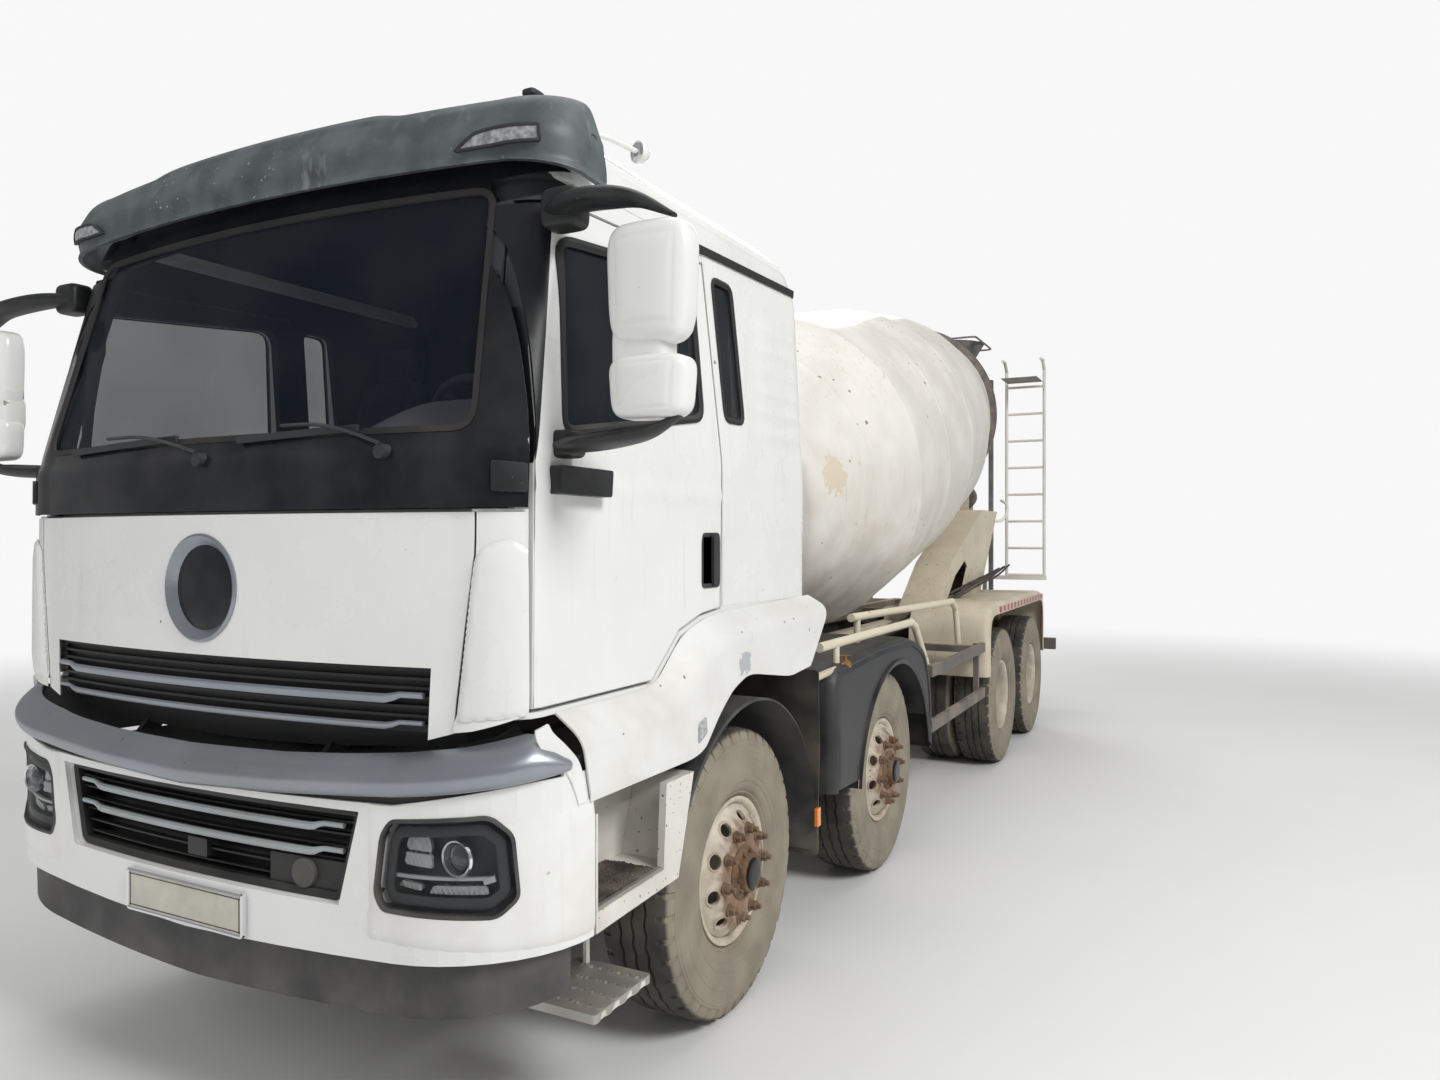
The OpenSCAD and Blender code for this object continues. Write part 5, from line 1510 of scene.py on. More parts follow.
    def upper_grille(self) -> None:
        """Two silver bars over the black opening in the front panel."""
        wear_finish("upper_grille", GRILLE_BLACK_AND_SHADE)
        face = lambda w, z, rise: SKIN.point(w, z) + SKIN.normal(w, z) * rise
        bars = [self.bar(0.848, z, 0.004, face, (0.011, size)) for z, size in ((1.375, 0.013), (1.298, 0.010))]
        piece("Upper_grille_bars", joined(bars), "front_flap", SILVER)
        x = np.linspace(-0.93, 0.93, 40)
        foot = np.interp(np.abs(x), self.blade_stations, self.blade_crest) + 0.004
        apron = np.vstack([np.stack([x, foot], -1), [(0.93, 1.30), (-0.93, 1.30)]])
        piece("Grille_apron", thickened(patch(SKIN.from_front(apron), SKIN.lifted(-0.090), 0.05), 0.004), "cab", GRILLE_BLACK_AND_SHADE)

    def valance(self) -> None:
        """The black apron under the bumper."""
        w = np.linspace(-1.34, 1.34, 60)
        top = np.stack([w[::-1], self.edge(w[::-1], self.foot) + 0.01], -1)
        low = np.stack([w, np.interp(np.abs(w), (0, 0.8, 1.2, 1.34), (0.481, 0.502, 0.548, 0.566))], -1)
        lean = lambda u, z: (BUMPER.point(u, 0 * z + BUMPER.tuck_below, -0.034 + 0.02 * (z - 0.5)) * [1, 1, 0]
                             + np.stack([0 * z, 0 * z, z], -1))
        part = patch(np.vstack([low, top]), lean, 0.03)
        piece("Valance", thickened(part, 0.005), "chassis", PLASTIC)

    def plate_carrier(self) -> None:
        """A blank plate in its white surround."""
        width, height, z = self.plate
        ring = rectangle(-width / 2, z - height / 2, width / 2, z + height / 2, 0.008)
        flat = lambda rise: (lambda u, h: np.stack([u, np.full_like(u, back(0.0)) - rise, h], -1))
        frame_bar = np.array([(-0.004, -0.010), (0.006, -0.010), (0.006, 0.004), (-0.001, 0.006), (-0.004, 0.003)])
        piece("Plate_surround", ring_bar(ring, flat(0.004), frame_bar), "chassis", CHROME)
        line = np.array([(-0.013, 0.0), (-0.010, 0.0), (-0.010, 0.002), (-0.013, 0.002)])
        piece("Plate_border", ring_bar(ring, flat(0.005), line), "chassis", PLASTIC)
        piece("Plate_blank", thickened(patch(ring, flat(0.006), 0.05), 0.014), "chassis", PLATE)

    def fluted(self, outline: Sequence[tuple[float, float]], depth: float, flutes: float = 420.0) -> Mesh:
        """A small reflector block: a patch whose height ripples across it as a sine."""
        ring = BUMPER.from_front(rounded(outline, 0.008))
        ripple = lambda u, z: 0.0018 * np.sin(flutes * u) * np.sin(0.6 * flutes * z)
        return thickened(patch(ring, BUMPER.lifted(depth, ripple), 0.0045), 0.010)

    def head_lamp(self, side: Side) -> None:
        """A head lamp: dark housing and bezel, two fluted blocks, a projector, a light bar and the cover."""
        name = side.word
        outline = self.lamp if side is Side.LEFT else swap(self.lamp)
        ring = BUMPER.from_front(rounded(outline, self.lamp_corner))
        tub = patch(ring, BUMPER.lifted(-0.064), 0.03)
        liner = np.array([(-0.004, -0.066), (0.001, -0.066), (0.001, -0.006), (-0.004, -0.006)])
        wall = ring_bar(ring, BUMPER.lifted(), liner)
        middle = ring.mean(0)
        bezel = ring_bar(middle + (ring - middle) * [0.90, 0.86], BUMPER.lifted(-0.012),
                         np.array([(-0.006, -0.034), (0.0, -0.002), (0.010, 0.002), (0.028, 0.0), (0.028, -0.006)]))
        piece(f"Lamp_tub_{name}", joined([thickened(tub, 0.004), wall, bezel]), "chassis", LAMP_HOUSING,
              replaces=("lamps",) if side is Side.LEFT else ())
        cover = patch(ring, BUMPER.lifted(-0.004), 0.02)
        piece(f"Lamp_cover_{name}", thickened(cover, 0.003), "chassis", LAMP_COVER)
        blocks = [self.fluted([(0.822, 0.930), (0.915, 0.926), (0.912, 0.962), (0.824, 0.964)], -0.030),
                  self.fluted([(0.824, 0.970), (0.912, 0.968), (0.905, 1.010), (0.832, 1.008)], -0.034, 300.0),
                  self.fluted([(0.800, 0.868), (0.880, 0.862), (0.885, 0.880), (0.812, 0.884)], -0.030),
                  self.fluted([(0.905, 0.858), (1.075, 0.862), (1.068, 0.886), (0.918, 0.880)], -0.030)]
        turn, radius = Matrix.Rotation(-math.pi / 2, 4, "Z"), 0.044
        across, height, depth = self.projector
        centre = BUMPER.point(np.array([self.wrap_of(across)]), np.array([height]), depth)[0]
        cup = [(0.0, 0.008), (0.004, radius * 0.6), (0.022, radius * 0.95), (0.036, radius), (0.038, radius + 0.005),
               (0.030, radius + 0.008), (0.012, radius), (-0.002, radius * 0.5)]
        bowl = lathe(cup, 48, closed=True)
        lens = lathe([(0.004, radius * 0.80), (0.020, radius * 0.76), (0.030, radius * 0.55), (0.035, radius * 0.25),
                      (0.036, 0.002)], 40)
        square = np.array([(-1, -1), (1, -1), (1, 1), (-1, 1)])
        for start, end, size in ((0.790, 1.088, 0.0045), (1.062, 1.090, 0.008)):
            w = np.linspace(self.wrap_of(start), self.wrap_of(end), 24)
            blocks.append(sweep(BUMPER.point(w, 0.899 + 0.010 * np.linspace(0, 1, 24), -0.024), square * size))
        side_piece("Lamp_projector", moved(bowl, centre, turn), side, "chassis", CHROME)
        side_piece("Lamp_reflectors", joined(blocks), side, "chassis", PALE_PLASTIC)
        side_piece("Lamp_lenses", moved(lens, centre, turn), side, "chassis", LENS)

    def wrap_of(self, x: float) -> float:
        """Wrap of a distance from the middle."""
        return float(BUMPER.from_front([(x, 0.9), (x, 0.91), (x, 0.92)])[0, 0])


# ---------------------------------------------------------------- visor, mirrors, fenders, steps


VISOR = CabSkin(heights=(2.900, 2.985, 3.090, 3.168), fronts=(0.215, 0.198, 0.245, 0.330),
                half_widths=(1.172, 1.168, 1.150, 1.120), backs=(2.2, 2.2, 2.2, 2.2), corner_x=0.210, corner_y=0.150,
                window=0.02)


@dataclass
class SunVisor:
    """The big weathered sun visor over the windscreen, with two lamps let into it."""

    half_wrap: float = 1.335
    low: float = 2.908
    high: float = 3.160
    lamp: tuple = ((0.835, 2.942), (0.850, 2.952), (0.905, 2.984), (0.950, 2.991), (1.096, 2.993), (1.099, 2.948))

    def build(self) -> None:
        """Builds the visor's shell, lamps, bosses and brackets."""
        rows = np.linspace(0, 1, 30)[:, None]
        wrap = np.linspace(-self.half_wrap, self.half_wrap, 170)[None, :]
        w = np.abs(wrap)
        drop = 0.035 * soft_step(w, 0.9, 1.3)
        top = self.high - 0.02 * soft_step(w, 0.45, 0.62) - 0.13 * soft_step(w, 1.16, 1.36) ** 2
        z = (self.low - drop) + (top - self.low + drop) * rows
        lip = 0.010 * (1 - soft_step(rows, 0.0, 0.10)) - 0.026 * soft_step(rows, 0.86, 1.0) ** 2
        crease = 0.007 * soft_step(z, 3.085, 3.10) * (1 - soft_step(w, 0.50, 0.62))
        bulge = 0.006 * np.sin(math.pi * rows) + lip + crease - 0.006
        grid = VISOR.point(np.broadcast_to(wrap, z.shape), z)
        grid = grid + VISOR.normal(np.broadcast_to(wrap, z.shape), z) * bulge[..., None]
        piece("Sun_visor_shell", thickened(sheet(grid), 0.014), "cab", VISOR_GREY,
              replaces=("sun_visor",), bevel=0.003)
        for x in (-0.9, -0.3, 0.3, 0.9):
            y = 0.262 + 0.08 * (x / 0.95) ** 2
            path = [(x, back(y), 2.992), (x, back(y + 0.06), 2.985), (x, back(y + 0.125), 2.962)]
            piece(f"Visor_bracket_{round(x * 10) + 10}", sweep(np.array(path), np.array(
                [(-0.014, -0.012), (0.014, -0.012), (0.014, 0.012), (-0.014, 0.012)])), "cab", PLASTIC)
        for side in Side:
            outline = self.lamp if side is Side.LEFT else swap(self.lamp)
            ring = VISOR.from_front(rounded(outline, 0.008))
            face = VISOR.lifted(0.004)
            piece(f"Visor_lamp_{side.word}", thickened(patch(ring, VISOR.lifted(0.006), 0.02), 0.012), "cab",
                  CLEAR_LENS, bevel=0.002)
            rim = np.array([(-0.003, -0.004), (0.005, -0.003), (0.006, 0.004), (-0.002, 0.006)])
            piece(f"Visor_lamp_rim_{side.word}", ring_bar(ring, face, rim, 0.02), "cab", PLASTIC)
            boss = lathe([(0.0, 0.018), (0.010, 0.018), (0.012, 0.014), (0.009, 0.010), (0.009, 0.002)], 24)
            at = VISOR.point(np.array([1.275]), np.array([3.000]))[0]
            side_piece("Visor_boss", moved(boss, at - [0.012, 0, 0]), side, "cab", PLASTIC)


def superegg(size: Sequence[float], box: float = 0.35, steps: tuple[int, int] = (64, 40)) -> Mesh:
    """A rounded box: each coordinate of a sphere is raised to a power below one.

    A point at longitude u and latitude v is size * (c(v) c(u), c(v) s(u), s(v)), where
    c and s are cosine and sine with their size raised to the power box.
    """
    power = lambda t: np.sign(t) * np.abs(t) ** box
    u = np.linspace(-math.pi, math.pi, steps[0], endpoint=False)
    v = np.linspace(-math.pi / 2, math.pi / 2, steps[1])[1:-1, None]
    x, y, z = power(np.cos(v)) * power(np.cos(u)), power(np.cos(v)) * power(np.sin(u)), power(np.sin(v)) + 0 * u
    grid = np.stack([x, y, z], -1) * np.asarray(size)
    rows, cols = grid.shape[:2]
    verts = np.vstack([grid.reshape(-1, 3), [[0, 0, -size[2]], [0, 0, size[2]]]])
    faces = [tuple(f) for f in grid_faces(rows, cols, wrap=True)]
    low, high, last = rows * cols, rows * cols + 1, (rows - 1) * cols
    faces += [((i + 1) % cols, i, low) for i in range(cols)]
    faces += [(last + i, last + (i + 1) % cols, high) for i in range(cols)]
    return verts, faces


@dataclass
class Mirrors:
    """Two mirror shells a side on dark arms."""

    centre: tuple = (1.508, 0.262)
    shells: tuple = ((2.480, 0.158, 0.120), (2.212, 0.082, 0.114))

    def build(self) -> None:
        """Builds both sides' mirrors."""
        for side in Side:
            self.one_side(side)

    def shell(self, z: float, half_height: float, half_width: float) -> Mesh:
        """A shell: a rounded box with a bowed front, a groove round its front and a flat back."""
        verts, faces = superegg((half_width, 0.070, half_height), 0.42, (96, 60))
        x, zz = verts[:, 0] / half_width, verts[:, 2] / half_height
        ahead = verts[:, 1] < 0
        d = np.maximum(np.abs(x), np.abs(zz) * 1.02 - 0.02)
        groove = 0.0016 * np.exp(-((d - 0.70) / 0.05) ** 2)
        verts[:, 1] = np.where(ahead, verts[:, 1] * (1 - 0.20 * x ** 2) + groove, np.minimum(verts[:, 1] * 0.55, 0.032))
        verts[:, 0] *= 1 + 0.06 * zz
        return moved((verts, faces), (self.centre[0], back(self.centre[1]), z))

    def one_side(self, side: Side) -> None:
        """Builds one side's shells, glasses and arms."""
        name, body = side.word, f"door_{side.word}"
        x, y = self.centre
        shells = [self.shell(*row) for row in self.shells]
        shells.append(moved(superegg((0.082, 0.048, 0.080), 0.45, (48, 24)), (x - 0.028, back(y), 2.315)))
        side_piece("Mirror_shells", joined(shells), side, body, WHITE, replaces=(f"mirror_{name}",), smooth_angle=50)
        glasses = []
        for z, hh, hw in self.shells:
            ring = rectangle(-hw + 0.02, -hh + 0.02, hw - 0.02, hh - 0.02, 0.03)
            flat = lambda u, v: np.stack([x - u, np.full_like(u, back(y + 0.0345)) - 0.05 * u ** 2, z + v], -1)
            glasses.append(thickened(patch(ring, flat, 0.03), 0.003))
        side_piece("Mirror_glass", joined(glasses), side, body, MIRROR_GLASS)
        arms = [self.arm((1.130, 0.345, 2.745), (1.240, 0.290, 2.742), (1.370, 0.245, 2.722), (1.470, 0.240, 2.700),
                         (1.575, 0.255, 2.648), 0.050),
                self.arm((1.150, 0.345, 2.085), (1.260, 0.300, 2.082), (1.400, 0.265, 2.088), (1.500, 0.255, 2.100),
                         (1.590, 0.255, 2.135), 0.044)]
        for z, half in ((2.750, (0.062, 0.046, 0.058)), (2.088, (0.050, 0.042, 0.040))):
            arms.append(moved(superegg(half, 0.4, (40, 24)), (1.165, back(0.350), z)))
        side_piece("Mirror_arms", joined(arms), side, body, MIRROR_BLACK)

    def arm(self, *points: object) -> Mesh:
        """A flat curved arm that narrows towards the shell; the last value is its half width."""
        *stations, half = points
        path = curve_through([(a, back(b), c) for a, b, c in stations], 10)
        t = np.linspace(0, 1, len(path))
        width = 0.75 + 0.5 * np.sin(math.pi * t) - 0.45 * t ** 3
        return sweep(path, circle(1.0, 20) * [half, half * 0.55], scale=np.stack([width, width * (1 - 0.3 * t)], -1))


@dataclass
class Fenders:
    """The cab's front wings: a ledge under the door that turns down to the wheel arch."""

    rows: tuple = ((0.316, 1.330, 0.322, 1.262, 0.358, 1.090), (0.852, 1.330, 0.880, 1.262, 1.022, 1.090),
                   (1.040, 1.484, 1.062, 1.404, 1.155, 1.210), (1.194, 1.528, 1.210, 1.452, 1.262, 1.281),
                   (1.350, 1.545, 1.360, 1.476, 1.400, 1.322), (1.780, 1.553, 1.790, 1.488, 1.790, 1.262),
                   (2.205, 1.562, 2.238, 1.504, 2.012, 1.278))
    outer: float = 1.243

    def lines(self) -> Grid:
        """The rows drawn out to many stations and softened by a running mean."""
        rows = np.asarray(self.rows)
        at = np.concatenate([np.linspace(i, i + 1, n, endpoint=False) for i, n in enumerate((26, 16, 12, 12, 20, 22))]
                            + [[6.0]])
        fine = np.stack([np.interp(at, np.arange(7), rows[:, k]) for k in range(6)], -1)
        pad = 4
        longer = np.vstack([np.repeat(fine[:1], pad, 0), fine, np.repeat(fine[-1:], pad, 0)])
        soft = np.mean([longer[i: i + len(fine)] for i in range(2 * pad + 1)], axis=0)
        ease = np.minimum(np.minimum(np.arange(len(fine)), np.arange(len(fine))[::-1]) / 5, 1)[:, None]
        return fine + (soft - fine) * ease

    def skin(self) -> Mesh:
        """The skin: across each station the ledge meets the face in a rounded shoulder."""
        r = self.lines()
        inner = np.stack([np.full(len(r), 1.152), r[:, 0], r[:, 1] - 0.001], -1)
        shoulder = np.stack([np.full(len(r), self.outer - 0.004), r[:, 2], r[:, 3]], -1)
        low = np.stack([np.full(len(r), self.outer), r[:, 4], r[:, 5]], -1)
        a = shoulder + (inner - shoulder) * 0.42
        b = shoulder + (low - shoulder) * 0.22
        t = np.linspace(0, 1, 9)[None, :, None]
        bend = (1 - t) ** 2 * a[:, None] + 2 * t * (1 - t) * shoulder[:, None] + t ** 2 * b[:, None]
        upper = inner[:, None] + (a - inner)[:, None] * np.linspace(0, 1, 5)[None, :-1, None]
        lower = b[:, None] + (low - b)[:, None] * np.linspace(0, 1, 9)[None, 1:, None]
        grid = np.concatenate([upper, bend, lower], 1)
        inward = np.stack([np.full(len(r), self.outer - 0.020), r[:, 4], r[:, 5] + 0.010], -1)
        grid = np.concatenate([grid, inward[:, None]], 1)
        grid[..., 1] -= HALF_LENGTH
        return sheet(grid)

    def build(self) -> None:
        """Builds fenders, marker lamps and the inner liners."""
        for side in Side:
            replaces = ("cab_fenders",) if side is Side.LEFT else ()
            closed = thickened(flipped(self.skin()), 0.006)
            side_piece("Fender", closed, side, "cab", FENDER_WHITE, replaces=replaces)
            self.marker(side)
            self.liner(side)

    def marker(self, side: Side) -> None:
        """The side marker on the arch's front leg: a framed lens."""
        frame_ring = rounded([(0.975, 1.108), (1.062, 1.150), (1.052, 1.232), (0.975, 1.206)], 0.014)
        face = side_plane(self.outer + 0.004)
        base = thickened(patch(frame_ring, face, 0.03), 0.010)
        middle = frame_ring.mean(0)
        lens_ring = middle + (frame_ring - middle) * 0.68
        lens = thickened(patch(lens_ring, lambda u, v: face(u, v) + [0.006, 0, 0], 0.02), 0.008)
        side_piece("Side_marker", base, side, "cab", PALE_PLASTIC, bevel=0.003)
        side_piece("Side_marker_lens", lens, side, "cab", CLEAR_LENS, bevel=0.003)

    def liner(self, side: Side) -> None:
        """The black liner in the arch, a strip bent over the wheel; the mud flap behind it is made with the guards."""
        a = np.linspace(math.radians(152), math.radians(-8), 60)
        height = WHEEL_RADIUS + np.minimum(0.660 * np.sin(a), 0.765)
        path = np.stack([np.full(60, 1.075), back(1.480 + 0.640 * np.cos(a)), height], -1)
        strip = np.array([(-0.150, -0.004), (0.150, -0.004), (0.155, 0.006), (-0.150, 0.006)])
        bent = sweep(path, strip[:, ::-1], up=(1, 0, 0))
        side_piece("Arch_liner", bent, side, "chassis", PLASTIC)


@dataclass
class Steps:
    """The entry steps: white box, studded mat, scuffed alloy treads."""

    hole: float = 0.0092
    plate_top: float = 0.4645

    def build(self) -> None:
        """Dresses the CAD steps and adds mats and treads on both sides."""
        wear_finish("cab_steps", STEP_WHITE)
        for side in Side:
            self.mat(side)
            self.tread(side)

    def mat(self, side: Side) -> None:
        """The upper tread's rough mat: a fine grid whose height is a field of small studs."""
        x = np.linspace(1.034, 1.216, 60)[:, None]
        y = np.linspace(0.404, 0.752, 110)[None, :]
        studs = 0.5 + 0.5 * np.sin(x * 430) * np.sin(y * 430 + 7 * np.sin(x * 60))
        tuft = 0.5 + 0.5 * np.sin(x * 913 + 5 * np.sin(y * 211)) * np.sin(y * 779 + 3 * np.sin(x * 170))
        z = 0.767 + 0.006 * studs + 0.005 * tuft
        grid = np.stack([x + 0 * y, back(y) + 0 * x, z], -1)
        part = thickened(sheet(grid), 0.006)
        side_piece("Step_mat", part, side, "chassis", RUBBER)
        edge = sweep(np.array([(1.226, back(0.394), 0.757), (1.229, back(0.776), 0.768)]), np.array(
            [(-0.014, -0.030), (0.008, -0.030), (0.010, 0.004), (0.004, 0.010), (-0.014, 0.010)]))
        side_piece("Step_edge", edge, side, "chassis", ALLOY, bevel=0.002)

    def tread(self, side: Side) -> None:
        """The hanging lower step: a plate with rows of raised, pierced dimples."""
        centres = [(1.010 + i * 0.034, 0.440 + j * 0.072) for i in range(7) for j in range(4)]
        holes = [circle(self.hole) + at for at in centres]
        ring = rectangle(0.957, 0.396, 1.232, 0.704, 0.012)
        c = np.array(centres)

        def height(u: Grid, v: Grid) -> Grid:
            """Plate points: flat, with a collar 3 mm high round each hole."""
            d = np.min(np.hypot(u[:, None] - c[:, 0], v[:, None] - c[:, 1]), axis=1)
            return np.stack([u, back(v), self.plate_top + 0.003 * np.exp(-((d - 0.0095) / 0.004) ** 2)], -1)

        plate = thickened(patch(ring, height, 0.014, holes), 0.027)
        side_piece("Lower_step", plate, side, "chassis", ALLOY)


@dataclass
class RoofFittings:
    """A round work lamp on a rod at the roof's left edge, and a small lamp on the visor."""

    def build(self) -> None:
        """Builds rod, lamp and the visor's small lamp."""
        rod = tube([(0.985, back(0.560), 3.050), (1.005, back(0.640), 3.105), (1.030, back(0.760), 3.128),
                    (1.048, back(0.915), 3.134)], 0.009)
        foot = moved(superegg((0.022, 0.030, 0.014), 0.5, (24, 12)), (0.982, back(0.555), 3.048))
        piece("Roof_lamp_rod", joined([rod, foot]), "cab", WHITE)
        turn = Matrix.Rotation(-math.pi / 2 - 0.35, 4, "Z")
        bowl = lathe([(-0.030, 0.006), (-0.026, 0.022), (-0.008, 0.036), (0.008, 0.039), (0.014, 0.037)], 36)
        glass = lathe([(0.013, 0.034), (0.019, 0.028), (0.022, 0.012), (0.0225, 0.003)], 32)
        at = (1.050, back(0.940), 3.136)
        piece("Roof_lamp_bowl", moved(bowl, at, turn), "cab", WHITE)
        piece("Roof_lamp_lens", moved(glass, at, turn), "cab", CLEAR_LENS)
        small = moved(superegg((0.024, 0.034, 0.012), 0.5, (32, 16)), (0.985, back(0.440), 3.146))
        piece("Visor_small_lamp", small, "cab", PLASTIC)


@dataclass
class Room:
    """What shows through the glass: two cloth chairs, the dash and the steering wheel."""

    chair_x: float = 0.700
    wheel_at: tuple = (0.640, 0.640, 2.150)
    wheel_tilt: float = -62.0

    def build(self) -> None:
        """Builds chairs, dash and steering wheel."""
        for side in Side:
            self.chair(side)
        self.dash()
        self.wheel()

    def pad(self, size: tuple[float, float, float], at: tuple[float, float, float], lean: float, seams: int) -> Mesh:
        """A cushion: a rounded box, fuller in its middle and drawn in at sewn channels.

        Its thickness grows by a product of cosines and shrinks by a narrow bell curve at
        each channel, which runs across the chair.
        """
        verts, faces = superegg(size, 0.38, (96, 64))
        u, v, w = (verts / np.asarray(size)).T
        crown = 1 + 0.16 * np.cos(u * math.pi / 2) * np.cos(w * math.pi / 2)
        lines = np.linspace(-0.6, 0.6, seams)
        channel = sum(np.exp(-(((w - k) / 0.035) ** 2)) for k in lines)
        pull = sum(np.exp(-(((u - k) / 0.03) ** 2)) for k in (-0.62, 0.62))
        verts[:, 1] *= crown * (1 - 0.10 * np.clip(channel + pull, 0, 1))
        verts[:, 0] *= 1 - 0.03 * channel * (np.abs(u) > 0.8)
        return moved((verts, faces), (at[0], back(at[1]), at[2]), Matrix.Rotation(math.radians(lean), 4, "X"))

    def chair(self, side: Side) -> None:
        """One chair: base, back and head rest, each a padded piece, on a steel box."""
        x = self.chair_x
        parts = {"base": self.pad((0.215, 0.075, 0.215), (x, 1.275, 1.905), 90.0, 3),
                 "back": self.pad((0.205, 0.070, 0.300), (x, 1.530, 2.270), -13.0, 4),
                 "head_rest": self.pad((0.120, 0.045, 0.085), (x, 1.605, 2.640), -8.0, 1)}
        for word, part in parts.items():
            obj = piece(f"Chair_{word}_{side.word}", on_side(part, side), "cab", CHAIR_CLOTH, smooth_angle=80)
        ring = rectangle(x - 0.19, 1.10, x + 0.19, 1.46, 0.03)
        top = patch(ring, lambda u, v: np.stack([u, back(v), 1.83 + 0 * u], -1), 0.06)
        posts = [tube([(x + k, back(1.585), 2.50), (x + k, back(1.60), 2.60)], 0.007) for k in (-0.05, 0.05)]
        side_piece("Chair_box", joined([thickened(top, 0.185), *posts]), side, "cab", INTERIOR, bevel=0.006)

    def dash(self) -> None:
        """The dash: one outline carried across the cab, with a raised hood before the driver."""
        x = np.linspace(-1.02, 1.02, 90)
        outline = rounded([(0.215, 1.705), (0.515, 1.705), (0.595, 1.900), (0.560, 2.080), (0.480, 2.130),
                           (0.225, 2.110)], 0.05)
        hood = 0.130 * soft_step(x, 0.05, 0.62) * (1 - soft_step(x, 0.90, 0.99))
        y = outline[None, :, 0] + 0 * x[:, None] + 0.03 * np.abs(x[:, None]) ** 2
        raised = soft_step(outline[None, :, 0], 0.26, 0.40) * (outline[None, :, 1] > 1.98)
        z = outline[None, :, 1] + hood[:, None] * raised
        grid = np.stack([x[:, None] + 0 * y, back(y), z], -1)
        piece("Dash", capped_tube(grid), "cab", DASH, replaces=("cab_interior",), smooth_angle=45)

    def wheel(self) -> None:
        """The steering wheel: a rim, three flat spokes, a boss and the column."""
        section = [(0.016 * math.sin(t), 0.215 + 0.016 * math.cos(t)) for t in np.linspace(0, 2 * math.pi, 16, False)]
        rim = lathe(section, 64, closed=True)
        line = np.array([(0, 0.03, 0), (0.004, 0.12, 0), (0.0, 0.212, 0)])
        spoke = sweep(line, circle(1, 12) * [0.016, 0.008], up=(1, 0, 0))
        spokes = [moved(spoke, turn=Matrix.Rotation(math.radians(a), 4, "X")) for a in (30, 150, 270)]
        boss = lathe([(-0.22, 0.036), (-0.03, 0.038), (-0.01, 0.062), (0.014, 0.058), (0.020, 0.040), (0.021, 0.004)],
                     36)
        turn = Matrix.Rotation(math.radians(self.wheel_tilt), 4, "X") @ Matrix.Rotation(-math.pi / 2, 4, "Y")
        x, y, z = self.wheel_at
        piece("Steering_wheel", moved(joined([rim, *spokes, boss]), (x, back(y), z), turn), "cab", PLASTIC)


# ---------------------------------------------------------------- wheels


def flagged(obj: bpy.types.Object, name: str, values: Grid) -> None:
    """Stores one number a point on a piece's mesh, for its material to read."""
    obj.data.attributes.new(name, "FLOAT", "POINT").data.foreach_set("value", np.asarray(values, np.float32))


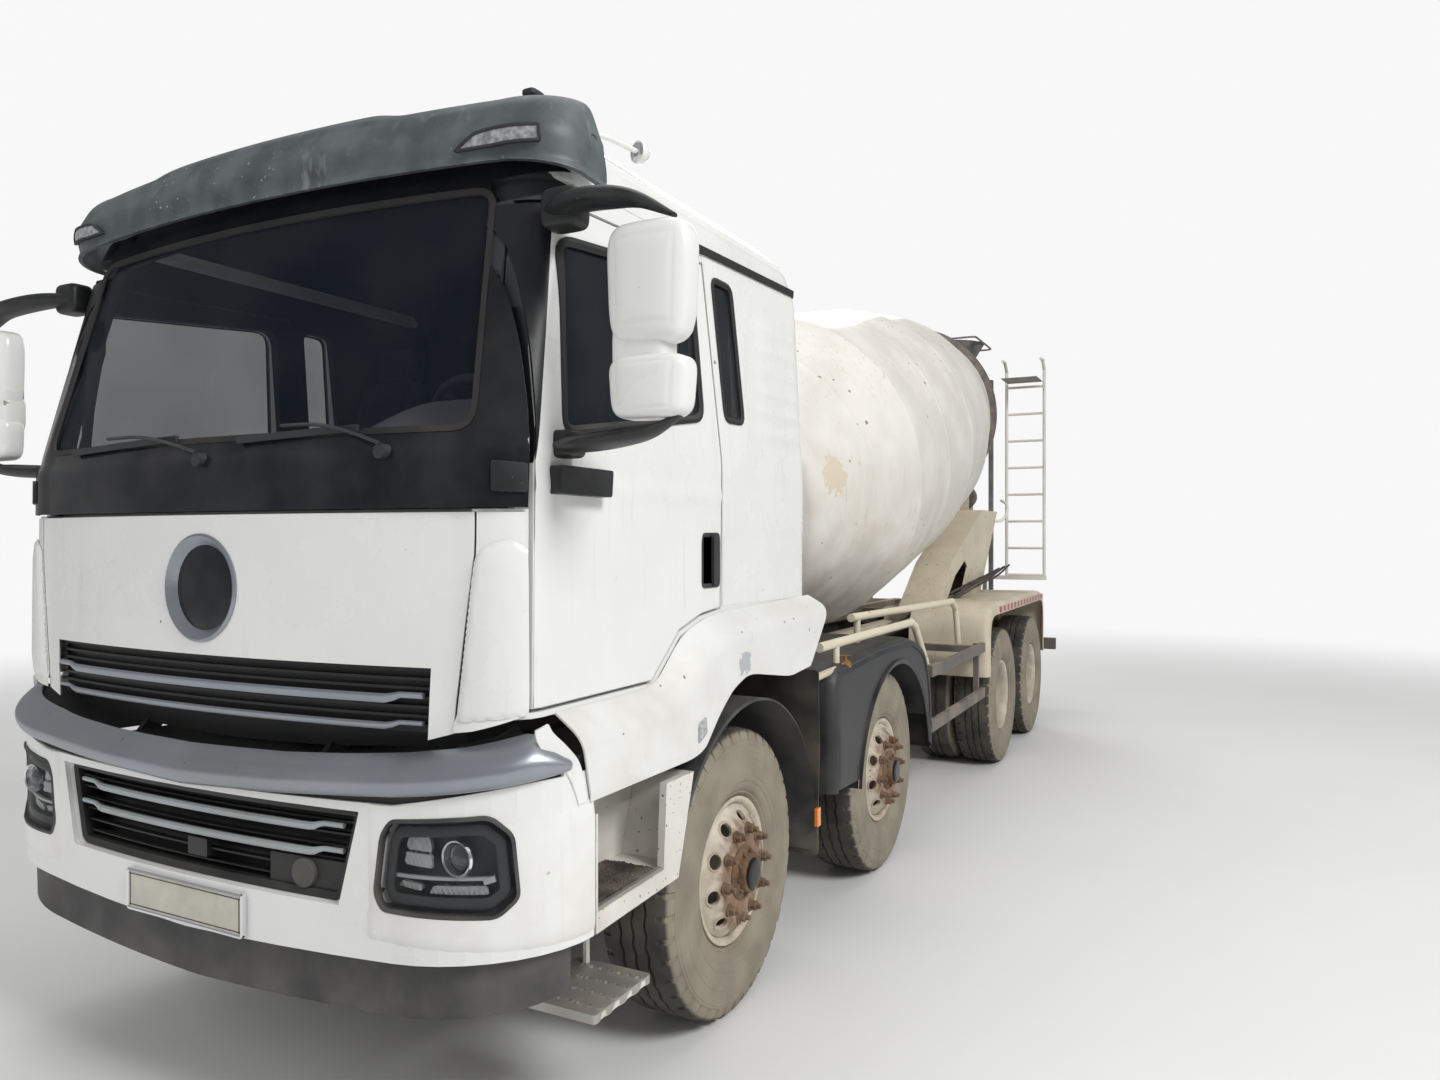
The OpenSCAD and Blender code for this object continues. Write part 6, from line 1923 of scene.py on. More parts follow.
@dataclass
class Wheel:
    """A wheel of one axle: tyre, rim, hub and nuts, single in front and twin behind."""

    number: int
    axle: float
    side: Side
    radius: float = WHEEL_RADIUS
    track: float = 1.018
    rear_track: float = 0.930
    twin: float = 0.165
    pitches: int = 42
    nut_circle: float = 0.1625
    nuts: int = 10
    tread_from: float = 0.525
    zigzag: float = 0.0045
    notch_depth: float = 0.0095
    notch_width: float = 0.004
    disc_radius: float = 0.2485
    disc_bore: float = 0.100
    hand_hole: tuple = (0.020, 0.029)
    hole_circle: float = 0.209
    holes: int = 10
    tread_columns: tuple = ((0.0045, 0.0120, 1, 0), (0.0065, 0.0, 1, 0), (0.044, 0.0003, 1, 0), (0.046, 0.0125, 1, 0),
                            (0.055, 0.0125, 1, 0), (0.057, 0.0007, 1, 0), (0.090, 0.0020, 0, 0),
                            (0.098, 0.0027, 0, 0.6), (0.1105, 0.0040, 0, 1), (0.1255, 0.0090, 0, 1),
                            (0.1335, 0.0195, 0, 1), (0.1375, 0.0345, 0, 0.8), (0.1415, 0.0485, 0, 0))
    wall: tuple = ((0.1440, 0.4920), (0.1456, 0.4820), (0.1472, 0.4805), (0.1474, 0.4765), (0.1466, 0.4750),
                   (0.1482, 0.4550), (0.1496, 0.4300), (0.1508, 0.4285), (0.1510, 0.4250), (0.1501, 0.4235),
                   (0.1500, 0.3950), (0.1489, 0.3680), (0.1499, 0.3665), (0.1498, 0.3630), (0.1486, 0.3615),
                   (0.1470, 0.3400), (0.1440, 0.336), (0.1430, 0.326), (0.1400, 0.315), (0.1320, 0.303),
                   (0.1270, 0.299), (0.1265, 0.293), (0.1190, 0.287), (0.1120, 0.278), (0.1120, 0.262))
    dish: tuple = ((0.090, 0.163), (0.178, 0.163), (0.190, 0.157), (0.230, 0.125), (0.2485, 0.100))
    deep_dish: tuple = ((0.090, -0.151), (0.160, -0.150), (0.182, -0.138), (0.228, -0.099), (0.2485, -0.082))

    @property
    def body(self) -> str:
        """The CAD body of the wheel."""
        return f"wheel_{self.number}_{self.side.word}"

    @property
    def steered(self) -> bool:
        """True on the two front axles."""
        return self.number < 3

    def build(self) -> None:
        """Builds tyre, rim and hub."""
        centres = [self.track] if self.steered else [self.rear_track + self.twin, self.rear_track - self.twin]
        self.tyres(centres)
        self.rims(centres)
        self.hub()

    def placed(self, part: Mesh, x: float) -> Mesh:
        """A mesh drawn round the X axis, put on this wheel's axle."""
        return on_side(moved(part, (x, back(self.axle), self.radius)), self.side)

    def tyre(self, plain: bool) -> tuple[Mesh, Grid]:
        """A tyre's skin and its tread flags.

        Columns run across the tread and down both walls, rows run round it. Radius is the
        tread's less its groove and notch depths, and inner columns shift sideways with a
        triangle wave, which makes the grooves zigzag.
        """
        half = np.array(self.tread_columns)
        half = np.column_stack([half[:, 0], self.radius - half[:, 1], half[:, 2:]])
        wall = np.column_stack([np.array(self.wall), np.zeros((len(self.wall), 2))])
        right = np.vstack([half, wall])
        columns = np.vstack([right[::-1] * [-1, 1, 1, 1], right])
        parts = np.array([0.0, 0.5] if plain else [0.0, 0.04, 0.28, 0.32, 0.5, 0.75])
        cut = np.array([0.0, 0.0] if plain else [0.0, 1.0, 1.0, 0.0, 0.0, 0.0])
        turn = (np.arange(self.pitches)[:, None] + parts).ravel()[:, None]
        notch = np.tile(cut, self.pitches)[:, None] * columns[:, 3]
        wave = columns[:, 2] * self.zigzag * (4 * np.abs(turn % 1 - 0.5) - 1)
        x = columns[:, 0] + wave - np.sign(columns[:, 0]) * notch * self.notch_width
        r = columns[:, 1] - notch * self.notch_depth
        a = turn / self.pitches * 2 * math.pi
        grid = np.stack([x, r * np.cos(a), r * np.sin(a)], -1)
        return (grid.reshape(-1, 3), closed_faces(*x.shape)), (r > self.tread_from).astype(float).ravel()

    def tyres(self, centres: Sequence[float]) -> None:
        """One tyre, or two on a twin wheel, the hidden one with a plainer tread."""
        made = [self.tyre(plain=i > 0) for i in range(len(centres))]
        part = joined([self.placed(m, x) for (m, _), x in zip(made, centres)])
        obj = piece(f"Tyre_{self.number}_{self.side.word}", part, self.body, TYRE,
                    replaces=(f"tyre_{self.number}_{self.side.word}",), smooth_angle=28)
        flagged(obj, "tread", np.concatenate([f for _, f in made]))

    def disc(self, profile: tuple) -> Mesh:
        """A wheel disc: a plate with ten oval hand holes, dished along a profile of (radius, x)."""
        oval = circle(1.0, 20) * self.hand_hole
        turns = [np.array([[math.cos(t), math.sin(t)], [-math.sin(t), math.cos(t)]])
                 for t in np.arange(self.holes) * 2 * math.pi / self.holes + 0.2]
        holes = [(oval + [self.hole_circle, 0.0]) @ t for t in turns]
        radii, depth = np.array(profile).T
        shifts = np.linspace(-0.006, 0.006, 5)

        def plate(u: Grid, v: Grid) -> Grid:
            """Points of the dished plate."""
            r = np.hypot(u, v)
            return np.stack([np.mean([np.interp(r + s, radii, depth) for s in shifts], axis=0), u, v], -1)

        rims = circle(self.disc_radius, 96), circle(self.disc_bore, 96)
        part = [thickened(patch(rims[0], plate, 0.0125, [rims[1], *holes]), 0.011)]
        lip = np.array([(-0.001, -0.013), (-0.001, 0.002), (0.003, 0.004), (0.007, 0.001), (0.004, -0.003)])
        part += [ring_bar(h, plate, lip, 0.02) for h in holes]
        return joined(part)

    def barrel(self) -> Mesh:
        """The rim's barrel: a ring with rolled flanges."""
        front = [(0.1125, 0.2755), (0.1165, 0.2785), (0.1215, 0.2775), (0.1230, 0.2725), (0.1195, 0.262),
                 (0.110, 0.2535), (0.097, 0.2480), (0.080, 0.2430)]
        well = [(-0.060, 0.252), (0.060, 0.252), (0.1125, 0.262)]
        return lathe([(-0.1125, 0.262), *well, *front, *[(-x, r) for x, r in front[::-1]]], 96, closed=True)

    def rims(self, centres: Sequence[float]) -> None:
        """The painted rim, with rust flags that fade out from the hub."""
        profile = self.dish if self.steered else self.deep_dish
        parts = [self.placed(joined([self.barrel(), self.disc(profile)]), centres[0])]
        if not self.steered:
            parts.append(self.placed(self.barrel(), centres[1]))
        part = joined(parts)
        obj = piece(f"Rim_{self.number}_{self.side.word}", part, self.body, RIM,
                    replaces=(f"rim_{self.number}_{self.side.word}",), smooth_angle=40)
        r = np.hypot(part[0][:, 1] - back(self.axle), part[0][:, 2] - self.radius)
        flagged(obj, "rust", 1 - soft_step(r, 0.14, 0.262))

    def hub(self) -> None:
        """The rusty hub with its nuts and studs, the front's dark oil cap, and the lock ring."""
        if self.steered:
            shape = [(0.120, 0.104), (0.168, 0.1035), (0.174, 0.096), (0.180, 0.089), (0.182, 0.0745), (0.198, 0.0735),
                     (0.204, 0.070), (0.206, 0.030)]
            x, face, small, small_r, small_n = self.track, 0.163, 0.1815, 0.081, 10
        else:
            shape = [(-0.20, 0.118), (-0.150, 0.119), (-0.145, 0.110), (-0.105, 0.104), (-0.02, 0.094), (0.012, 0.091),
                     (0.016, 0.088), (0.017, 0.060), (0.024, 0.056), (0.026, 0.02)]
            x, face, small, small_r, small_n = self.rear_track + self.twin, -0.150, 0.016, 0.073, 12
        nut = joined([lathe([(0, 0.0235), (0.005, 0.0235), (0.007, 0.0205)], 20),
                      lathe([(0.006, 0.0190), (0.027, 0.0190), (0.030, 0.0160)], 6),
                      lathe([(0.030, 0.0105), (0.046, 0.0105), (0.048, 0.0085)], 12)])
        bolt = lathe([(0, 0.0085), (0.008, 0.0085), (0.0095, 0.0070)], 6)
        parts = [lathe(shape, 48)]
        for one, count, radius, at in ((nut, self.nuts, self.nut_circle, face), (bolt, small_n, small_r, small)):
            for k in range(count):
                turn = Matrix.Rotation(2 * math.pi * (k + 0.15) / count, 4, "X")
                parts.append(moved(moved(one, (at, radius, 0)), turn=turn))
        parts.append(lathe([(0.113, 0.2790), (0.1175, 0.2800), (0.1175, 0.2860), (0.111, 0.2880)], 96, closed=True))
        piece(f"Hub_{self.number}_{self.side.word}", self.placed(joined(parts), x), self.body, RUST)
        if self.steered:
            cap = lathe([(0.205, 0.058), (0.2135, 0.057), (0.2165, 0.050), (0.2178, 0.036), (0.2178, 0.012)], 40)
            piece(f"Hub_cap_{self.number}_{self.side.word}", self.placed(cap, x), self.body, GLOSS_BLACK)


@dataclass
class Running:
    """All eight wheels and the finishes of axles, springs and knuckles."""

    axles: tuple = (1.475, 3.325, 6.275, 7.625)

    def build(self) -> None:
        """Builds every wheel and dresses the CAD running gear."""
        for number, axle in enumerate(self.axles, 1):
            for side in Side:
                Wheel(number, axle, side).build()
        for node in ("axles", "leaf_springs", "knuckle_1_left", "knuckle_1_right", "knuckle_2_left", "knuckle_2_right"):
            wear_finish(node, CHASSIS)


# ---------------------------------------------------------------- drum


@dataclass
class Drum:
    """The mixing drum: a welded shell of cones round an axis that rises to the rear."""

    foot: tuple = (0.0, 3.100, 1.960)
    tilt: float = math.radians(13)
    stations: tuple = (0.0, 0.12, 1.25, 2.75, 3.70, 4.65, 5.45)
    radii: tuple = (0.350, 0.800, 1.100, 1.100, 1.030, 0.850, 0.590)
    seams: tuple = (0.12, 0.70, 1.25, 2.00, 2.75, 3.70, 4.60, 5.25)
    long_welds: tuple = ((0.9, 2.0), (2.6, 2.0), (4.4, 3.3), (5.9, 3.3))
    wall: float = 0.007
    pads: int = 16
    bolts: int = 24

    def place(self, s: Grid, r: Grid, a: Grid) -> Grid:
        """Points at a distance s along the axis, radius r and angle a."""
        along = np.array([0.0, math.cos(self.tilt), math.sin(self.tilt)])
        over = np.array([0.0, -math.sin(self.tilt), math.cos(self.tilt)])
        foot = np.array([self.foot[0], back(self.foot[1]), self.foot[2]])
        s, r, a = (v[..., None] for v in np.broadcast_arrays(s, r, a))
        return foot + s * along + r * (np.cos(a) * np.array([1.0, 0, 0]) + np.sin(a) * over)

    def radius(self, s: Grid) -> Grid:
        """The shell's radius: cones joined by short bends."""
        window = np.clip(np.abs(np.asarray(s)) * 0.4, 0.004, 0.035)
        return np.mean([np.interp(s + k * window, self.stations, self.radii) for k in np.linspace(-1, 1, 7)], axis=0)

    def build(self) -> None:
        """Builds shell, mouth rim and drive flange, and dresses ring, blades and rollers."""
        self.shell()
        flange = [(-0.030, 0.16), (-0.030, 0.30), (-0.006, 0.335), (0.004, 0.345), (0.004, 0.16)]
        ring, bolt = lathe(flange, 64, closed=True), lathe([(-0.050, 0.011), (-0.032, 0.0125), (-0.028, 0.0125)], 6)
        bolts = [moved(moved(bolt, (0, 0.27, 0)), turn=Matrix.Rotation(k * math.pi / 12, 4, "X"))
                 for k in range(self.bolts)]
        piece("Drum_flange", self.laid(joined([ring, *bolts])), "drum", CREAM)
        lip = lathe([(5.436, 0.592), (5.452, 0.601), (5.462, 0.594), (5.458, 0.580), (5.440, 0.578)], 96, closed=True)
        piece("Drum_mouth_rim", self.laid(lip), "drum", STEEL)
        pad = moved(lathe([(4.70, 0.018), (4.90, 0.018)], 4), (0, float(self.radius(np.array(4.8))) + 0.006, 0))
        pads = [moved(pad, turn=Matrix.Rotation(k * math.pi / 8, 4, "X")) for k in range(self.pads)]
        piece("Drum_ring_pads", self.laid(joined(pads)), "drum", CREAM)
        for node, finish in (("drum_ring", STEEL), ("drum_blades", CEMENT), ("drum_gearbox", CHASSIS),
                             ("support_rollers", STEEL), ("drum_frame", CREAM)):
            wear_finish(node, finish)

    def laid(self, part: Mesh) -> Mesh:
        """A mesh drawn round the X axis, laid along the drum's axis."""
        x, y, z = part[0].T
        return self.place(x, np.hypot(y, z), np.arctan2(z, y)), part[1]

    def shell(self) -> None:
        """The shell: radius of the cones, plus a weld bead at each seam and shallow dents.

        The bead is a bell curve 2.6 mm high. The dent field is a sum of slow waves in s and a.
        """
        length = self.stations[-1]
        extra = (np.array(self.seams)[:, None] + np.array([-0.010, -0.005, 0.0, 0.005, 0.010])).ravel()
        s = np.unique(np.concatenate([np.linspace(0.0, length, 110), extra[extra < length]]))
        angles = np.array([angle for angle, _ in self.long_welds])
        lines = np.concatenate([angles + d for d in (-0.008, 0.0, 0.008)])
        a = np.sort(np.concatenate([np.linspace(0, 2 * math.pi, 176, endpoint=False), lines]))[None, :]
        col = s[:, None]
        bead = sum(0.0026 * np.exp(-(((col - seam) / 0.005) ** 2)) for seam in self.seams)
        along = sum(0.0022 * np.exp(-(((a - line) / 0.0055) ** 2)) * (np.abs(col - mid) < 0.72)
                    for line, mid in self.long_welds)
        dent = 0.0022 * np.sin(5 * a + 2.3 * col) * np.sin(3.1 * col + 2 * a) + 0.0015 * np.sin(9 * a - 1.7 * col)
        ends = soft_step(col, 0.1, 0.4) * (1 - soft_step(col, 5.1, 5.4))
        outer = self.radius(col) + bead + along + dent * ends - 0.0015
        inner = (self.radius(col) - self.wall) + 0 * a
        pole = np.full_like(a, 0.002)
        r = np.concatenate([pole, outer, inner[::-1], pole])
        x = np.concatenate([[0.0], s, s[::-1] + np.where(s[::-1] < 0.05, 0.012, 0.0), [0.012]])[:, None]
        x[len(s)] = x[len(s) + 1] = length
        piece("Drum_shell", capped_tube(self.place(x, r, a)), "drum", DRUM_WHITE, replaces=("drum_shell",),
              smooth_angle=40)


# ---------------------------------------------------------------- wings, guards and rear


def strip_over(path: Grid, across: Sequence[tuple[float, float]], wall: float) -> Mesh:
    """A bent sheet: a side outline in (distance back, height) carried across the truck.

    Row i, column j is the outline's point i moved in by the j-th drop along the
    outline's normal, at the j-th x. The sheet then gets its wall.
    """
    tangent = unit(np.gradient(path, axis=0))
    normal = np.stack([-tangent[:, 1], tangent[:, 0]], -1)
    x, drop = np.array(across).T
    point = path[:, None] - normal[:, None] * drop[None, :, None]
    grid = np.stack([np.broadcast_to(x, point.shape[:2]), back(point[..., 0]), point[..., 1]], -1)
    return thickened(flipped(sheet(grid)), wall)


def open_bend(points: Sequence[tuple[float, float]], radius: float, step: float = 0.03) -> Grid:
    """An open line whose inner corners are rounded and whose spans are cut to a step."""
    p = np.asarray(points, float)
    bent = rounded(p, radius)
    steps = len(bent) // len(p)
    line = np.vstack([p[:1], bent[steps:-steps], p[-1:]])
    cuts = lambda span: np.linspace(0, 1, max(1, int(np.linalg.norm(span) / step)), endpoint=False)[:, None]
    return np.vstack([a + (b - a) * cuts(b - a) for a, b in zip(line, line[1:])] + [line[-1:]])


@dataclass
class Guards:
    """Mudguards, rear wings with their tape, side rails, pipes and flaps."""

    wing: tuple = ((5.630, 0.760), (5.630, 1.120), (5.700, 1.245), (5.830, 1.300), (8.080, 1.300), (8.205, 1.240),
                   (8.260, 1.110), (8.260, 0.700))
    mid: tuple = ((2.330, 0.640), (2.330, 1.215), (3.000, 1.255), (3.600, 1.255), (3.900, 1.150), (4.025, 0.900),
                  (4.035, 0.540))
    arch: tuple = (3.325, 0.500, 0.640)
    tape: tuple = (1.226, 0.075, 0.045)
    tape_run: tuple = (6.05, 8.0)

    def build(self) -> None:
        """Builds both sides and dresses the CAD guards."""
        for side in Side:
            self.rear_wing(side)
            self.mid_guard(side)
            self.flap(side)
        self.pipes()
        for node, finish in (("side_guards", GUARD_PAINT), ("tanks", TANK), ("chassis_frame", CHASSIS),
                             ("engine_block", CHASSIS), ("rear_guard", CHASSIS)):
            wear_finish(node, finish)

    def rear_wing(self, side: Side) -> None:
        """A rear wing: a bent sheet with a rounded, turned-down outer edge, ribs and tape."""
        across = [(0.632, 0.0), (0.90, 0.0), (1.16, 0.0), (1.205, 0.001), (1.228, 0.007), (1.240, 0.020),
                  (1.244, 0.042), (1.245, 0.085)]
        path = open_bend(self.wing, 0.11)
        skin = strip_over(path, across, 0.004)
        x, y, z = skin[0].T
        skin[0][:, 2] += 0.0025 * np.sin(y * 7 + 9 * x) * (z > 1.27)
        ribs = [strip_over(path[k: k + 2] + [[0, 0], [0.018, 0]], [(0.64, -0.004), (1.19, -0.004)], 0.006)
                for k in np.searchsorted(path[:, 0], (6.27, 7.62))]
        side_piece("Rear_wing", joined([skin, *ribs]), side, "chassis", CREAM,
                   replaces=("rear_wings",) if side is Side.LEFT else (), smooth_angle=50)
        low, long, high = self.tape
        for word, start, finish in (("red", 0.0, TAPE_RED), ("white", long, TAPE_WHITE)):
            blocks = []
            for y0 in np.arange(*self.tape_run, 2 * long) + start:
                box = np.array([(y0, low), (y0 + long, low), (y0 + long, low + high), (y0, low + high)])
                blocks.append(thickened(patch(box, side_plane(1.2520), 0.05), 0.0015))
            piece(f"Tape_{word}_{side.word}", on_side(joined(blocks), side), "chassis", finish)

    def mid_guard(self, side: Side) -> None:
        """The second axle's guard: a side plate with the wheel's arch cut out, bent into front and top."""
        y, z, r = self.arch
        a = np.linspace(math.radians(172), math.radians(8), 40)
        arch = np.stack([y + r * np.cos(a), z + r * np.sin(a)], -1)
        top = open_bend(self.mid, 0.12)[::-1]
        high = top[top[:, 0] > 2.36]
        outline = np.vstack([[(2.36, 0.650)], arch[arch[:, 1] > 0.60], high - np.array([0.0, 0.012])])
        outline = outline[outline[:, 1] > 0.53]
        face = lambda u, v: np.stack([1.236 - 0.09 * (1 - soft_step(u, 2.33, 2.42)) ** 2, back(u), v], -1)
        plate = thickened(patch(outline, face, 0.03), 0.005)
        across = [(0.662, 0.0), (0.90, 0.0), (1.12, 0.0), (1.19, 0.002), (1.218, 0.010), (1.232, 0.024), (1.237, 0.045)]
        shell = strip_over(open_bend(self.mid, 0.12), across, 0.005)
        flange = sweep(np.column_stack([np.full(len(arch), 1.238), back(arch[:, 0]), arch[:, 1]]), np.array(
            [(-0.012, -0.004), (0.010, -0.004), (0.012, 0.004), (-0.012, 0.012)]), up=(1, 0, 0))
        inner_a = np.linspace(math.radians(176), math.radians(20), 48)
        liner = np.stack([y + 0.63 * np.cos(inner_a), WHEEL_RADIUS + 0.63 * np.sin(inner_a)], -1)
        lining = strip_over(liner, [(0.70, 0.0), (0.95, 0.0), (1.225, 0.0)], 0.004)
        side_piece("Mid_guard", joined([plate, shell, flange, lining]), side, "chassis", GUARD_BLACK,
                   replaces=("mid_mudguards",) if side is Side.LEFT else (), smooth_angle=45)

    def flap(self, side: Side) -> None:
        """The flap behind the first wheel with its amber reflector."""
        ring = rounded([(0.770, 0.420), (1.232, 0.420), (1.240, 1.240), (0.770, 1.240)], 0.02)
        hang = lambda u, v: np.stack([u, back(2.128 + 0.006 * np.sin(v * 9) + 0.05 * (1.24 - v) ** 2 * 0.3), v], -1)
        side_piece("Front_flap_rubber", thickened(patch(ring, hang, 0.04), 0.006), side, "chassis", RUBBER)
        box = thickened(patch(rectangle(2.085, 0.560, 2.125, 0.640, 0.006), side_plane(1.249), 0.02), 0.014)
        side_piece("Amber_reflector", box, side, "chassis", AMBER, bevel=0.002)

    def pipes(self) -> None:
        """Water pipe with a brass valve behind the cab, a curved hand rail and hydraulic hoses."""
        run = tube([(1.175, back(2.235), 1.185), (1.195, back(2.40), 1.200), (1.21, back(2.53), 1.208)], 0.017)
        piece("Water_pipe", run, "chassis", CREAM)
        valve = [moved(lathe([(-0.03, 0.020), (-0.01, 0.027), (0.02, 0.027), (0.03, 0.019)], 12), (0, 0, 0),
                       Matrix.Rotation(math.pi / 2, 4, "Z")), tube([(0, 0.0, 0.0), (0, 0.0, 0.045)], 0.009),
                 tube([(-0.028, 0.0, 0.045), (0.028, 0.006, 0.047)], 0.006)]
        piece("Water_valve", moved(joined(valve), (1.212, back(2.545), 1.209)), "chassis", BRASS)
        rail = tube([(0.805, back(8.02), 1.985), (0.86, back(8.10), 1.99), (0.89, back(8.20), 2.05),
                     (0.88, back(8.28), 2.15), (0.815, back(8.31), 2.20)], 0.014)
        piece("Frame_hand_rails", both_sides(rail), "chassis", LADDER_WHITE)
        lines = []
        for k, (x, drop, radius) in enumerate(((0.52, 0.00, 0.012), (0.57, 0.05, 0.012), (0.62, 0.02, 0.012 - 0.002))):
            run = [(x, back(2.62), 1.05), (x + 0.02, back(3.4), 1.16 - drop), (x - 0.03, back(4.6), 1.10),
                   (x + 0.05, back(5.7), 1.18 - drop), (x + 0.30, back(6.7), 1.40), (x + 0.30, back(7.6), 1.46),
                   (x + 0.26, back(8.4), 1.50 + 0.02 * k)]
            lines.append(tube(run, radius, 10))
        piece("Service_lines", joined(lines), "chassis", RUBBER)
        feed = [tube([(0.20 + 0.07 * k, back(2.30), 1.10), (0.22 + 0.07 * k, back(2.42), 1.45 + 0.05 * k),
                      (0.15 + 0.06 * k, back(2.60), 1.72 + 0.03 * k), (0.08 + 0.05 * k, back(2.72), 1.80)], 0.016, 10)
                for k in range(3)]
        piece("Pump_hoses", joined(feed), "chassis", RUBBER)


@dataclass
class RearEnd:
    """Hopper, trough, chute, ladder, lamps and rear plate."""

    lens_at: float = 9.402
    lens_low: float = 0.628
    lens_height: float = 0.064
    lens_crown: float = 0.004
    flute: float = 0.0006

    def build(self) -> None:
        """Dresses the CAD rear parts and adds rims, brackets and lenses."""
        for node, finish in (("hopper", CEMENT), ("discharge_trough", CEMENT), ("ladder", LADDER_WHITE),
                             ("chute", CEMENT), ("chute_pivot", STEEL)):
            wear_finish(node, finish)
        self.hopper_rim()
        self.ladder_plate()
        self.lamps()

    def hopper_rim(self) -> None:
        """A rolled bar round the hopper's top."""
        ring = rectangle(-0.560, 8.300, 0.560, 9.100, 0.06)
        face = lambda u, v: np.stack([u, back(v), np.full_like(u, 3.888)], -1)
        piece("Hopper_rim", ring_bar(ring, face, circle(0.010, 10)), "chassis", STEEL)

    def ladder_plate(self) -> None:
        """A chequered standing plate at the ladder's top: lozenges raised from a flat sheet."""
        x = np.linspace(0.815, 1.165, 90)[:, None]
        y = np.linspace(8.30, 8.68, 96)[None, :]
        lozenge = np.clip(np.sin((x + y) * 150) * np.sin((x - y) * 150) - 0.55, 0, 0.45) / 0.45
        grid = np.stack([x + 0 * y, back(y) + 0 * x, 3.432 + 0.003 * lozenge], -1)
        piece("Ladder_plate", thickened(sheet(grid), 0.005), "chassis", STEEL)

    def lens_dome(self, u: Grid, v: Grid) -> Grid:
        """A lens's face: half a sine wave high, with fine flutes across."""
        crown = self.lens_crown * np.sin((v - self.lens_low) / self.lens_height * math.pi)
        return np.stack([-u, np.full_like(u, back(self.lens_at)) + crown + self.flute * np.sin(u * 900), v], -1)

    def lamps(self) -> None:
        """Three lenses in each rear lamp, and a blank plate between them."""
        for side in Side:
            for word, x0, x1, finish in (("amber", 1.065, 1.165, AMBER), ("red", 0.955, 1.055, RED),
                                         ("clear", 0.845, 0.945, CLEAR_LENS)):
                lens = thickened(patch(rectangle(-x1, self.lens_low, -x0, 0.692, 0.008), self.lens_dome, 0.012), 0.012)
                piece(f"Rear_lens_{word}_{side.word}", on_side(lens, side), "chassis", finish)
            box = thickened(patch(rectangle(-1.178, 0.617, -0.822, 0.703, 0.01), rear_plane(9.384), 0.03), 0.010)
            side_piece("Rear_lamp_box", box, side, "chassis", PLASTIC, bevel=0.002)
        blank = patch(rectangle(-0.26, 0.600, 0.26, 0.712, 0.008), rear_plane(9.388), 0.05)
        piece("Rear_plate_blank", thickened(blank, 0.004), "chassis", PLATE)


# ---------------------------------------------------------------- studio


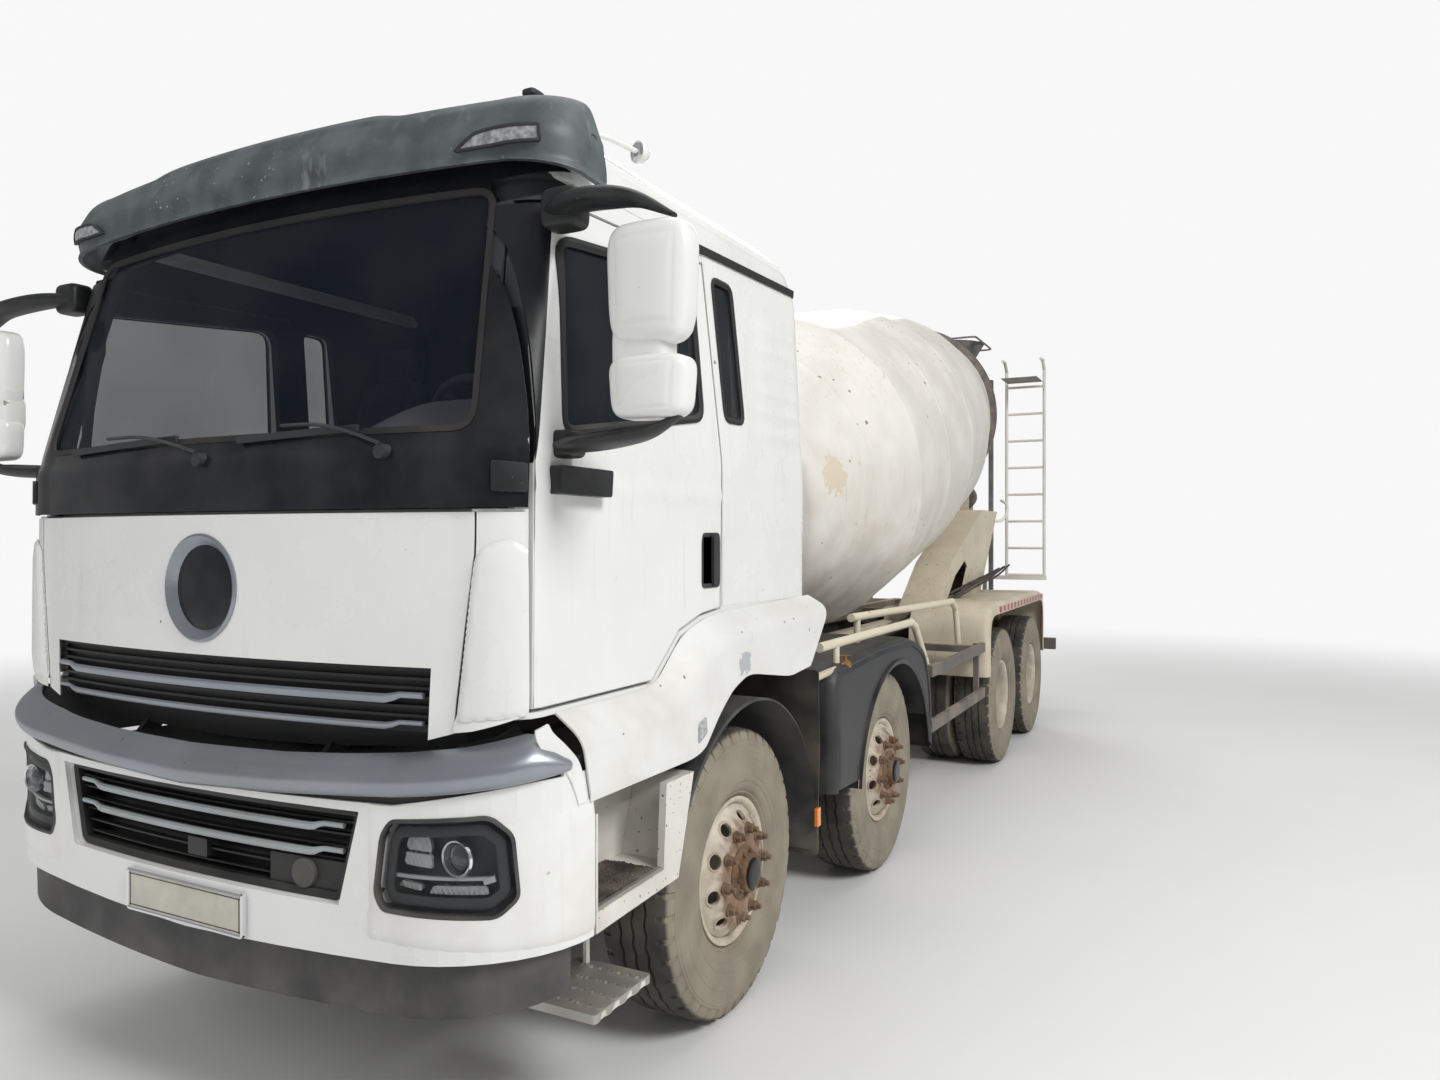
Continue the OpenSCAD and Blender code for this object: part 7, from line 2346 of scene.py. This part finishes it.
@dataclass
class Studio:
    """Plain pale floor, soft light, a white surround and the camera."""

    camera_at: tuple = (2.818, -6.638, 1.826)
    yaw: float = 26.95
    pitch: float = -0.17
    roll: float = 0.03
    lens: float = 24.66
    ambient: float = 0.40
    gloss: float = 0.30
    surround_seen: float = 0.94
    floor_radius: float = 70.0
    floor_colours: tuple = ((0.74, 0.74, 0.735), (0.80, 0.80, 0.795))
    floor_roughness: float = 0.85
    fade: tuple = (6.5, 15.0)

    def build(self) -> None:
        """Builds surround, floor, lamps and camera."""
        self.surround()
        self.floor()
        self.lamp("Key", (10.5, -6.5, 9.5), (0.2, -2.0, 1.4), 4.0, 1150.0)
        self.lamp("Fill", (-6.0, -12.0, 6.0), (0.0, -2.0, 1.4), 7.0, 300.0, False)
        self.lamp("Top", (0.0, 0.5, 11.0), (0.0, 0.0, 1.0), 9.0, 300.0)
        self.lamp("Back", (-5.0, 11.0, 8.0), (0.0, 2.0, 1.6), 6.0, 420.0)
        self.camera()

    def surround(self) -> None:
        """A world that is white to the camera, to gloss and through glass, and softer as light."""
        world = bpy.data.worlds.new("Surround")
        bpy.context.scene.world = world
        world.use_nodes = True
        w = Wiring(world.node_tree)
        world.node_tree.nodes.clear()
        path = w.add("LightPath")
        seen = w.math("MAXIMUM", path.outputs["Is Camera Ray"], path.outputs["Is Transmission Ray"])
        strength = w.math("ADD", self.ambient, w.math("MULTIPLY", seen, self.surround_seen - self.ambient))
        gloss = w.math("MULTIPLY", path.outputs["Is Glossy Ray"], self.gloss - self.ambient)
        light = w.add("Background", Color=(1.0, 1.0, 1.0), Strength=w.math("ADD", strength, gloss))
        out = w.add("OutputWorld")
        world.node_tree.links.new(light.outputs[0], out.inputs[0])

    def floor(self) -> None:
        """A flat disc with a faint grain, which fades into the surround far from the truck."""
        rim = np.column_stack([circle(self.floor_radius, 96), np.zeros(96)])
        mesh = bpy.data.meshes.new("Floor")
        mesh.from_pydata(rim.tolist(), [], [tuple(range(len(rim)))])
        obj = bpy.data.objects.new("Floor", mesh)
        bpy.context.scene.collection.objects.link(obj)
        material, w, shader = new_material("Pale floor")
        w.feed(shader.inputs["Base Color"], w.mix(w.noise(0.8, 4.0), *self.floor_colours))
        shader.inputs["Roughness"].default_value = self.floor_roughness
        far = w.add("VectorMath", operation="LENGTH")
        w.feed(far.inputs[0], w.place)
        seen = w.add("LightPath").outputs["Is Camera Ray"]
        glow = w.add("Emission", Color=(self.surround_seen,) * 3, Strength=1.0)
        blend = w.add("MixShader", Fac=w.math("MULTIPLY", seen, w.ramp(far.outputs["Value"], *self.fade)))
        w.feed(blend.inputs[1], shader.outputs[0])
        w.feed(blend.inputs[2], glow.outputs[0])
        w.feed(material.node_tree.nodes["Material Output"].inputs["Surface"], blend.outputs[0])
        mesh.materials.append(material)

    def lamp(self, name: str, place: Sequence[float], aim: Sequence[float], size: float, power: float,
             mirrored_in_gloss: bool = True) -> None:
        """A square soft box that looks at a point."""
        data = bpy.data.lights.new(name, "AREA")
        data.size, data.energy = size, power
        lamp = bpy.data.objects.new(name, data)
        lamp.location = place
        lamp.visible_glossy = mirrored_in_gloss
        lamp.rotation_euler = (Vector(aim) - Vector(place)).to_track_quat("-Z", "Y").to_euler()
        bpy.context.scene.collection.objects.link(lamp)

    def camera(self) -> None:
        """The camera at the photograph's place and angle."""
        data = bpy.data.cameras.new("Camera")
        data.sensor_width, data.lens, data.clip_end = 36.0, self.lens, 300.0
        camera = bpy.data.objects.new("Camera", data)
        yaw, pitch = math.radians(self.yaw), math.radians(self.pitch)
        aim = Vector((-math.sin(yaw) * math.cos(pitch), math.cos(yaw) * math.cos(pitch), math.sin(pitch)))
        turn = aim.to_track_quat("-Z", "Y").to_matrix() @ Matrix.Rotation(-math.radians(self.roll), 3, "Z")
        camera.matrix_world = Matrix.Translation(self.camera_at) @ turn.to_4x4()
        bpy.context.scene.collection.objects.link(camera)
        bpy.context.scene.camera = camera


def main() -> None:
    logging.basicConfig(level=logging.INFO, format="%(name)s: %(message)s")
    bpy.context.scene.view_settings.view_transform = "Standard"
    Studio().build()
    for group in (Cab, FrontEnd, SunVisor, RoofFittings, Room, Mirrors, Fenders, Steps, Running, Drum, Guards, RearEnd):
        group().build()
        log.info("%s done", group.__name__)


if __name__ == "__main__":
    main()
